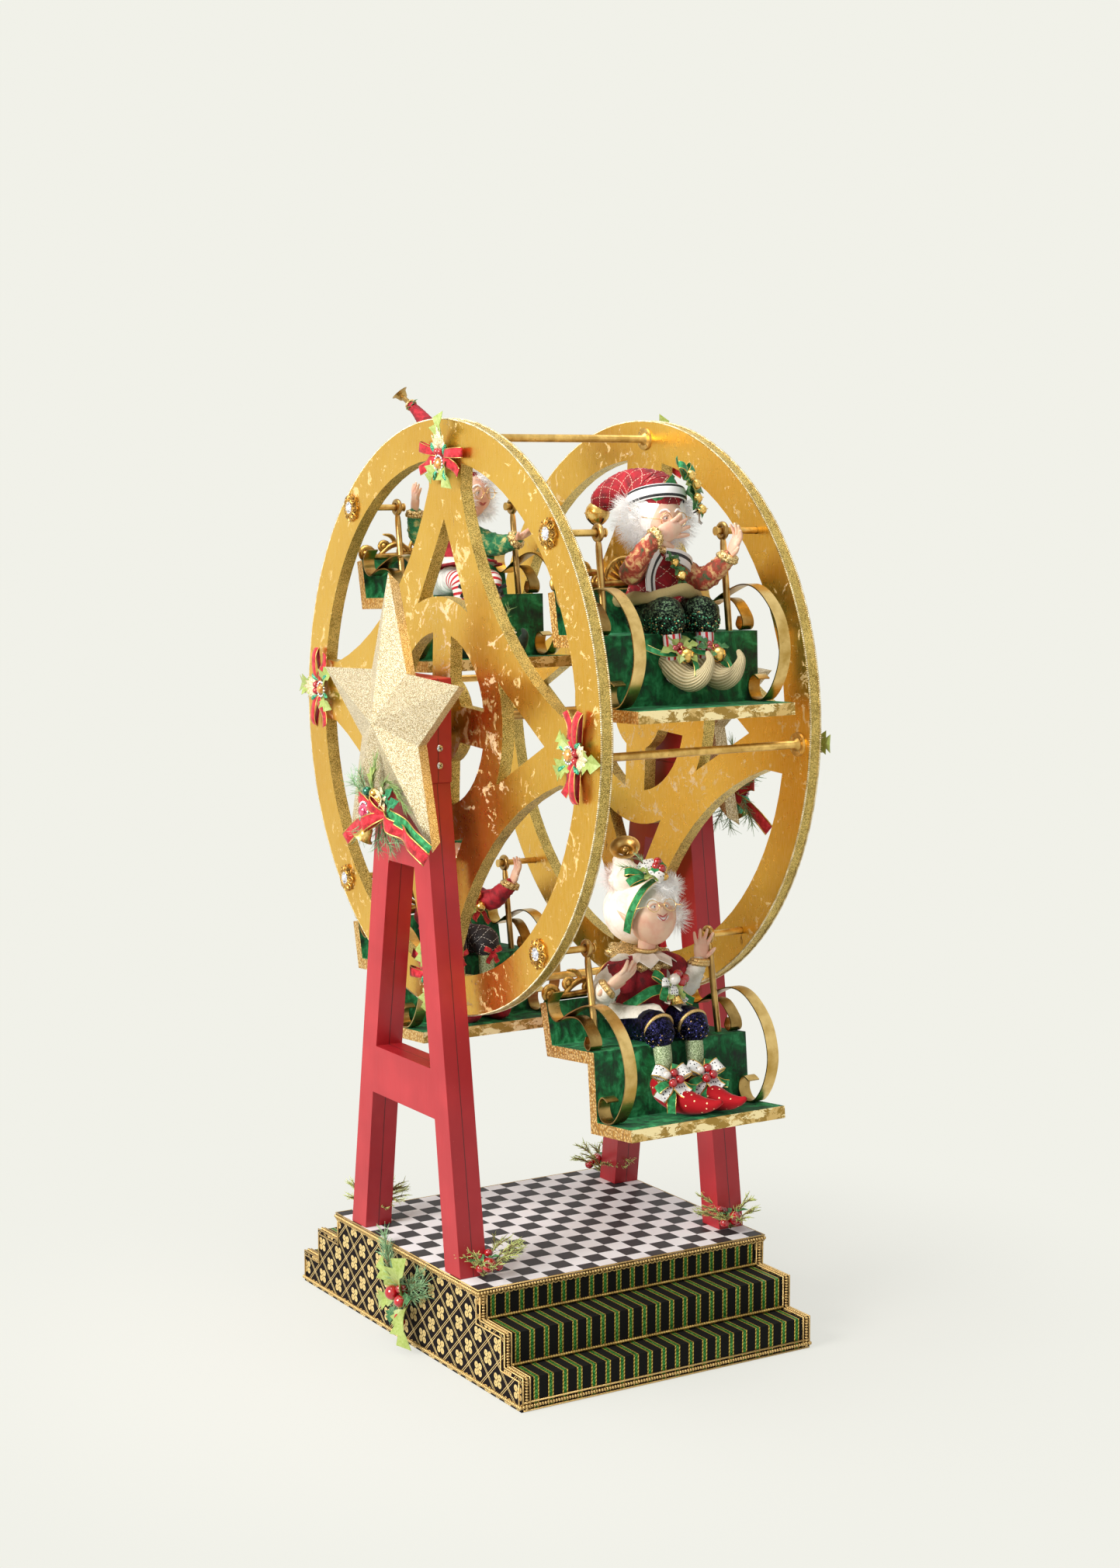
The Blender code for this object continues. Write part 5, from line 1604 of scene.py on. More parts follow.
def build_star_ornament(side, sign, y, z):
    """The spray on a star: fir, a frond, velvet bows and tails, balls, a jewel and a bell."""
    out_x = sign * (FRAME_OUTER_X + STAR_SPRAY_OUT)
    spot = Matrix.Translation((out_x, y, z)) @ turn_to((sign, 0, 0), (0, 0, 1))
    piece = Piece(f"spray_{side}", "stand", "doll_cloth", spot)
    knot = lift(Matrix(), 0.0563, 0.0028, 0.012)
    ribbon_loop(piece, lift(knot, 0, 0, 0, radians(205), 0.15), 0.04, 0.016, BOW_VELVET, EDGING, 0.26)
    ribbon_loop(piece, lift(knot, 0, 0, 0, radians(150), 0.1), 0.03, 0.014, BOW_VELVET, EDGING, 0.3)
    seen = 1.0 if side == "left" else 0.7
    red = [(0, 0, 0.002), (0.016, -0.01, 0.006), (0.0345, -0.0164, -0.004), (0.058, -0.026, 0.0),
           (0.085, -0.0431, -0.008)]
    red = [(seen * a, seen * b, c) for a, b, c in red]
    ribbon_tail(piece, knot, red, 0.0165, BOW_VELVET, EDGING, 0.7)
    green = [(0, 0.003, -0.002), (0.022, 0.0, 0.002), (0.042, -0.009, -0.006), (0.066, -0.018, -0.004),
             (0.09, -0.0317, -0.01)]
    green = [(seen * a, seen * b, c) for a, b, c in green]
    ribbon_tail(piece, knot, green, 0.0135, GREEN_RIBBON, EDGING, 0.7)
    low = [(0.0152, -0.004, 0.006), (-0.01, -0.016, 0.01), (-0.03, -0.022, 0.006), (-0.0503, -0.0391, 0.01)]
    ribbon_tail(piece, Matrix(), low, 0.0155, BOW_VELVET, EDGING, 0.6)
    small = [(0.01, 0.004, 0.006), (-0.008, 0.014, 0.01), (-0.0265, 0.016, 0.004)]
    ribbon_tail(piece, Matrix(), small, 0.015, BOW_VELVET, EDGING, 0.7)
    piece.ball((0.0081, 0.0255, 0.01), 0.006, GREEN_BALL, detail=3)
    piece.ball((0.0278, 0.0252, 0.011), 0.0064, GOLD_BALL, detail=3)
    stone = lift(Matrix(), 0.0152, 0.0035, 0.0185)
    jewel(piece, stone, 0.0082, ROSE, 14)
    for k in range(18):
        a = 2 * pi * k / 18
        piece.ball(stone @ Vector((0.0105 * cos(a), 0.0105 * sin(a), 0.0)), 0.0018, CRYSTAL, detail=1)
    for turn in (200, 235, 262):
        teardrop(piece, lift(Matrix(), 0.0152, -0.002, 0.008, radians(turn), 0.1), 0.021, TEARDROP)
    horn_bell(piece, (0.0195, -0.029, 0.0225), (-0.32, -0.85, 0.35), 0.013, POLISHED, 1.35)
    poinsettia(piece, lift(Matrix(), 0.0452, 0.0195, 0.01, 0.3), 0.0175, PALE_PETAL, POLISHED)
    for turn, reach in ((20, 0.034), (58, 0.03), (-12, 0.028)):
        holly_leaf(piece, lift(Matrix(), 0.052, 0.01, 0.005, radians(turn), 0.1), reach, VELVET_LEAF, 0.5)
    holly_leaf(piece, lift(Matrix(), 0.012, 0.03, 0.003, radians(68), 0.1), 0.03, HOLLY, 0.46)
    piece.done()
    frond = [[(0.012, 0.012, 0.003), (0.018, 0.04, 0.008), (0.0227, 0.0629, 0.006)],
             [(0.02, 0.012, 0.003), (0.0592, 0.0345, 0.006), (0.0913, 0.015, 0.004)],
             [(0.022, 0.014, 0.003), (0.046, 0.04, 0.006), (0.07, 0.034, 0.004)]]
    twig(f"frond_{side}", frond, "stand", spot, FROND, 0.0007, 0.016, 0.0005, 2.6, 3)
    fir = [[(0, 0.008, 0.002), (-0.02, 0.024, 0.006), (-0.0419, 0.034, 0.004)],
           [(0, 0.01, 0.002), (-0.012, 0.034, 0.006), (-0.024, 0.046, 0.004)],
           [(0.03, -0.01, 0.002), (0.042, -0.026, 0.004), (0.0523, -0.0409, 0.002)],
           [(0.024, -0.01, 0.002), (0.024, -0.028, 0.004), (0.021, -0.043, 0.002)],
           [(0.034, -0.006, 0.002), (0.056, -0.018, 0.004), (0.07, -0.028, 0.002)],
           [(-0.004, -0.004, 0.002), (-0.016, -0.022, 0.004), (-0.026, -0.032, 0.002)]]
    twig(f"fir_{side}", fir, "stand", spot, NEEDLES, 0.0008, 0.017, 0.0005, 1.1, 7)


GREEN_BALL = gloss("green_ball", (0.01, 0.3, 0.16), (0.002, 0.12, 0.06), 0.1, 0.75, 1.0)
GOLD_BALL = gloss("gold_ball", (0.82, 0.55, 0.1), (0.55, 0.32, 0.05), 0.12, 0.85, 1.0)
VELVET_LEAF = plush("velvet_leaf", (0.003, 0.07, 0.025), (0.01, 0.17, 0.06), (0.05, 0.36, 0.15), 200.0, 0.5,
                    (0.5, 1.0, 0.7))
FROND = foliage("frond", (0.14, 0.26, 0.07), (0.42, 0.56, 0.2), 500.0, 0.5)


def build_side_spray():
    """Fir, holly and berries on the left panel."""
    spot = Matrix.Translation((-FRAME_OUTER_X - 0.001, -0.008, 0.064)) @ turn_to((-1, 0, 0), (0, 0, 1))
    fir = [[(-0.002, 0.004, 0.003), (-0.022, 0.03, 0.01), (-0.042, 0.064, 0.008)],
           [(-0.002, 0.004, 0.003), (-0.016, 0.026, 0.012), (-0.034, 0.05, 0.01)],
           [(0.006, 0.0, 0.003), (0.034, 0.014, 0.012), (0.062, 0.03, 0.01)],
           [(0.006, 0.002, 0.003), (0.03, 0.022, 0.012), (0.052, 0.04, 0.008)],
           [(0.006, -0.002, 0.003), (0.03, 0.004, 0.01), (0.056, 0.014, 0.008)],
           [(0.0, -0.004, 0.003), (-0.012, -0.018, 0.008), (-0.022, -0.032, 0.006)]]
    twig("side_fir", fir, "stand", spot, NEEDLES, 0.0007, 0.017, 0.0006, 1.3, 11)
    piece = Piece("side_spray", "stand", "doll_cloth", spot)
    for x, y, turn, reach, finish in ((0.006, 0.006, 62, 0.056, HOLLY), (-0.01, 0.008, 126, 0.042, HOLLY),
                                      (0.014, -0.012, -58, 0.054, HOLLY),
                                      (-0.018, -0.008, 205, 0.034, HOLLY), (0.0, -0.02, -100, 0.026, HOLLY),
                                      (-0.012, -0.022, 240, 0.024, DARK_HOLLY),
                                      (0.008, -0.004, 20, 0.028, DARK_HOLLY)):
        holly_leaf(piece, lift(Matrix(), x, y, 0.007, radians(turn), 0.2), reach, finish, 0.72)
    for x, y, z, r in ((-0.01, 0.0, 0.015, 0.0092), (0.008, -0.006, 0.014, 0.0076),
                       (0.004, 0.008, 0.012, 0.0052), (0.014, 0.01, 0.012, 0.0052),
                       (0.02, 0.003, 0.01, 0.0044), (-0.018, 0.022, 0.01, 0.005),
                       (-0.004, -0.03, 0.01, 0.0052), (0.004, -0.034, 0.009, 0.004),
                       (-0.01, -0.034, 0.009, 0.0036)):
        piece.ball((x, y, z), r, BERRY, detail=3)
    piece.done()


build_rods()
build_pins()
build_hangers()
build_armrests()
build_crests()
build_axle()
build_wheel_bows()
build_braids()
build_rim_cords()
build_block_screws()
build_foot_sprigs()
build_star_ornament("left", -1, 0.0245, 0.6511)
build_star_ornament("right", 1, -0.085, 0.651)
build_side_spray()


# Riders


def seat_spot(x, forward, up):
    """A point given from the seat's front edge."""
    return at_front((x, SEAT_FRONT + forward, up - SEAT_DROP))


def seat_line(*points):
    return [seat_spot(*p) for p in points]


def foot_spot(x, forward, up):
    """A point given from the inner corner of the footboard."""
    return at_front((x, SEAT_FRONT + forward, up - FOOTBOARD_DROP))


def skin_tone():
    """Painted doll skin, warmer in patches."""
    finish = Finish("doll_skin", (0.82, 0.53, 0.41), 0.48, 0.0, subsurface_weight=0.12)
    at = finish.place()
    warm = finish.noise(at, 55.0, 3.0, 0.55)
    pores = finish.noise(at, 900.0, 2.0)
    finish.set("Base Color", finish.mix(warm.fade(0.38, 0.68), (0.87, 0.57, 0.41), (0.81, 0.42, 0.3)))
    finish.set("Roughness", 0.42 + pores * 0.16)
    return finish.bump(pores, 0.0002, 0.25)


def fluffy_with_painted_glow(name, dark, light):
    """Wool hair: tone by clumps, with a faint painted glow from its emission that lightens the strands
    where they shade each other.
    """
    # Painted light: the emission makes the hair glow a little in its own light colour.
    finish = Finish(name, light, 0.85, 0.0, sheen_weight=0.3, sheen_roughness=0.5,
                    emission_color=(*light, 1.0), emission_strength=0.09)
    at = finish.place()
    clumps = finish.noise(at, 120.0, 5.0, 0.65, 0.4)
    finish.set("Base Color", finish.mix(clumps.fade(0.35, 0.6), dark, light))
    return finish.bump(clumps, 0.0016, 0.8)


STITCH_WIDTH = 0.02
STITCHES_PER_METRE = 2300.0


def stitched(name, dark, mid, light, thread, across=6.0, pitch=0.021):
    """Velvet with a lattice of dashed stitches that follows the garment."""
    finish = plush(name, dark, mid, light, 110.0, 0.15, (1.0, 0.5, 0.5))
    u, v, _ = finish.uv()
    one = u * across + v * (1 / pitch) + 50.0
    two = u * across - v * (1 / pitch) + 50.0
    edge = 0.5 - STITCH_WIDTH
    lines = abs(one.fraction() - 0.5).above(edge).largest(abs(two.fraction() - 0.5).above(edge))
    dash = (v * STITCHES_PER_METRE).sine().above(-0.35)
    seen = lines * dash
    ground = Value(finish, finish.shader.inputs["Base Color"].links[0].from_socket)
    finish.set("Base Color", finish.mix(seen, ground, thread))
    return finish


def striped_hose(name, one, two, count, share, rings=0.0):
    """Knit stockings with stripes down the leg, or rings round it."""
    finish = Finish(name, one, 0.72)
    u, v, _ = finish.uv()
    way = v * rings if rings else u * count
    band_at = abs(way.fraction() - 0.5).below(share / 2)
    knit = (v * 5200.0).sine() * 0.5 + 0.5
    plain = finish.mix(knit * 0.25, one, (one[0] * 0.6, one[1] * 0.6, one[2] * 0.6))
    mark = finish.mix(knit * 0.25, two, (two[0] * 0.6, two[1] * 0.6, two[2] * 0.6))
    finish.set("Base Color", finish.mix(band_at, plain, mark))
    return finish.bump(knit, 0.0002, 0.4)


def ribbed(name, dark, light, count):
    """Ribbed lame cloth with a dull gold glint, partly real from its metal and partly painted: the ribs are
    painted light on their crowns and dark in their grooves as painted shade, and its flakes are painted
    lighter or darker as painted glints.
    """
    finish = Finish(name, light, 0.5, 0.35)
    u = finish.uv()[0]
    rib = (u * (count * 2 * pi)).sine() * 0.5 + 0.5
    spark = finish.grey(finish.cells(finish.place(), 1400.0, "Color"))
    finish.set("Base Color", finish.mix(rib * 0.7 + spark * 0.3, dark, light))
    finish.set("Roughness", 0.5 + spark * 0.2)
    return finish.bump(rib + spark * 0.3, 0.0009, 0.7)


def dotted(name, ground, dot, scale=230.0, size=0.22, rough=0.55):
    """Cloth with small round dots."""
    finish = Finish(name, ground, rough, 0.0, specular_ior_level=0.2, sheen_weight=0.15,
                    sheen_roughness=0.4)
    at = finish.place()
    spots = finish.cells(at, scale, "Distance", "F1", 0.25).below(size)
    thread = finish.noise(at, 1500.0, 2.0)
    cloth = finish.mix(thread * 0.3, ground, (ground[0] * 0.7, ground[1] * 0.7, ground[2] * 0.7))
    finish.set("Base Color", finish.mix(spots, cloth, dot))
    return finish.bump(thread, 0.0003, 0.4)


def banded(name, stripes):
    """Ribbon with stripes along it, from one edge round to the other."""
    finish = Finish(name, (0.8, 0.8, 0.8), 0.5)
    u = finish.uv()[0]
    half = abs(abs(u - 0.5) - 0.25) * 4
    thread = finish.noise(finish.place(), 1500.0, 2.0)
    colour = stripes[0][1]
    for limit, tint in stripes[1:]:
        colour = finish.mix(half.above(limit), colour, tint)
    finish.set("Base Color", colour)
    return finish.bump(thread, 0.0003, 0.3)


SKIN = skin_tone()
LIP = gloss("doll_lip", (0.55, 0.1, 0.1), (0.42, 0.06, 0.07), 0.3, 0.0, 0.2)
EYE_WHITE = gloss("eye_white", (0.86, 0.85, 0.82), (0.78, 0.76, 0.74), 0.08)
IRIS = gloss("iris", (0.1, 0.16, 0.14), (0.05, 0.08, 0.07), 0.06)
PUPIL = gloss("pupil", (0.006, 0.006, 0.006), (0.004, 0.004, 0.004), 0.05)
# White hair, with a faint painted glow from its emission.
HAIR = fluffy_with_painted_glow("white_hair", (0.88, 0.86, 0.82), (0.97, 0.96, 0.95))
WIRE = brushed_bronze("spectacle_wire", (0.75, 0.5, 0.2), (0.95, 0.72, 0.36), 0.18)
LAME = glitter("gold_lame", (0.22, 0.12, 0.03), (0.62, 0.42, 0.14), (0.98, 0.8, 0.44), 900.0, 0.75, 0.3)
RED_LATTICE = stitched("red_lattice", (0.08, 0.001, 0.003), (0.3, 0.002, 0.01), (0.46, 0.006, 0.018),
                       (0.86, 0.68, 0.52))
RED_VELVET = plush("red_velvet", (0.07, 0.001, 0.004), (0.28, 0.002, 0.011), (0.5, 0.014, 0.028), 90.0,
                   0.12, (1.0, 0.35, 0.4))
BLACK_LATTICE = stitched("black_lattice", (0.003, 0.003, 0.004), (0.01, 0.009, 0.012), (0.03, 0.03, 0.035),
                         (0.7, 0.68, 0.62), 4.0, 0.02)
SATIN = plush("cream_satin", (0.66, 0.56, 0.46), (0.86, 0.79, 0.7), (0.95, 0.9, 0.84), 50.0, 0.3,
              (1.0, 0.9, 0.85))
LINEN = plush("cream_linen", (0.55, 0.5, 0.4), (0.78, 0.73, 0.62), (0.9, 0.87, 0.78), 90.0, 0.15)
WHITE_CLOTH = plush("white_cloth", (0.62, 0.61, 0.6), (0.86, 0.85, 0.83), (0.95, 0.94, 0.92), 80.0, 0.2)
PRINTED_SLEEVE = plush("printed_sleeve", (0.003, 0.09, 0.03), (0.38, 0.03, 0.018), (0.86, 0.66, 0.28), 95.0,
                       0.05)
GREEN_SLEEVE = plush("green_sleeve", (0.002, 0.06, 0.022), (0.01, 0.2, 0.075), (0.72, 0.56, 0.2), 95.0, 0.1)
BLACK_SEQUIN = glitter("black_sequin", (0.003, 0.004, 0.004), (0.008, 0.013, 0.01), (0.1, 0.16, 0.09),
                       620.0, 0.95, 0.4)
NAVY_SEQUIN = glitter("navy_sequin", (0.002, 0.002, 0.004), (0.004, 0.004, 0.012), (0.03, 0.028, 0.11),
                      620.0, 0.95, 0.35)
SEQUIN_DARK = gloss("dark_sequins", (0.01, 0.06, 0.03), (0.003, 0.005, 0.004), 0.12, 0.9, 0.3)
SEQUIN_GREEN = gloss("green_sequins", (0.1, 0.62, 0.34), (0.04, 0.34, 0.16), 0.15, 0.5, 0.5)
SEQUIN_GOLD = gloss("gold_sequins", (0.95, 0.72, 0.34), (0.8, 0.42, 0.14), 0.15, 0.6, 0.5)
SEQUIN_BLUE = gloss("blue_sequins", (0.008, 0.007, 0.04), (0.003, 0.003, 0.009), 0.12, 0.9, 0.3)
SEQUIN_SKY = gloss("sky_sequins", (0.12, 0.15, 0.66), (0.04, 0.035, 0.26), 0.15, 0.5, 0.5)
GREEN_GLITTER = glitter("green_glitter", (0.13, 0.2, 0.07), (0.38, 0.5, 0.24), (0.82, 0.92, 0.62), 1400.0,
                        0.25, 0.35)
RED_WHITE_HOSE = striped_hose("striped_hose", (0.86, 0.84, 0.82), (0.62, 0.01, 0.02), 8.0, 0.38)
RINGED_HOSE = striped_hose("ringed_hose", (0.86, 0.84, 0.82), (0.55, 0.01, 0.02), 0.0, 0.42, 115.0)
RIBBED_SHOE = ribbed("ribbed_shoe", (0.34, 0.25, 0.1), (0.8, 0.7, 0.45), 22.0)
RIBBED_HEM = ribbed("ribbed_hem", (0.28, 0.2, 0.06), (0.62, 0.5, 0.24), 60.0)
DOTTED_VELVET = dotted("dotted_velvet", (0.36, 0.003, 0.008), (0.92, 0.74, 0.4), 150.0, 0.15, 0.8)
POLKA = dotted("polka_ribbon", (0.88, 0.88, 0.86), (0.01, 0.01, 0.012), 300.0, 0.28)
DARK_SHOE = plush("dark_shoe", (0.004, 0.006, 0.006), (0.01, 0.022, 0.014), (0.03, 0.07, 0.04), 90.0, 0.4,
                  (0.6, 1.0, 0.7))
BAND_STRIPES = banded("striped_band", ((0.0, (0.86, 0.85, 0.83)), (0.33, (0.008, 0.008, 0.01)),
                                       (0.66, (0.86, 0.85, 0.83))))
FUR = strand_fur()
SEQUINS = sequin_field()


def folds(piece, rings, finish, count=9, seed=0.0):
    """A garment of stacked ellipses: (x, forward, up, half width, half depth, fold depth)."""
    skins = []
    for x, forward, up, wide, deep, fold in smooth_path(rings, 4):
        ring = []
        for k in range(48):
            a = 2 * pi * k / 48
            ripple = sin(count * a + seed + up * 60) * 0.6 + sin((2 * count - 1) * a + seed * 2.3) * 0.4
            grow = 1 + fold * ripple
            ring.append(seat_spot(x + wide * grow * sin(a), forward + deep * grow * cos(a), up))
        skins.append(ring)
    piece.loft(skins, finish)


def sleeve(piece, points, radii, finish, wrinkle, seed, sides=16):
    """A soft tube along a limb, with wrinkles round it."""
    line = smooth_path([(*seat_spot(*p), r) for p, r in zip(points, radii)], 9)
    path = [Vector(p[:3]) for p in line]
    sizes = [p[3] * (1 + wrinkle * sin(i * 2.2 + seed) * (0.6 + 0.4 * sin(i * 0.9 + seed))) for i,
             p in enumerate(line)]
    piece.tube(path, sizes, finish, sides)
    return path


def gathered(piece, at, way, radius, width, finish, count=14, depth=0.16):
    """A ruffled ring of cloth round a limb."""
    turn = Matrix.Translation(at) @ turn_to(way)
    rings = []
    for along, share in ((-0.5, 0.78), (-0.42, 1.0), (-0.15, 1.12), (0.15, 1.12), (0.42, 1.0), (0.5, 0.78)):
        ring = []
        for k in range(count * 4):
            a = 2 * pi * k / (count * 4)
            r = radius * share * (1 + depth * cos(count * a) * (0.4 + abs(along)))
            ring.append(turn @ Vector((r * cos(a), r * sin(a), along * width)))
        rings.append(ring)
    piece.loft(rings, finish)


def hand(piece, wrist, fingers_way, palm_way, size, spread=0.16, curl=0.5, thumb=1):
    """A hand with four fingers and a thumb. palm_way is where the palm looks."""
    z = Vector(fingers_way).normalized()
    palm = Vector(palm_way)
    palm = (palm - palm.dot(z) * z).normalized()
    side = palm.cross(z) * thumb
    wrist = Vector(wrist)
    points = [wrist - z * size * 0.2, wrist, wrist + z * size * 0.16, wrist + z * size * 0.4,
              wrist + z * size * 0.52]
    piece.tube(points, [size * 0.125, size * 0.13, size * 0.2, size * 0.225, size * 0.17], SKIN, 12, 0.5,
               up=palm, steps=3)
    for k, (offset, length) in enumerate(((-1.5, 0.4), (-0.5, 0.47), (0.5, 0.45), (1.5, 0.36))):
        root = wrist + z * size * 0.46 + side * offset * size * 0.105
        lean = (z + side * offset * spread).normalized()
        bend = palm * curl * size
        a = root + lean * size * length * 0.38 + bend * 0.03
        b = root + lean * size * length * 0.72 + bend * (0.1 + 0.02 * k)
        c = root + lean * size * length * 0.98 + bend * (0.22 + 0.03 * k)
        piece.tube([root, a, b, c], [size * 0.06, size * 0.056, size * 0.05, size * 0.038], SKIN, 8,
                   steps=2)
    root = wrist + z * size * 0.12 - side * size * 0.16
    tip = root + (z * 0.75 - side * 0.62 + palm * 0.25).normalized() * size * 0.36
    piece.tube([root, (root + tip) / 2 - side * size * 0.02, tip],
               [size * 0.075, size * 0.066, size * 0.042], SKIN, 8, steps=3)


FACE_FORMS = (
    ((0.0, -0.06, 1.0), 0.15, 0.095),
    ((0.0, 0.1, 0.99), 0.055, 0.085),
    ((0.085, -0.11, 0.98), 0.055, 0.065),
    ((-0.085, -0.11, 0.98), 0.055, 0.065),
    ((0.46, -0.24, 0.85), 0.07, 0.24),
    ((-0.46, -0.24, 0.85), 0.07, 0.24),
    ((0.0, -0.66, 0.74), 0.075, 0.2),
    ((0.3, 0.1, 0.94), -0.06, 0.15),
    ((-0.3, 0.1, 0.94), -0.06, 0.15),
    ((0.0, -0.3, 0.95), 0.03, 0.16),
    ((0.3, 0.3, 0.9), 0.025, 0.16),
    ((-0.3, 0.3, 0.9), 0.025, 0.16),
)


def face_reach(way):
    """How far the face's surface is along a direction, as a share of the head's size."""
    grow = 1.0
    for centre, amount, spread in FACE_FORMS:
        grow += amount * exp(-(way - Vector(centre).normalized()).length_squared / (spread * spread))
    return grow


def head_form(piece, spot, size, smile=0.5):
    """A plain doll's head. +Z is where it looks and +Y is up; size holds half width, height and depth."""
    rows = []
    for i in range(1, 36):
        tilt = pi * i / 36
        ring = []
        for k in range(48):
            a = 2 * pi * k / 48
            way = Vector((sin(tilt) * sin(a), cos(tilt), sin(tilt) * cos(a)))
            grow = face_reach(way)
            jaw = 1 - 0.16 * max(0.0, -way.y) ** 1.5
            ring.append(spot @ Vector((way.x * size[0] * jaw * grow, way.y * size[1] * grow,
                                       way.z * size[2] * grow)))
        rows.append(ring)
    piece.loft(rows, SKIN)

    def on_face(x, y, lift_off=0.0):
        way = Vector((x, y, sqrt(max(0.0, 1 - x * x - y * y))))
        grow = face_reach(way) + lift_off
        return Vector((way.x * size[0] * grow, way.y * size[1] * grow, way.z * size[2] * grow))

    unit = size[0]
    for way in (-1, 1):
        eye = on_face(way * 0.3, 0.1, -0.075)
        piece.ball(spot @ eye, unit * 0.145, EYE_WHITE, (1.15, 0.85, 0.9), spot.to_3x3().to_4x4(), 3)
        ahead = eye + Vector((-way * unit * 0.01, 0.0, unit * 0.095))
        piece.ball(spot @ ahead, unit * 0.07, IRIS, (1, 1, 0.5), spot.to_3x3().to_4x4(), 2)
        piece.ball(spot @ (ahead + Vector((0, 0, unit * 0.022))), unit * 0.036, PUPIL, (1, 1, 0.6),
                   spot.to_3x3().to_4x4(), 2)
        for rise, thick in ((1, 0.042), (-1, 0.034)):
            lid = []
            for k in range(7):
                a = radians(-75 + 25 * k)
                lid.append(spot @ (eye + Vector((unit * 0.175 * sin(a), rise * unit * 0.118 * cos(a),
                                                 unit * (0.055 + 0.055 * cos(a))))))
            piece.tube(lid, [unit * thick] * 7, SKIN, 8)
        brow = [spot @ on_face(way * x, y, 0.025) for x,
                y in ((0.13, 0.3), (0.26, 0.37), (0.42, 0.34), (0.52, 0.26))]
        piece.tube(brow, [unit * 0.03, unit * 0.045, unit * 0.042, unit * 0.022], HAIR, 8, steps=3)
        ear = lift(spot, way * size[0] * 0.97, -0.02 * size[1], -0.1 * size[2])
        tip = [(0, -0.26, 0.05), (0.1, -0.05, 0.06), (0.22, 0.22, -0.05), (0.34, 0.55, -0.22)]
        path = [ear @ Vector((way * x * unit, y * unit, z * unit)) for x, y, z in tip]
        piece.tube(path, [unit * 0.1, unit * 0.19, unit * 0.15, unit * 0.03], SKIN, 10, 0.42,
                   up=spot.to_3x3() @ Vector((1, 0, 0)), steps=4)
    upper, lower = [], []
    for k in range(9):
        x = -0.22 + 0.055 * k
        curve = smile * 0.1 * (x / 0.22) ** 2
        upper.append(spot @ on_face(x, -0.335 + curve - 0.012 * cos(x * 28), 0.012))
        lower.append(spot @ on_face(x * 0.86, -0.395 + curve * 1.25, 0.01))
    thick = [unit * t for t in (0.01, 0.02, 0.028, 0.032, 0.028, 0.032, 0.028, 0.02, 0.01)]
    if smile > 1.0:
        mouth = [spot @ on_face(-0.25 + 0.0625 * k, -0.385 + 0.105 * ((k - 4) / 4) ** 2, 0.006)
                 for k in range(9)]
        piece.tube(mouth, [unit * t for t in (0.012, 0.045, 0.066, 0.076, 0.08, 0.076, 0.066, 0.045,
                                              0.012)], EYE_WHITE, 10, 0.35,
                   up=spot.to_3x3() @ Vector((0, 0, 1)))
        lower = [p + spot.to_3x3() @ Vector((0, -unit * 0.045, 0)) for p in lower]
        upper = [p + spot.to_3x3() @ Vector((0, unit * 0.035, 0)) for p in upper]
    piece.tube(upper, thick, LIP, 8, 0.8)
    piece.tube(lower, [t * 1.15 for t in thick], LIP, 8, 0.8)


def spectacles(piece, spot, size):
    """Round wire spectacles."""
    radius = 0.0072
    z = size[2] * 1.1
    y = size[1] * 0.06
    gap = size[0] * 0.37
    for way in (-1, 1):
        ring = [spot @ Vector((way * gap + radius * cos(a * pi / 14), y + radius * sin(a * pi / 14), z))
                for a in range(28)]
        piece.tube(ring, [0.00045] * 28, WIRE, 6, closed=True)
        temple = [spot @ Vector(p) for p in ((way * (gap + radius), y, z),
                                             (way * size[0] * 1.06, y + 0.001, z * 0.72),
                                             (way * size[0] * 1.05, y + 0.001, 0.0))]
        piece.tube(temple, [0.00045] * 3, WIRE, 6, steps=3)
    bridge = [spot @ Vector((x, y + 0.0012 - 0.0012 * abs(x) / 0.002, z + 0.0008))
              for x in (-gap + radius, 0.0, gap - radius)]
    piece.tube(bridge, [0.00045] * 3, WIRE, 6, steps=4)


def cap_mesh(spot, centre, radii, keep):
    """Part of an ellipsoid as a surface for hair. keep says which directions have it."""
    rings, sides = 14, 30
    bm = bmesh.new()
    grid = []
    for i in range(rings + 1):
        tilt = pi * i / rings
        row = []
        for k in range(sides):
            a = 2 * pi * k / sides
            way = Vector((sin(tilt) * sin(a), cos(tilt), sin(tilt) * cos(a)))
            p = Vector(centre) + Vector((way.x * radii[0], way.y * radii[1], way.z * radii[2]))
            row.append((way, bm.verts.new(spot @ p)))
        grid.append(row)
    for a, b in zip(grid, grid[1:]):
        for k in range(sides):
            j = (k + 1) % sides
            corner = (a[k], b[k], b[j], a[j])
            middle = sum((c[0] for c in corner), Vector()) / 4
            if keep(middle) and len({c[1].co.to_tuple(6) for c in corner}) == 4:
                bm.faces.new([c[1] for c in corner])
    loose = [v for v in bm.verts if not v.link_faces]
    bmesh.ops.delete(bm, geom=loose, context="VERTS")
    bmesh.ops.recalc_face_normals(bm, faces=bm.faces)
    mesh = bpy.data.meshes.new("hair_cap")
    bm.to_mesh(mesh)
    bm.free()
    return mesh


def hair(name, body, spot, centre, radii, keep, length, density, seed, stray=0.55, finish=HAIR):
    """Loose white strands over part of the head."""
    spread_over(FUR, name, cap_mesh(spot, centre, radii, keep), finish, body, "doll_head",
                Density=density, Length=length, Thickness=0.00028, Stray=stray, Seed=seed)


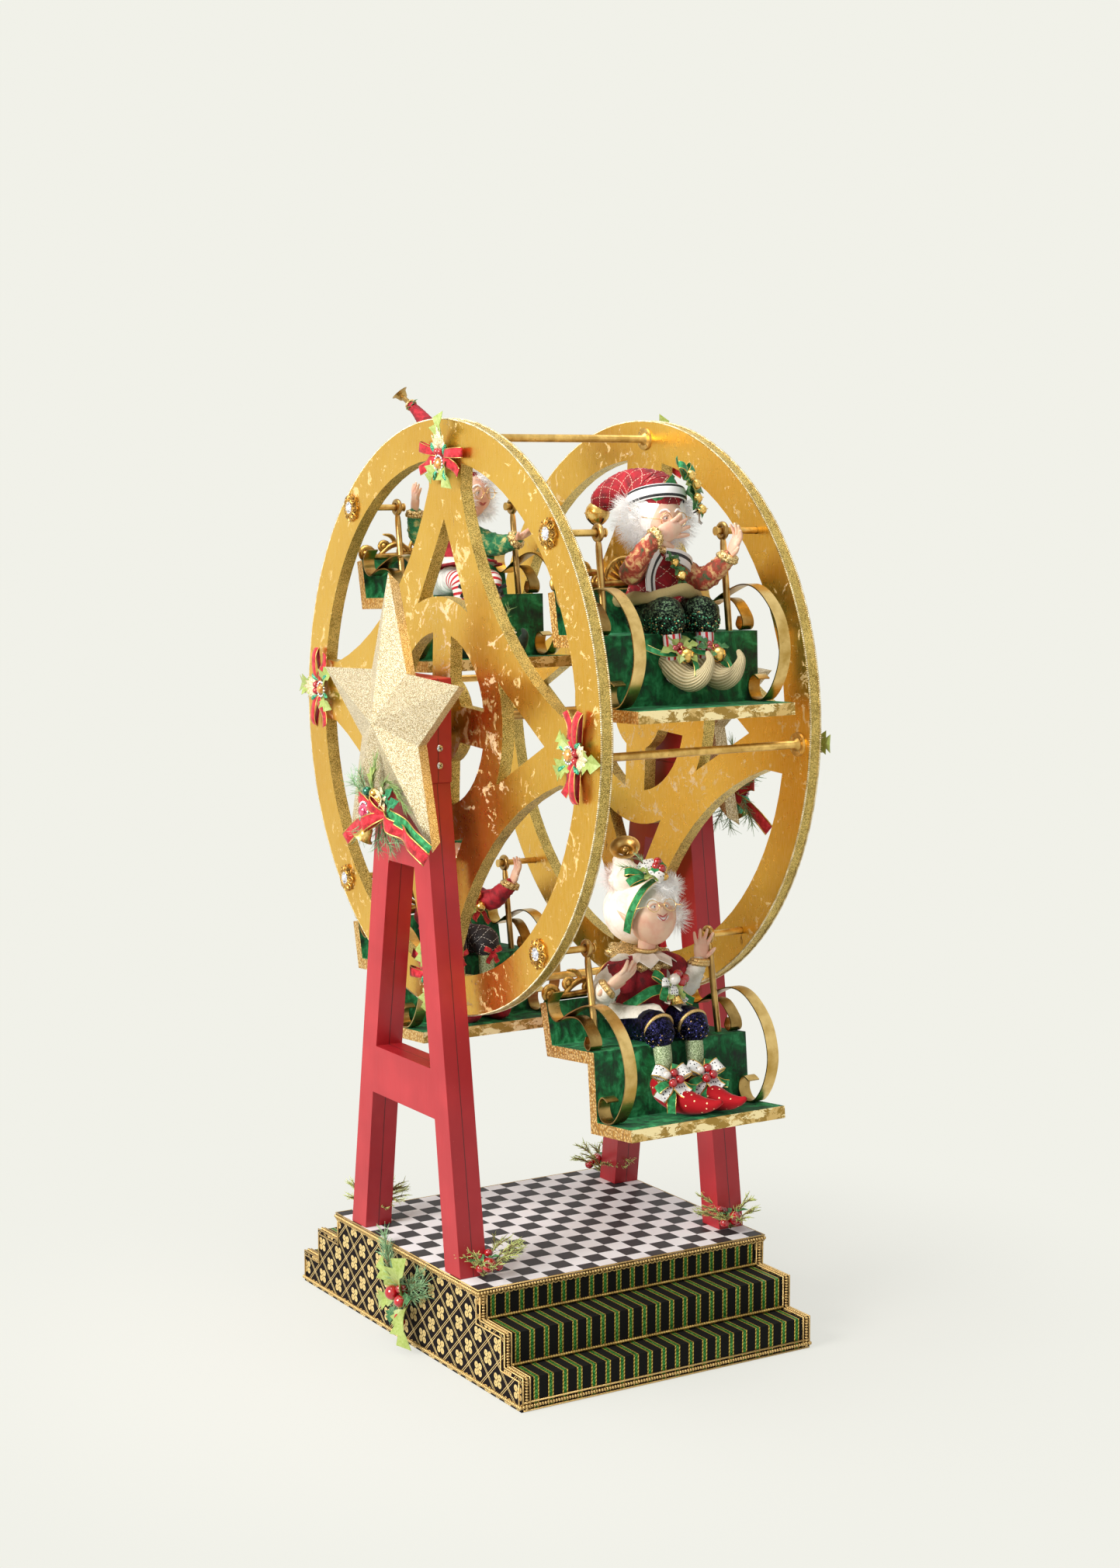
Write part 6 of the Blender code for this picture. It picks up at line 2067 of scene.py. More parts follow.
def leg(piece, sign, breeches, hose, puff=1.0, foot=0.0, short=False):
    """A thigh and knee in breeches, then the stocking down to the shoe; short breeches end on the thigh."""
    knee = (sign * 0.024, 0.008, 0.02 + foot * 0.2)
    line = [(sign * 0.012, -0.048, 0.0175), (sign * 0.02, -0.018, 0.0205), knee,
            (sign * 0.0232, 0.013, 0.013)]
    radii = [0.0182 * puff, 0.019 * puff, 0.0186 * puff, 0.0165 * puff]
    shin = [(sign * 0.0226, 0.012, 0.012), (sign * 0.022, 0.015, -0.01)]
    widths = [0.01, 0.0104, 0.0086, 0.0088]
    if short:
        line = [line[0], (sign * 0.016, -0.033, 0.02), (sign * 0.0195, -0.019, 0.0205),
                (sign * 0.0215, -0.012, 0.0205)]
        shin = [(sign * 0.02, -0.019, 0.021), (sign * 0.0238, 0.006, 0.019)] + shin
        widths = [0.013, 0.0135, 0.0125] + widths[1:]
    sleeve(piece, line, radii, breeches, 0.05, sign)
    line = [seat_spot(*p) for p in shin]
    line += [foot_spot(sign * 0.0212, 0.015, 0.042 + foot * 0.5),
             foot_spot(sign * 0.021, 0.014, 0.02 + foot)]
    piece.tube(line, widths, hose, 18, steps=5, up=(0, 1, 0))


def shoe(piece, sign, finish, shape, fat=1.0, turn=0.0):
    """A pointed shoe along (forward, up) points; turn swings its toe towards +X."""
    x0 = sign * 0.021
    radii = [fat * r for r in (0.0088, 0.012, 0.0128, 0.0116, 0.008, 0.0046, 0.0026)]
    heel = shape[1][0]
    line = []
    for (ahead, up), r in zip(shape, radii):
        line.append((*foot_spot(x0 + (ahead - heel) * sin(turn), heel + (ahead - heel) * cos(turn), up), r))
    joined = smooth_path(line, 6)
    piece.tube([Vector(p[:3]) for p in joined], [p[3] for p in joined], finish, 22, 0.92, up=(1, 0, 0))
    ankle = foot_spot(x0, heel + 0.003, shape[1][1] + 0.0125 * fat)
    gathered(piece, ankle, (0, 0.1, 1), 0.0098, 0.006, finish, 10, 0.05)


FLAT_SHOE = ((0.002, 0.015), (0.01, 0.0125), (0.028, 0.0125), (0.048, 0.0118), (0.062, 0.0165),
             (0.07, 0.028), (0.067, 0.034))
DIPPED_SHOE = ((0.004, 0.048), (0.01, 0.045), (0.024, 0.035), (0.04, 0.029), (0.056, 0.035), (0.065, 0.05),
               (0.062, 0.059))
LONG_SHOE = ((0.004, 0.033), (0.011, 0.027), (0.029, 0.019), (0.048, 0.0155), (0.066, 0.014),
             (0.082, 0.016), (0.09, 0.019))


def spray(piece, spot, size, holly=HOLLY, berries=3, bells=0, seed=1, leaves=4, finish=None):
    """A small cluster of leaves, berries and bells."""
    rng = random.Random(seed)
    for k in range(leaves):
        turn = 2 * pi * k / leaves + rng.uniform(-0.3, 0.3)
        holly_leaf(piece, lift(spot, 0, 0, size * 0.08, turn, rng.uniform(0.15, 0.45)),
                   size * rng.uniform(0.85, 1.15), holly, 0.5)
    for k in range(berries):
        a = 2 * pi * k / max(berries, 1) + seed
        piece.ball(spot @ Vector((size * 0.24 * cos(a), size * 0.24 * sin(a), size * 0.26)), size * 0.19,
                   finish or BERRY, detail=2)
    for k in range(bells):
        a = 2 * pi * k / max(bells, 1) + seed * 2.0
        reach = size * 0.36 if bells > 1 else 0.0
        at = spot @ Vector((reach * cos(a), reach * sin(a), size * 0.45))
        jingle_bell(piece, at, spot.to_3x3() @ Vector((0.3, 0.2, -1.0)), size * 0.3)


def placed(at, way):
    """A place at a point, whose +Z looks along (x, forward, up)."""
    return Matrix.Translation(at) @ turn_to(at_front(way))


def start(place_name, part):
    return Piece(f"doll_{place_name}_{part}", f"seat_{place_name}",
                 "doll_cloth" if part == "body" else "doll_head", pivot(place_name))


HEAD_SIZE = (0.0275, 0.032, 0.029)


def hoop(piece, at, way, radius, thick, finish, flat=1.0):
    """A ring about a direction."""
    turn = Matrix.Translation(at) @ turn_to(way)
    angles = [2 * pi * k / 40 for k in range(40)]
    path = [turn @ Vector((radius * cos(a), radius * sin(a), 0)) for a in angles]
    piece.tube(path, [thick] * 40, finish, 12, flat, up=way, closed=True)


def arm(piece, points, cloth, cuff, hand_way, palm_way, size=0.04, thumb=1,
        radii=(0.014, 0.0138, 0.0118, 0.01), curl=0.5, spread=0.16, seed=0.0):
    """A sleeve from the shoulder, a gathered cuff and a hand."""
    path = sleeve(piece, points, radii, cloth, 0.08, seed)
    wrist = path[-1]
    way = (path[-1] - path[-3]).normalized()
    for k, share in enumerate((0.0, 1.0)):
        gathered(piece, wrist + way * (0.0035 * share), at_front(hand_way), 0.0112 * (1.0 - 0.12 * k),
                 0.006, cuff, 12, 0.12)
    hand(piece, wrist + way * 0.004, at_front(hand_way), at_front(palm_way), size, spread, curl, thumb)


def seat_of_breeches(piece, finish):
    """The hips, which sit on the seat."""
    folds(piece, [(0, -0.055, 0.0012, 0.026, 0.02, 0.02), (0, -0.055, 0.01, 0.033, 0.026, 0.04),
                  (0, -0.054, 0.026, 0.033, 0.027, 0.05), (0, -0.052, 0.04, 0.027, 0.023, 0.02)], finish, 7)


def neck(piece, centre):
    piece.tube([seat_spot(0, -0.047, 0.078), seat_spot(0, -0.045, 0.092), seat_spot(*centre)],
               [0.011, 0.01, 0.0105], SKIN, 14)


def hairline(way):
    """Where hair grows on a head: all but the face."""
    return way.z < 0.5 and way.y < 0.5


def hair_mass(name, spot, radii, rider, length, density, seed):
    """A soft core of hair with loose strands over it."""
    shift = (0, 0.004, -0.005)
    piece = start(rider, name)
    piece.ball(spot @ Vector(shift), 1.0, HAIR, (radii[0] * 0.97, radii[1] * 0.97, radii[2] * 0.97),
               spot.to_3x3().to_4x4(), 4)
    piece.done()
    place = pivot(rider) @ spot
    hair(f"doll_{rider}_{name}_strands", f"seat_{rider}", place, shift, radii, hairline, length, density,
         seed)


COLLAR_T = 0.0012


def pointed_collar(piece, points, finish):
    """A pointed collar: a fan of points around the neck, each (angle, reach, drop)."""
    for a0, a1, reach, drop in points:
        inner0 = seat_spot(0.0115 * sin(a0), -0.046 + 0.0115 * cos(a0), 0.101)
        inner1 = seat_spot(0.0115 * sin(a1), -0.046 + 0.0115 * cos(a1), 0.101)
        middle = (a0 + a1) / 2
        tip = seat_spot(reach * sin(middle), -0.046 + reach * 0.92 * cos(middle), 0.101 - drop)
        left = seat_spot(reach * 0.8 * sin(a0), -0.046 + reach * 0.75 * cos(a0), 0.101 - drop * 0.45)
        right = seat_spot(reach * 0.8 * sin(a1), -0.046 + reach * 0.75 * cos(a1), 0.101 - drop * 0.45)
        rows = []
        for t in range(9):
            s = t / 8
            start_at = inner0.lerp(inner1, s)
            bend = left.lerp(tip, s * 2) if s < 0.5 else tip.lerp(right, s * 2 - 1)
            mid = start_at.lerp(bend, 0.5) + Vector((0, 0, 0.0022))
            rows.append([start_at, mid, bend])
        rings = []
        for row in rows:
            low = [p - Vector((0, 0, COLLAR_T)) for p in row]
            rings.append(row + low[::-1])
        piece.loft(rings, finish)


def rider_front_top():
    """Red lattice tunic and hat, one hand over the mouth."""
    name = "front_top"
    body = start(name, "body")
    seat_of_breeches(body, BLACK_SEQUIN)
    folds(body, [(0, -0.05, 0.035, 0.037, 0.04, 0.03), (0, -0.052, 0.044, 0.033, 0.031, 0.05),
                 (0, -0.051, 0.06, 0.029, 0.0255, 0.04), (0, -0.049, 0.074, 0.03, 0.022, 0.03),
                 (0, -0.047, 0.085, 0.023, 0.0175, 0.02), (0, -0.046, 0.092, 0.0135, 0.013, 0.0)],
          RED_LATTICE)
    hem = []
    for k in range(44):
        a = 2 * pi * k / 44
        over = max(0.0, cos(a))
        hem.append(seat_spot(0.041 * sin(a), -0.048 + 0.049 * cos(a),
                             0.0375 + 0.008 * over + 0.0035 * over * cos(4 * a)))
    body.tube(hem, [0.0072 + 0.001 * sin(k * 1.3) for k in range(44)], RIBBED_HEM, 14, closed=True)
    left = seat_line((-0.01, -0.026, 0.09), (-0.02, -0.0215, 0.08), (-0.0275, -0.019, 0.064),
                     (-0.031, -0.013, 0.047))
    right = seat_line((-0.002, -0.025, 0.089), (0.013, -0.0205, 0.086), (0.027, -0.0215, 0.079),
                      (0.036, -0.029, 0.069))
    rear = seat_line((-0.01, -0.027, 0.09), (-0.025, -0.033, 0.09), (-0.038, -0.048, 0.08))
    for path in (left, right, rear):
        body.ribbon(path, 0.015, (0.2, 0.1, 1.0) if path is not left else (1, 0.35, 0.1), BAND_STRIPES,
                    0.0014, 6)
    gathered(body, seat_spot(0, -0.0455, 0.093), (0, 0, 1), 0.015, 0.009, LAME, 11, 0.16)
    neck(body, (0, -0.044, 0.104))
    arm(body, [(-0.023, -0.048, 0.079), (-0.044, -0.032, 0.069), (-0.043, -0.014, 0.088),
               (-0.031, -0.005, 0.106)], PRINTED_SLEEVE,
        LAME, (0.93, 0.02, 0.3), (0.0, -1.0, 0.0), 0.05, -1, curl=0.22, seed=1.0)
    arm(body, [(0.022, -0.048, 0.079), (0.044, -0.025, 0.06), (0.053, -0.006, 0.07), (0.06, 0.006, 0.083)],
        PRINTED_SLEEVE, LAME, (0.22, 0.42, 0.88), (-0.8, 0.1, 0.5), 0.04, 1, curl=0.8, seed=2.0)
    for sign in (-1, 1):
        leg(body, sign, BLACK_SEQUIN, RED_WHITE_HOSE, 1.0, 0.014)
        shoe(body, sign, RIBBED_SHOE, DIPPED_SHOE, 1.15, 0.3)
    for x, forward, up, turn in ((0.0, -0.0215, 0.083, 0.4), (0.006, -0.02, 0.073, 1.4),
                                 (0.01, -0.018, 0.061, 2.4)):
        spot = placed(seat_spot(x, forward, up), (0.1, 1, 0.2)) @ Matrix.Rotation(turn, 4, "Z")
        spray(body, spot, 0.0125, DARK_HOLLY, 0, 0, 3, 4)
    jingle_bell(body, seat_spot(0.004, -0.017, 0.079), at_front((0.2, 0.6, -1)), 0.005)
    jingle_bell(body, seat_spot(0.01, -0.013, 0.064), at_front((0.2, 0.6, -1)), 0.0062)
    for sign in (-1, 1):
        spot = placed(foot_spot(sign * 0.0215, 0.025, 0.058), (0.1 * sign, 0.7, 0.7))
        spray(body, spot, 0.025, HOLLY if sign < 0 else DARK_HOLLY, 4, 0, 7 + sign, 6)
        jingle_bell(body, foot_spot(sign * 0.0215 + 0.004, 0.035, 0.056), at_front((0.1, 0.5, -1)), 0.0088)
        for reach in (1, -1):
            tail = [(0, 0, 0.002), (0.012, 0.002, 0.006), (0.024, -0.008, 0.004), (0.031, -0.022, 0.002)]
            ribbon_tail(body, lift(spot, 0, 0, 0, radians(200 if reach > 0 else -40)), tail, 0.0068,
                        GREEN_RIBBON, EDGING)
    body.done((f"rider_{name}_body",), radians(60))
    cover_breeches(name, "sequins", 0.019, SEQUIN_DARK, 150000.0, 0.001, 2)
    cover_breeches(name, "green_sequins", 0.0192, SEQUIN_GREEN, 34000.0, 0.0011, 12)
    cover_breeches(name, "gold_sequins", 0.0193, SEQUIN_GOLD, 14000.0, 0.001, 13)

    spot = placed(seat_spot(0.0, -0.043, 0.129), (0.0, 1.0, -0.1))
    head = start(name, "head")
    head_form(head, spot, HEAD_SIZE, 0.5)
    spectacles(head, spot, HEAD_SIZE)
    hat = [(0.0, -0.048, 0.151), (-0.002, -0.057, 0.158), (-0.009, -0.068, 0.165), (-0.018, -0.08, 0.166),
           (-0.027, -0.091, 0.161), (-0.034, -0.098, 0.154), (-0.039, -0.103, 0.147),
           (-0.041, -0.106, 0.142)]
    wrinkled_hat(head, hat, (0.031, 0.0285, 0.0225, 0.0185, 0.0165, 0.0155, 0.013, 0.006), RED_LATTICE)
    hoop(head, seat_spot(0.0, -0.046, 0.151), at_front((0.06, -0.3, 1)), 0.0325, 0.0024, BAND_STRIPES, 3.4)
    jingle_bell(head, seat_spot(-0.041, -0.106, 0.137), at_front((0, 0, -1)), 0.014)
    ribbon = seat_line((-0.016, -0.023, 0.148), (-0.011, -0.019, 0.156), (0.0, -0.02, 0.166),
                       (0.012, -0.027, 0.173))
    head.ribbon(ribbon, 0.0125, (0.55, 0.1, -0.8), GREEN_RIBBON, 0.001, 6, EDGING, 0.0006)
    side = placed(seat_spot(0.024, -0.025, 0.156), (0.55, 0.75, 0.3))
    spray(head, side, 0.027, DARK_HOLLY, 0, 0, 5, 6)
    spray(head, lift(side, 0.004, 0.012, 0.005), 0.02, HOLLY, 2, 2, 9, 4, PEARL)
    spray(head, lift(side, 0.004, -0.016, 0.004), 0.019, DARK_HOLLY, 0, 2, 4, 4)
    bow(head, lift(side, -0.004, 0.016, 0.006), 0.024, 0.01, GREEN_RIBBON, EDGING, (0.6, 2.5),
        ((2.0, 0.026),))
    bow(head, lift(side, 0.008, -0.02, 0.002), 0.013, 0.0075, BAND_STRIPES, None, (0.2, 3.4),
        ((5.0, 0.018),))
    head.done((f"rider_{name}_head",), radians(60))
    hair_mass("hair", spot, (0.0365, 0.035, 0.031), name, 0.018, 460000.0, 3)


def wrinkled_hat(piece, points, radii, finish, wrinkle=0.03):
    """A soft pointed hat along a path."""
    sleeve(piece, points, radii, finish, wrinkle, 0.4, 28)


def breech_lines():
    """Where breeches lie on both legs, for sequins to cover."""
    lines = []
    for sign in (-1, 1):
        path = seat_line((sign * 0.012, -0.048, 0.0175), (sign * 0.016, -0.033, 0.0185),
                         (sign * 0.02, -0.018, 0.0195), (sign * 0.022, -0.005, 0.02),
                         (sign * 0.024, 0.008, 0.0195), (sign * 0.0234, 0.014, 0.01))
        lines.append(path)
    return lines


def cover_breeches(rider, label, puff, finish, density, size, seed):
    """Sequins over soft breeches that are puff thick."""
    bm = bmesh.new()
    for path in breech_lines():
        for a, b in zip(path, path[1:]):
            at = pivot(rider) @ Matrix.Translation((a + b) / 2)
            bmesh.ops.create_icosphere(bm, subdivisions=2, radius=puff, matrix=at)
    mesh = bpy.data.meshes.new("sequin_host")
    bm.to_mesh(mesh)
    bm.free()
    spread_over(SEQUINS, f"doll_{rider}_{label}", mesh, finish, f"seat_{rider}", "doll_cloth",
                Density=density, Size=size, Tilt=0.5, Seed=seed)


def rider_front_bottom():
    """Looks up and laughs: satin cap with a horn bell, red velvet coat."""
    name = "front_bottom"
    body = start(name, "body")
    seat_of_breeches(body, NAVY_SEQUIN)
    folds(body, [(0, -0.05, 0.03, 0.037, 0.037, 0.04), (0, -0.052, 0.044, 0.033, 0.03, 0.05),
                 (0, -0.051, 0.06, 0.029, 0.025, 0.04), (0, -0.049, 0.079, 0.031, 0.0225, 0.03),
                 (0, -0.047, 0.093, 0.024, 0.0185, 0.02), (0, -0.046, 0.1, 0.0135, 0.013, 0.0)],
          RED_VELVET, 7, 1.0)
    for sign in (-1, 1):
        skirt = []
        for k in range(13):
            s = k / 12
            a = sign * (0.25 + 2.2 * s)
            ripple = 1 + 0.06 * sin(k * 2.1)
            top = seat_spot(0.03 * sin(a), -0.05 + 0.03 * cos(a), 0.044)
            mid = seat_spot(0.04 * sin(a) * ripple, -0.049 + 0.045 * cos(a), 0.043)
            low = seat_spot(0.045 * sin(a) * ripple, -0.046 + 0.054 * cos(a) * ripple, 0.036 - 0.012 * s)
            skirt.append([top, mid, low, low - Vector((0, 0, 0.0014)), mid - Vector((0, 0, 0.0014)),
                          top - Vector((0, 0, 0.0014))])
        body.loft(skirt, LINEN)
    sash = seat_line((-0.034, -0.042, 0.04), (-0.028, -0.023, 0.05), (-0.012, -0.019, 0.058),
                     (0.004, -0.017, 0.06))
    body.ribbon(sash, 0.011, (0, 0.3, 1), GREEN_RIBBON, 0.0012, 6, EDGING, 0.0006)
    ruff = seat_spot(0, -0.056, 0.096)
    gathered(body, ruff, at_front((0, 0.35, 1)), 0.034, 0.012, LAME, 12, 0.18)
    collar = [(radians(a), radians(a + 44), 0.04, 0.015) for a in (-88, -44, 0, 44)]
    pointed_collar(body, collar, SATIN)
    hoop(body, seat_spot(0, -0.044, 0.105), at_front((0, 0.2, 1)), 0.0125, 0.0026, BRAID)
    neck(body, (0, -0.04, 0.112))
    arm(body, [(-0.03, -0.049, 0.086), (-0.06, -0.047, 0.061), (-0.068, -0.034, 0.062),
               (-0.07, -0.022, 0.067)], SHEER, BRAID,
        (0.62, 0.38, 0.5), (0.1, -0.7, 0.7), 0.045, -1, (0.016, 0.0165, 0.013, 0.0095), 0.5, 0.08, seed=0.5)
    arm(body, [(0.023, -0.049, 0.08), (0.046, -0.04, 0.059), (0.056, -0.032, 0.07), (0.062, -0.027, 0.083)],
        SHEER, BRAID, (0.12, 0.1, 1.0), (-0.4, 1.0, 0.1), 0.04, 1, (0.016, 0.0165, 0.013, 0.0095), 0.3,
        0.24, seed=1.5)
    for side in (-1, 1):
        folds(body, [(side * 0.032, -0.047, 0.058, 0.014, 0.016, 0.08),
                     (side * 0.037, -0.047, 0.075, 0.0195, 0.02, 0.08),
                     (side * 0.033, -0.048, 0.09, 0.0185, 0.0185, 0.06),
                     (side * 0.025, -0.049, 0.099, 0.008, 0.009, 0.0)],
              RED_VELVET, 5)
    for sign in (-1, 1):
        leg(body, sign, NAVY_SEQUIN, GREEN_GLITTER)
        hoop(body, seat_spot(sign * 0.0232, 0.011, 0.02), at_front((0.0, 1.0, -0.55)), 0.0172, 0.0022,
             BRAID)
        shoe(body, sign, DOTTED_VELVET, LONG_SHOE, 1.2, 0.34 if sign < 0 else 0.2)
        spot = placed(foot_spot(sign * 0.023, 0.031, 0.04), (-0.25, 0.75, 0.6))
        bow(body, spot, 0.024, 0.015, POLKA, EDGING, (0.5, 2.6), ((4.0, 0.03), (5.4, 0.024)), 0.4)
        bow(body, lift(spot, 0, -0.002, -0.002), 0.023, 0.0095, GREEN_RIBBON, EDGING, (1.2, 3.6),
            ((4.5, 0.04), (5.9, 0.028)))
        for x, y in ((-0.006, 0.004), (0.003, 0.006), (0.008, -0.003), (-0.001, -0.007)):
            body.ball(spot @ Vector((x, y, 0.009)), 0.0052, BERRY if x > -0.005 else PEARL, detail=3)
        spray(body, lift(spot, 0, 0.003, 0.002), 0.012, DARK_HOLLY, 0, 0, 4 + sign, 3)
    waist = placed(seat_spot(0.01, -0.012, 0.061), (0.05, 0.9, 0.4))
    bow(body, lift(waist, -0.006, 0.004, 0.0), 0.021, 0.01, GREEN_RIBBON, EDGING, (2.4, 0.3),
        ((5.6, 0.04), (4.2, 0.022)))
    bow(body, lift(waist, 0.0, 0.002, 0.003), 0.015, 0.01, POLKA, None, (2.9, 4.4), ((5.2, 0.026),), 0.4)
    spray(body, lift(waist, 0.002, -0.002, 0.001), 0.019, HOLLY, 0, 0, 6, 5)
    body.ball(waist @ Vector((0.002, 0.006, 0.011)), 0.0068, PEARL, detail=3)
    for x, y in ((0.012, 0.002), (0.01, 0.012), (0.018, 0.006)):
        body.ball(waist @ Vector((x, y, 0.009)), 0.0056, BERRY, detail=3)
    horn_bell(body, seat_spot(0.012, -0.002, 0.042), at_front((0, 0.2, -1)), 0.0105, POLISHED, 1.1)
    body.done((f"rider_{name}_body",), radians(60))
    cover_breeches(name, "sequins", 0.019, SEQUIN_BLUE, 150000.0, 0.001, 4)
    cover_breeches(name, "sky_sequins", 0.0192, SEQUIN_SKY, 16000.0, 0.0011, 14)
    cover_breeches(name, "gold_sequins", 0.0193, SEQUIN_GOLD, 8000.0, 0.001, 15)

    spot = placed(seat_spot(0.006, -0.036, 0.1415), (-0.14, 0.86, 0.4))
    head = start(name, "head")
    head_form(head, spot, (0.0285, 0.0325, 0.03), 1.2)
    spectacles(head, spot, (0.0285, 0.0325, 0.03))
    cap = [(0.0, 0.01, -0.002), (0.0, 0.016, -0.016), (0.0, 0.022, -0.032), (0.0, 0.027, -0.048),
           (0.0, 0.031, -0.061), (0.0, 0.033, -0.069)]
    satin_cap(head, [spot @ Vector(p) for p in cap], (0.032, 0.0385, 0.041, 0.0375, 0.0255, 0.01))
    top = [(-0.006, -0.068, 0.188), (-0.005, -0.076, 0.199), (-0.005, -0.083, 0.207)]
    sleeve(head, top, (0.022, 0.014, 0.008), SATIN, 0.03, 0.1, 24)
    horn_bell(head, seat_spot(0.001, -0.079, 0.222), at_front((-0.45, 0.55, 0.7)), 0.018, AGED, 0.95)
    strap = seat_line((0.004, -0.023, 0.186), (-0.014, -0.02, 0.177), (-0.026, -0.023, 0.16),
                      (-0.03, -0.029, 0.144), (-0.029, -0.037, 0.127))
    head.ribbon(strap, 0.0095, (0.35, -1, -0.1), GREEN_RIBBON, 0.001, 6, EDGING, 0.0006)
    knot = placed(seat_spot(-0.008, -0.023, 0.188), (-0.25, 0.75, 0.6))
    bow(head, knot, 0.027, 0.0095, GREEN_RIBBON, EDGING, (2.9, 3.5, 0.5), ((0.9, 0.02),))
    bow(head, lift(knot, 0.006, 0.004, 0.004), 0.017, 0.011, POLKA, None, (1.7, 5.4), ((2.5, 0.018),), 0.4)
    spray(head, lift(knot, 0.008, 0.003, 0.002), 0.017, HOLLY, 0, 0, 8, 5)
    for x, y in ((0.012, 0.01), (0.018, 0.006), (0.015, 0.016)):
        head.ball(knot @ Vector((x, y, 0.01)), 0.0052, BERRY, detail=3)
    head.ball(knot @ Vector((0.02, -0.004, 0.008)), 0.0048, GOLD_BALL, detail=2)
    head.done((f"rider_{name}_head",), radians(60))
    twig("doll_hat_fir", [[(0, 0, 0.002), (-0.012, 0.01, 0.006), (-0.026, 0.016, 0.004)],
                          [(0.004, 0, 0.002), (0.0, 0.016, 0.006), (-0.004, 0.03, 0.004)]],
         f"seat_{name}", pivot(name) @ knot, NEEDLES, 0.0009, 0.011, 0.0004, 1.2, 21)
    puff = Matrix.Translation(seat_spot(0.018, -0.018, 0.176))
    tufts(name, "fur_front", puff, (0.013, 0.011, 0.011), 0.012, 900000.0, HAIR)
    back = Matrix.Translation(seat_spot(-0.016, -0.076, 0.186))
    tufts(name, "fur_pink", back, (0.011, 0.013, 0.011), 0.014, 500000.0, PINK_FUR)
    side = lift(spot, 0.025, -0.002, 0.006)
    tufts(name, "fur_side", side, (0.01, 0.015, 0.01), 0.015, 700000.0, HAIR)


SHEER = plush("sheer_cream", (0.6, 0.56, 0.46), (0.8, 0.77, 0.68), (0.92, 0.9, 0.84), 60.0, 0.2)
# Pink fur, with the same faint painted glow from its emission.
PINK_FUR = fluffy_with_painted_glow("pink_fur", (0.82, 0.68, 0.64), (0.95, 0.87, 0.84))


def satin_cap(piece, path, radii):
    """A full soft cap with shallow folds."""
    line = smooth_path([(*p, r) for p, r in zip(path, radii)], 8)
    sizes = [p[3] * (1 + 0.012 * sin(i * 1.7)) for i, p in enumerate(line)]
    piece.tube([Vector(p[:3]) for p in line], sizes, SATIN, 40)


def tufts(rider, name, spot, radii, length, density, finish):
    """A ball of fur."""
    piece = start(rider, name)
    piece.ball(spot.to_translation(), 1.0, finish, [r * 0.8 for r in radii], None, 3)
    piece.done()
    hair(f"doll_{rider}_{name}_strands", f"seat_{rider}", pivot(rider) @ spot, (0, 0, 0),
         [r * 0.8 for r in radii], lambda way: True, length, density, 5, 0.6, finish)


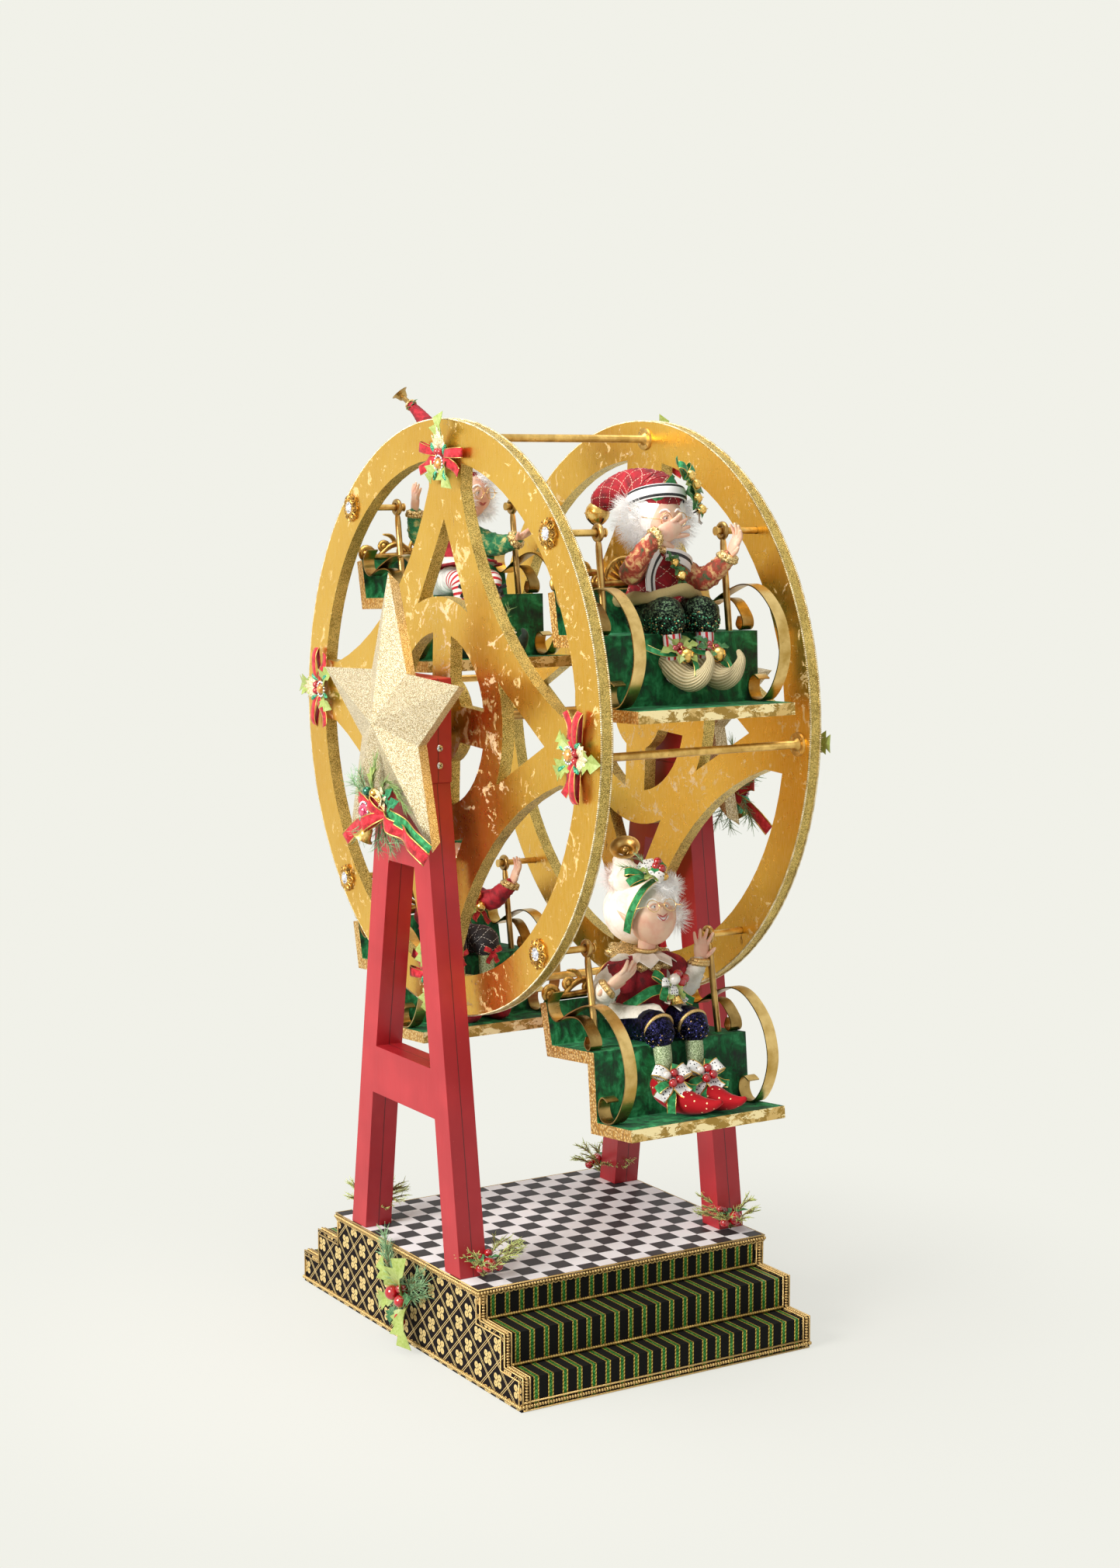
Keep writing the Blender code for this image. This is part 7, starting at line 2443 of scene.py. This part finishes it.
def rider_back_top():
    """Red cone hat that ends in a horn, both arms out, cream apron."""
    name = "back_top"
    body = start(name, "body")
    seat_of_breeches(body, WHITE_CLOTH)
    folds(body, [(0, -0.05, 0.034, 0.035, 0.035, 0.04), (0, -0.052, 0.044, 0.032, 0.03, 0.05),
                 (0, -0.051, 0.06, 0.029, 0.0255, 0.04), (0, -0.049, 0.074, 0.03, 0.022, 0.03),
                 (0, -0.047, 0.085, 0.023, 0.0175, 0.02), (0, -0.046, 0.0915, 0.0135, 0.013, 0.0)],
          RED_VELVET, 7, 0.4)
    apron = []
    for k in range(17):
        a = radians(-75 + 150 * k / 16)
        ripple = 1 + 0.05 * sin(k * 1.9)
        top = seat_spot(0.031 * sin(a), -0.051 + 0.031 * cos(a), 0.05)
        mid = seat_spot(0.042 * sin(a) * ripple, -0.048 + 0.045 * cos(a), 0.049)
        low = seat_spot(0.054 * sin(a) * ripple, -0.042 + 0.064 * cos(a) * ripple,
                        0.047 - 0.01 * abs(sin(a)))
        apron.append([top, mid, low, low - Vector((0, 0, 0.0015)), mid - Vector((0, 0, 0.0015)),
                      top - Vector((0, 0, 0.0015))])
    body.loft(apron, LINEN)
    body.tube([row[2] for row in apron], [0.0018] * len(apron), RED_VELVET, 8, steps=2)
    gathered(body, seat_spot(0, -0.0455, 0.093), (0, 0, 1), 0.019, 0.01, LAME, 11, 0.16)
    neck(body, (0, -0.043, 0.106))
    arm(body, [(-0.023, -0.048, 0.08), (-0.048, -0.043, 0.079), (-0.057, -0.037, 0.092),
               (-0.062, -0.031, 0.104)], GREEN_SLEEVE, LAME,
        (-0.05, 0.22, 1.0), (1.0, 0.1, 0.1), 0.04, 1, (0.015, 0.015, 0.012, 0.01), 0.2, 0.2, seed=0.3)
    arm(body, [(0.023, -0.048, 0.08), (0.042, -0.018, 0.065), (0.05, 0.002, 0.065), (0.056, 0.018, 0.069)],
        GREEN_SLEEVE, LAME, (0.3, 0.8, 0.42), (-0.3, -0.2, 1.0), 0.042, 1, (0.015, 0.015, 0.012, 0.01), 0.5,
        0.14, seed=0.8)
    for sign in (-1, 1):
        leg(body, sign, WHITE_CLOTH, RINGED_HOSE, 0.9, 0.0, True)
        tie = placed(seat_spot(sign * 0.025, 0.024, 0.008), (0, 1, 0))
        bow(body, tie, 0.011, 0.0045, BLACK_TIE, None, (0.4, 2.7), ((4.2, 0.012), (5.2, 0.012)))
        shoe(body, sign, DARK_SHOE, FLAT_SHOE, 1.1, 0.25)
        spot = placed(foot_spot(sign * 0.022 + 0.006, 0.03, 0.033), (0.1 * sign, 0.7, 0.7))
        spray(body, spot, 0.0165, HOLLY, 4, 0, 3 + sign, 5)
        poinsettia(body, lift(spot, 0.003, -0.01, 0.006), 0.0085, LINEN, BERRY)
    spray(body, placed(seat_spot(0.004, -0.018, 0.056), (0, 1, 0.3)), 0.015, HOLLY, 2, 1, 4, 4)
    body.done((f"rider_{name}_body",), radians(60))
    twig("doll_shoe_fir", [[(0.022, -0.03, 0.03), (0.026, -0.038, 0.05), (0.03, -0.04, 0.06)],
                           [(0.022, -0.03, 0.03), (0.016, -0.04, 0.046), (0.014, -0.046, 0.056)]],
         f"seat_{name}", pivot(name) @ Matrix.Translation(foot_spot(0, 0, 0)), FROND, 0.001, 0.01, 0.0005,
         1.6, 22)

    spot = placed(seat_spot(0.014, -0.027, 0.129), (0.22, 1.0, -0.05))
    head = start(name, "head")
    head_form(head, spot, HEAD_SIZE, 0.7)
    spectacles(head, spot, HEAD_SIZE)
    hat = [(0.008, -0.036, 0.15), (0.005, -0.05, 0.168), (0.001, -0.07, 0.188), (0.0, -0.088, 0.207),
           (0.0, -0.106, 0.224), (0.0, -0.126, 0.239), (0.0, -0.144, 0.25)]
    wrinkled_hat(head, hat, (0.03, 0.028, 0.021, 0.015, 0.011, 0.008, 0.006), RED_VELVET, 0.02)
    hoop(head, seat_spot(0.008, -0.037, 0.15), at_front((0.0, -0.45, 1)), 0.032, 0.003, WHITE_CLOTH, 2.2)
    stem = seat_line((0.0, -0.144, 0.25), (0.0, -0.156, 0.257), (-0.001, -0.165, 0.263))
    head.tube(stem, [0.005, 0.0036, 0.0034], AGED, 12, steps=3)
    hoop(head, seat_spot(0.0, -0.147, 0.252), at_front((0.0, -0.9, 0.5)), 0.0066, 0.0016, LAME)
    horn_bell(head, seat_spot(-0.002, -0.174, 0.27), at_front((-0.35, -0.3, 0.6)), 0.012, AGED, 0.9)
    spray(head, placed(seat_spot(-0.002, -0.137, 0.248), (-0.6, -0.2, 0.8)), 0.011, DARK_HOLLY, 0, 0, 2, 4)
    leaf = placed(seat_spot(0.02, -0.026, 0.172), (0.6, 0.6, 0.6))
    spray(head, leaf, 0.018, DARK_HOLLY, 3, 0, 4, 5)
    ribbon_tail(head, leaf, [(0, 0, 0.002), (0.014, 0.004, 0.005), (0.03, -0.002, 0.003)], 0.008,
                GREEN_RIBBON, EDGING)
    head.done((f"rider_{name}_head",), radians(60))
    hair_mass("hair", spot, (0.0335, 0.0335, 0.03), name, 0.015, 380000.0, 6)
    tufts(name, "fur_brow", lift(spot, 0.008, 0.021, 0.019), (0.015, 0.008, 0.009), 0.012, 700000.0, HAIR)
    tufts(name, "fur_side", lift(spot, -0.02, -0.006, 0.019), (0.007, 0.013, 0.008), 0.012, 700000.0, HAIR)
    tufts(name, "fur_beard", lift(spot, 0.016, -0.02, 0.017), (0.008, 0.009, 0.008), 0.011, 700000.0, HAIR)


BLACK_TIE = plush("black_tie", (0.003, 0.003, 0.003), (0.008, 0.008, 0.009), (0.02, 0.02, 0.02), 90.0, 0.3)


def rider_back_bottom():
    """Red jacket, black breeches with silver lattice, far hand raised."""
    name = "back_bottom"
    body = start(name, "body")
    seat_of_breeches(body, BLACK_LATTICE)
    folds(body, [(0, -0.05, 0.033, 0.036, 0.038, 0.04), (0, -0.052, 0.044, 0.032, 0.03, 0.05),
                 (0, -0.051, 0.06, 0.029, 0.0255, 0.04), (0, -0.049, 0.074, 0.03, 0.022, 0.03),
                 (0, -0.047, 0.085, 0.023, 0.0175, 0.02), (0, -0.046, 0.0915, 0.0135, 0.013, 0.0)],
          RED_VELVET, 9, 0.9)
    gathered(body, seat_spot(0, -0.0455, 0.093), (0, 0, 1), 0.019, 0.01, LAME, 11, 0.16)
    neck(body, (0, -0.043, 0.106))
    arm(body, [(-0.023, -0.048, 0.079), (-0.042, -0.03, 0.055), (-0.042, -0.012, 0.052),
               (-0.04, 0.0, 0.052)], RED_VELVET, LAME,
        (0.15, 0.95, 0.15), (0.8, 0.0, 0.5), 0.039, -1, seed=0.2)
    arm(body, [(0.023, -0.048, 0.079), (0.045, -0.01, 0.07), (0.053, 0.007, 0.08), (0.059, 0.019, 0.09)],
        RED_VELVET, LAME, (0.3, 0.34, 1.0), (-0.8, 0.0, 0.5), 0.039, 1, seed=1.2)
    for sign in (-1, 1):
        leg(body, sign, BLACK_LATTICE, GREEN_GLITTER)
        shoe(body, sign, RED_VELVET, FLAT_SHOE)
        spot = placed(foot_spot(sign * 0.022, 0.027, 0.03), (0.1 * sign, 0.7, 0.7))
        spray(body, spot, 0.016, HOLLY, 3, 0, 5 + sign, 5)
        jingle_bell(body, foot_spot(sign * 0.022, 0.036, 0.033), at_front((0.1, 0.5, -1)), 0.008)
        tie = placed(seat_spot(sign * 0.025, 0.024, 0.006), (0, 1, 0))
        bow(body, tie, 0.014, 0.0065, BOW_VELVET, EDGING, (0.4, 2.7), ((4.2, 0.016), (5.2, 0.016)))
    chest = placed(seat_spot(0.024, -0.018, 0.068), (0.3, 1, 0.3))
    spray(body, chest, 0.023, HOLLY, 3, 2, 4, 6)
    bow(body, lift(chest, 0.004, -0.008, 0.002), 0.022, 0.008, BOW_VELVET, EDGING, (0.3, 2.5),
        ((5.2, 0.026), (4.0, 0.022)))
    body.done((f"rider_{name}_body",), radians(60))

    spot = placed(seat_spot(0.0, -0.042, 0.13), (0.0, 1.0, 0.0))
    head = start(name, "head")
    head_form(head, spot, HEAD_SIZE, 0.9)
    spectacles(head, spot, HEAD_SIZE)
    hat = [(0.0, -0.048, 0.149), (-0.001, -0.056, 0.166), (-0.007, -0.067, 0.181), (-0.017, -0.08, 0.188),
           (-0.028, -0.092, 0.182), (-0.035, -0.099, 0.17), (-0.04, -0.102, 0.158), (-0.042, -0.103, 0.151)]
    wrinkled_hat(head, hat, (0.03, 0.029, 0.025, 0.0205, 0.0155, 0.0125, 0.0098, 0.005), GREEN_HAT)
    hoop(head, seat_spot(0.0, -0.047, 0.15), at_front((0.02, -0.4, 1)), 0.0325, 0.0032, LAME, 2.2)
    jingle_bell(head, seat_spot(-0.042, -0.103, 0.1395), at_front((0, 0, -1)), 0.012)
    spray(head, placed(seat_spot(-0.02, -0.023, 0.16), (-0.5, 0.8, 0.4)), 0.018, HOLLY, 3, 1, 3, 5)
    head.done((f"rider_{name}_head",), radians(60))
    hair_mass("hair", spot, (0.033, 0.033, 0.03), name, 0.015, 380000.0, 9)


GREEN_HAT = plush("green_hat", (0.002, 0.05, 0.02), (0.008, 0.15, 0.055), (0.04, 0.32, 0.13), 90.0, 0.5,
                  (0.5, 1.0, 0.7))

rider_front_top()
rider_back_top()
rider_back_bottom()
rider_front_bottom()


# Camera, floor and light

CAMERA_AT = (-1.604, -2.622, 1.053)
CAMERA_TILT = radians(7.08)
CAMERA_TURN = radians(-31.76)
LENS = 57.92
BACKDROP = (0.879, 0.879, 0.813)
FLOOR_R = 14.0
SHADOW_R = 0.9
FLOOR_SHOW = 0.26
LIGHT_TARGET = (0.0, 0.0, 0.6)


def add_camera():
    data = bpy.data.cameras.new("camera")
    data.lens = LENS
    data.sensor_width = 36.0
    data.clip_end = 100.0
    camera = bpy.data.objects.new("camera", data)
    camera.location = CAMERA_AT
    camera.rotation_euler = (pi / 2 - CAMERA_TILT, 0.0, CAMERA_TURN)
    bpy.context.scene.collection.objects.link(camera)
    bpy.context.scene.camera = camera


def add_light(name, at, size, power, colour=(1.0, 1.0, 1.0)):
    """A soft square light that looks at a point."""
    data = bpy.data.lights.new(name, "AREA")
    data.shape = "RECTANGLE"
    data.size, data.size_y = size
    data.energy = power
    data.color = colour
    lamp = bpy.data.objects.new(name, data)
    lamp.location = at
    lamp.rotation_euler = (Vector(at) - Vector(LIGHT_TARGET)).to_track_quat("Z", "Y").to_euler()
    bpy.context.scene.collection.objects.link(lamp)


def add_floor():
    """A pale floor that shows a weak shadow near the object and fades to the backdrop's own colour."""
    material = bpy.data.materials.new("pale_floor")
    material.use_nodes = True
    finish = Graph(material.node_tree)
    shader = finish.tree.nodes["Principled BSDF"]
    shader.inputs["Base Color"].default_value = (0.71, 0.71, 0.67, 1.0)
    shader.inputs["Roughness"].default_value = 0.9
    shader.inputs["Specular IOR Level"].default_value = 0.1
    at = finish.node("ShaderNodeTexCoord", None, (), "Object")
    away = finish.node("ShaderNodeVectorMath", {"operation": "LENGTH"}, [at], "Value")
    glow = finish.node("ShaderNodeEmission", None, {"Color": BACKDROP, "Strength": 1.0}, "Emission")
    share = 1 - (1 - away.fade(0.3, SHADOW_R)) * FLOOR_SHOW
    mixed = finish.node("ShaderNodeMixShader", None,
                        {0: share, 1: Value(finish, shader.outputs[0]), 2: glow}, "Shader")
    finish.tree.links.new(mixed.socket, finish.tree.nodes["Material Output"].inputs["Surface"])
    mesh = bpy.data.meshes.new("floor")
    bm = bmesh.new()
    bmesh.ops.create_circle(bm, cap_ends=True, segments=64, radius=FLOOR_R)
    bm.to_mesh(mesh)
    bm.free()
    mesh.materials.append(material)
    floor = bpy.data.objects.new("floor", mesh)
    bpy.context.scene.collection.objects.link(floor)


def add_world():
    """A soft studio: pale all round, a little brighter above and dimmer on the right."""
    world = bpy.data.worlds.new("studio")
    world.use_nodes = True
    bpy.context.scene.world = world
    graph = Graph(world.node_tree)
    way = graph.node("ShaderNodeTexCoord", None, (), "Generated").split()
    rise = way[2].fade(-0.4, 0.9)
    side = way[0].fade(-0.8, 0.8)
    front = (0 - way[1]).fade(-0.3, 0.9)
    tone = graph.node("ShaderNodeCombineXYZ", None, [0.42 + rise * 0.34 - side * 0.24 - front * 0.26] * 3)
    soft = graph.node("ShaderNodeBackground", None, {"Color": tone, "Strength": 0.72}, "Background")
    plain = graph.node("ShaderNodeBackground", None, {"Color": BACKDROP, "Strength": 1.0}, "Background")
    rays = graph.node("ShaderNodeLightPath").socket.node.outputs
    seen = [Value(graph, rays[kind]) for kind in ("Is Camera Ray", "Is Glossy Ray", "Is Transmission Ray")]
    shown = graph.node("ShaderNodeMixShader", None,
                       {0: seen[0].largest(seen[1]).largest(seen[2]), 1: soft, 2: plain}, "Shader")
    graph.tree.links.new(shown.socket, graph.tree.nodes["World Output"].inputs["Surface"])


add_camera()
add_world()
add_floor()
add_light("key", (-3.3, -0.55, 1.9), (1.8, 1.8), 178.0, (1.0, 0.98, 0.95))
add_light("front", (0.4, -3.4, 1.9), (1.2, 1.2), 5.0, (1.0, 0.98, 0.96))
add_light("top", (-0.4, -0.2, 3.4), (1.8, 1.8), 46.0)
bpy.context.scene.view_settings.view_transform = "Standard"
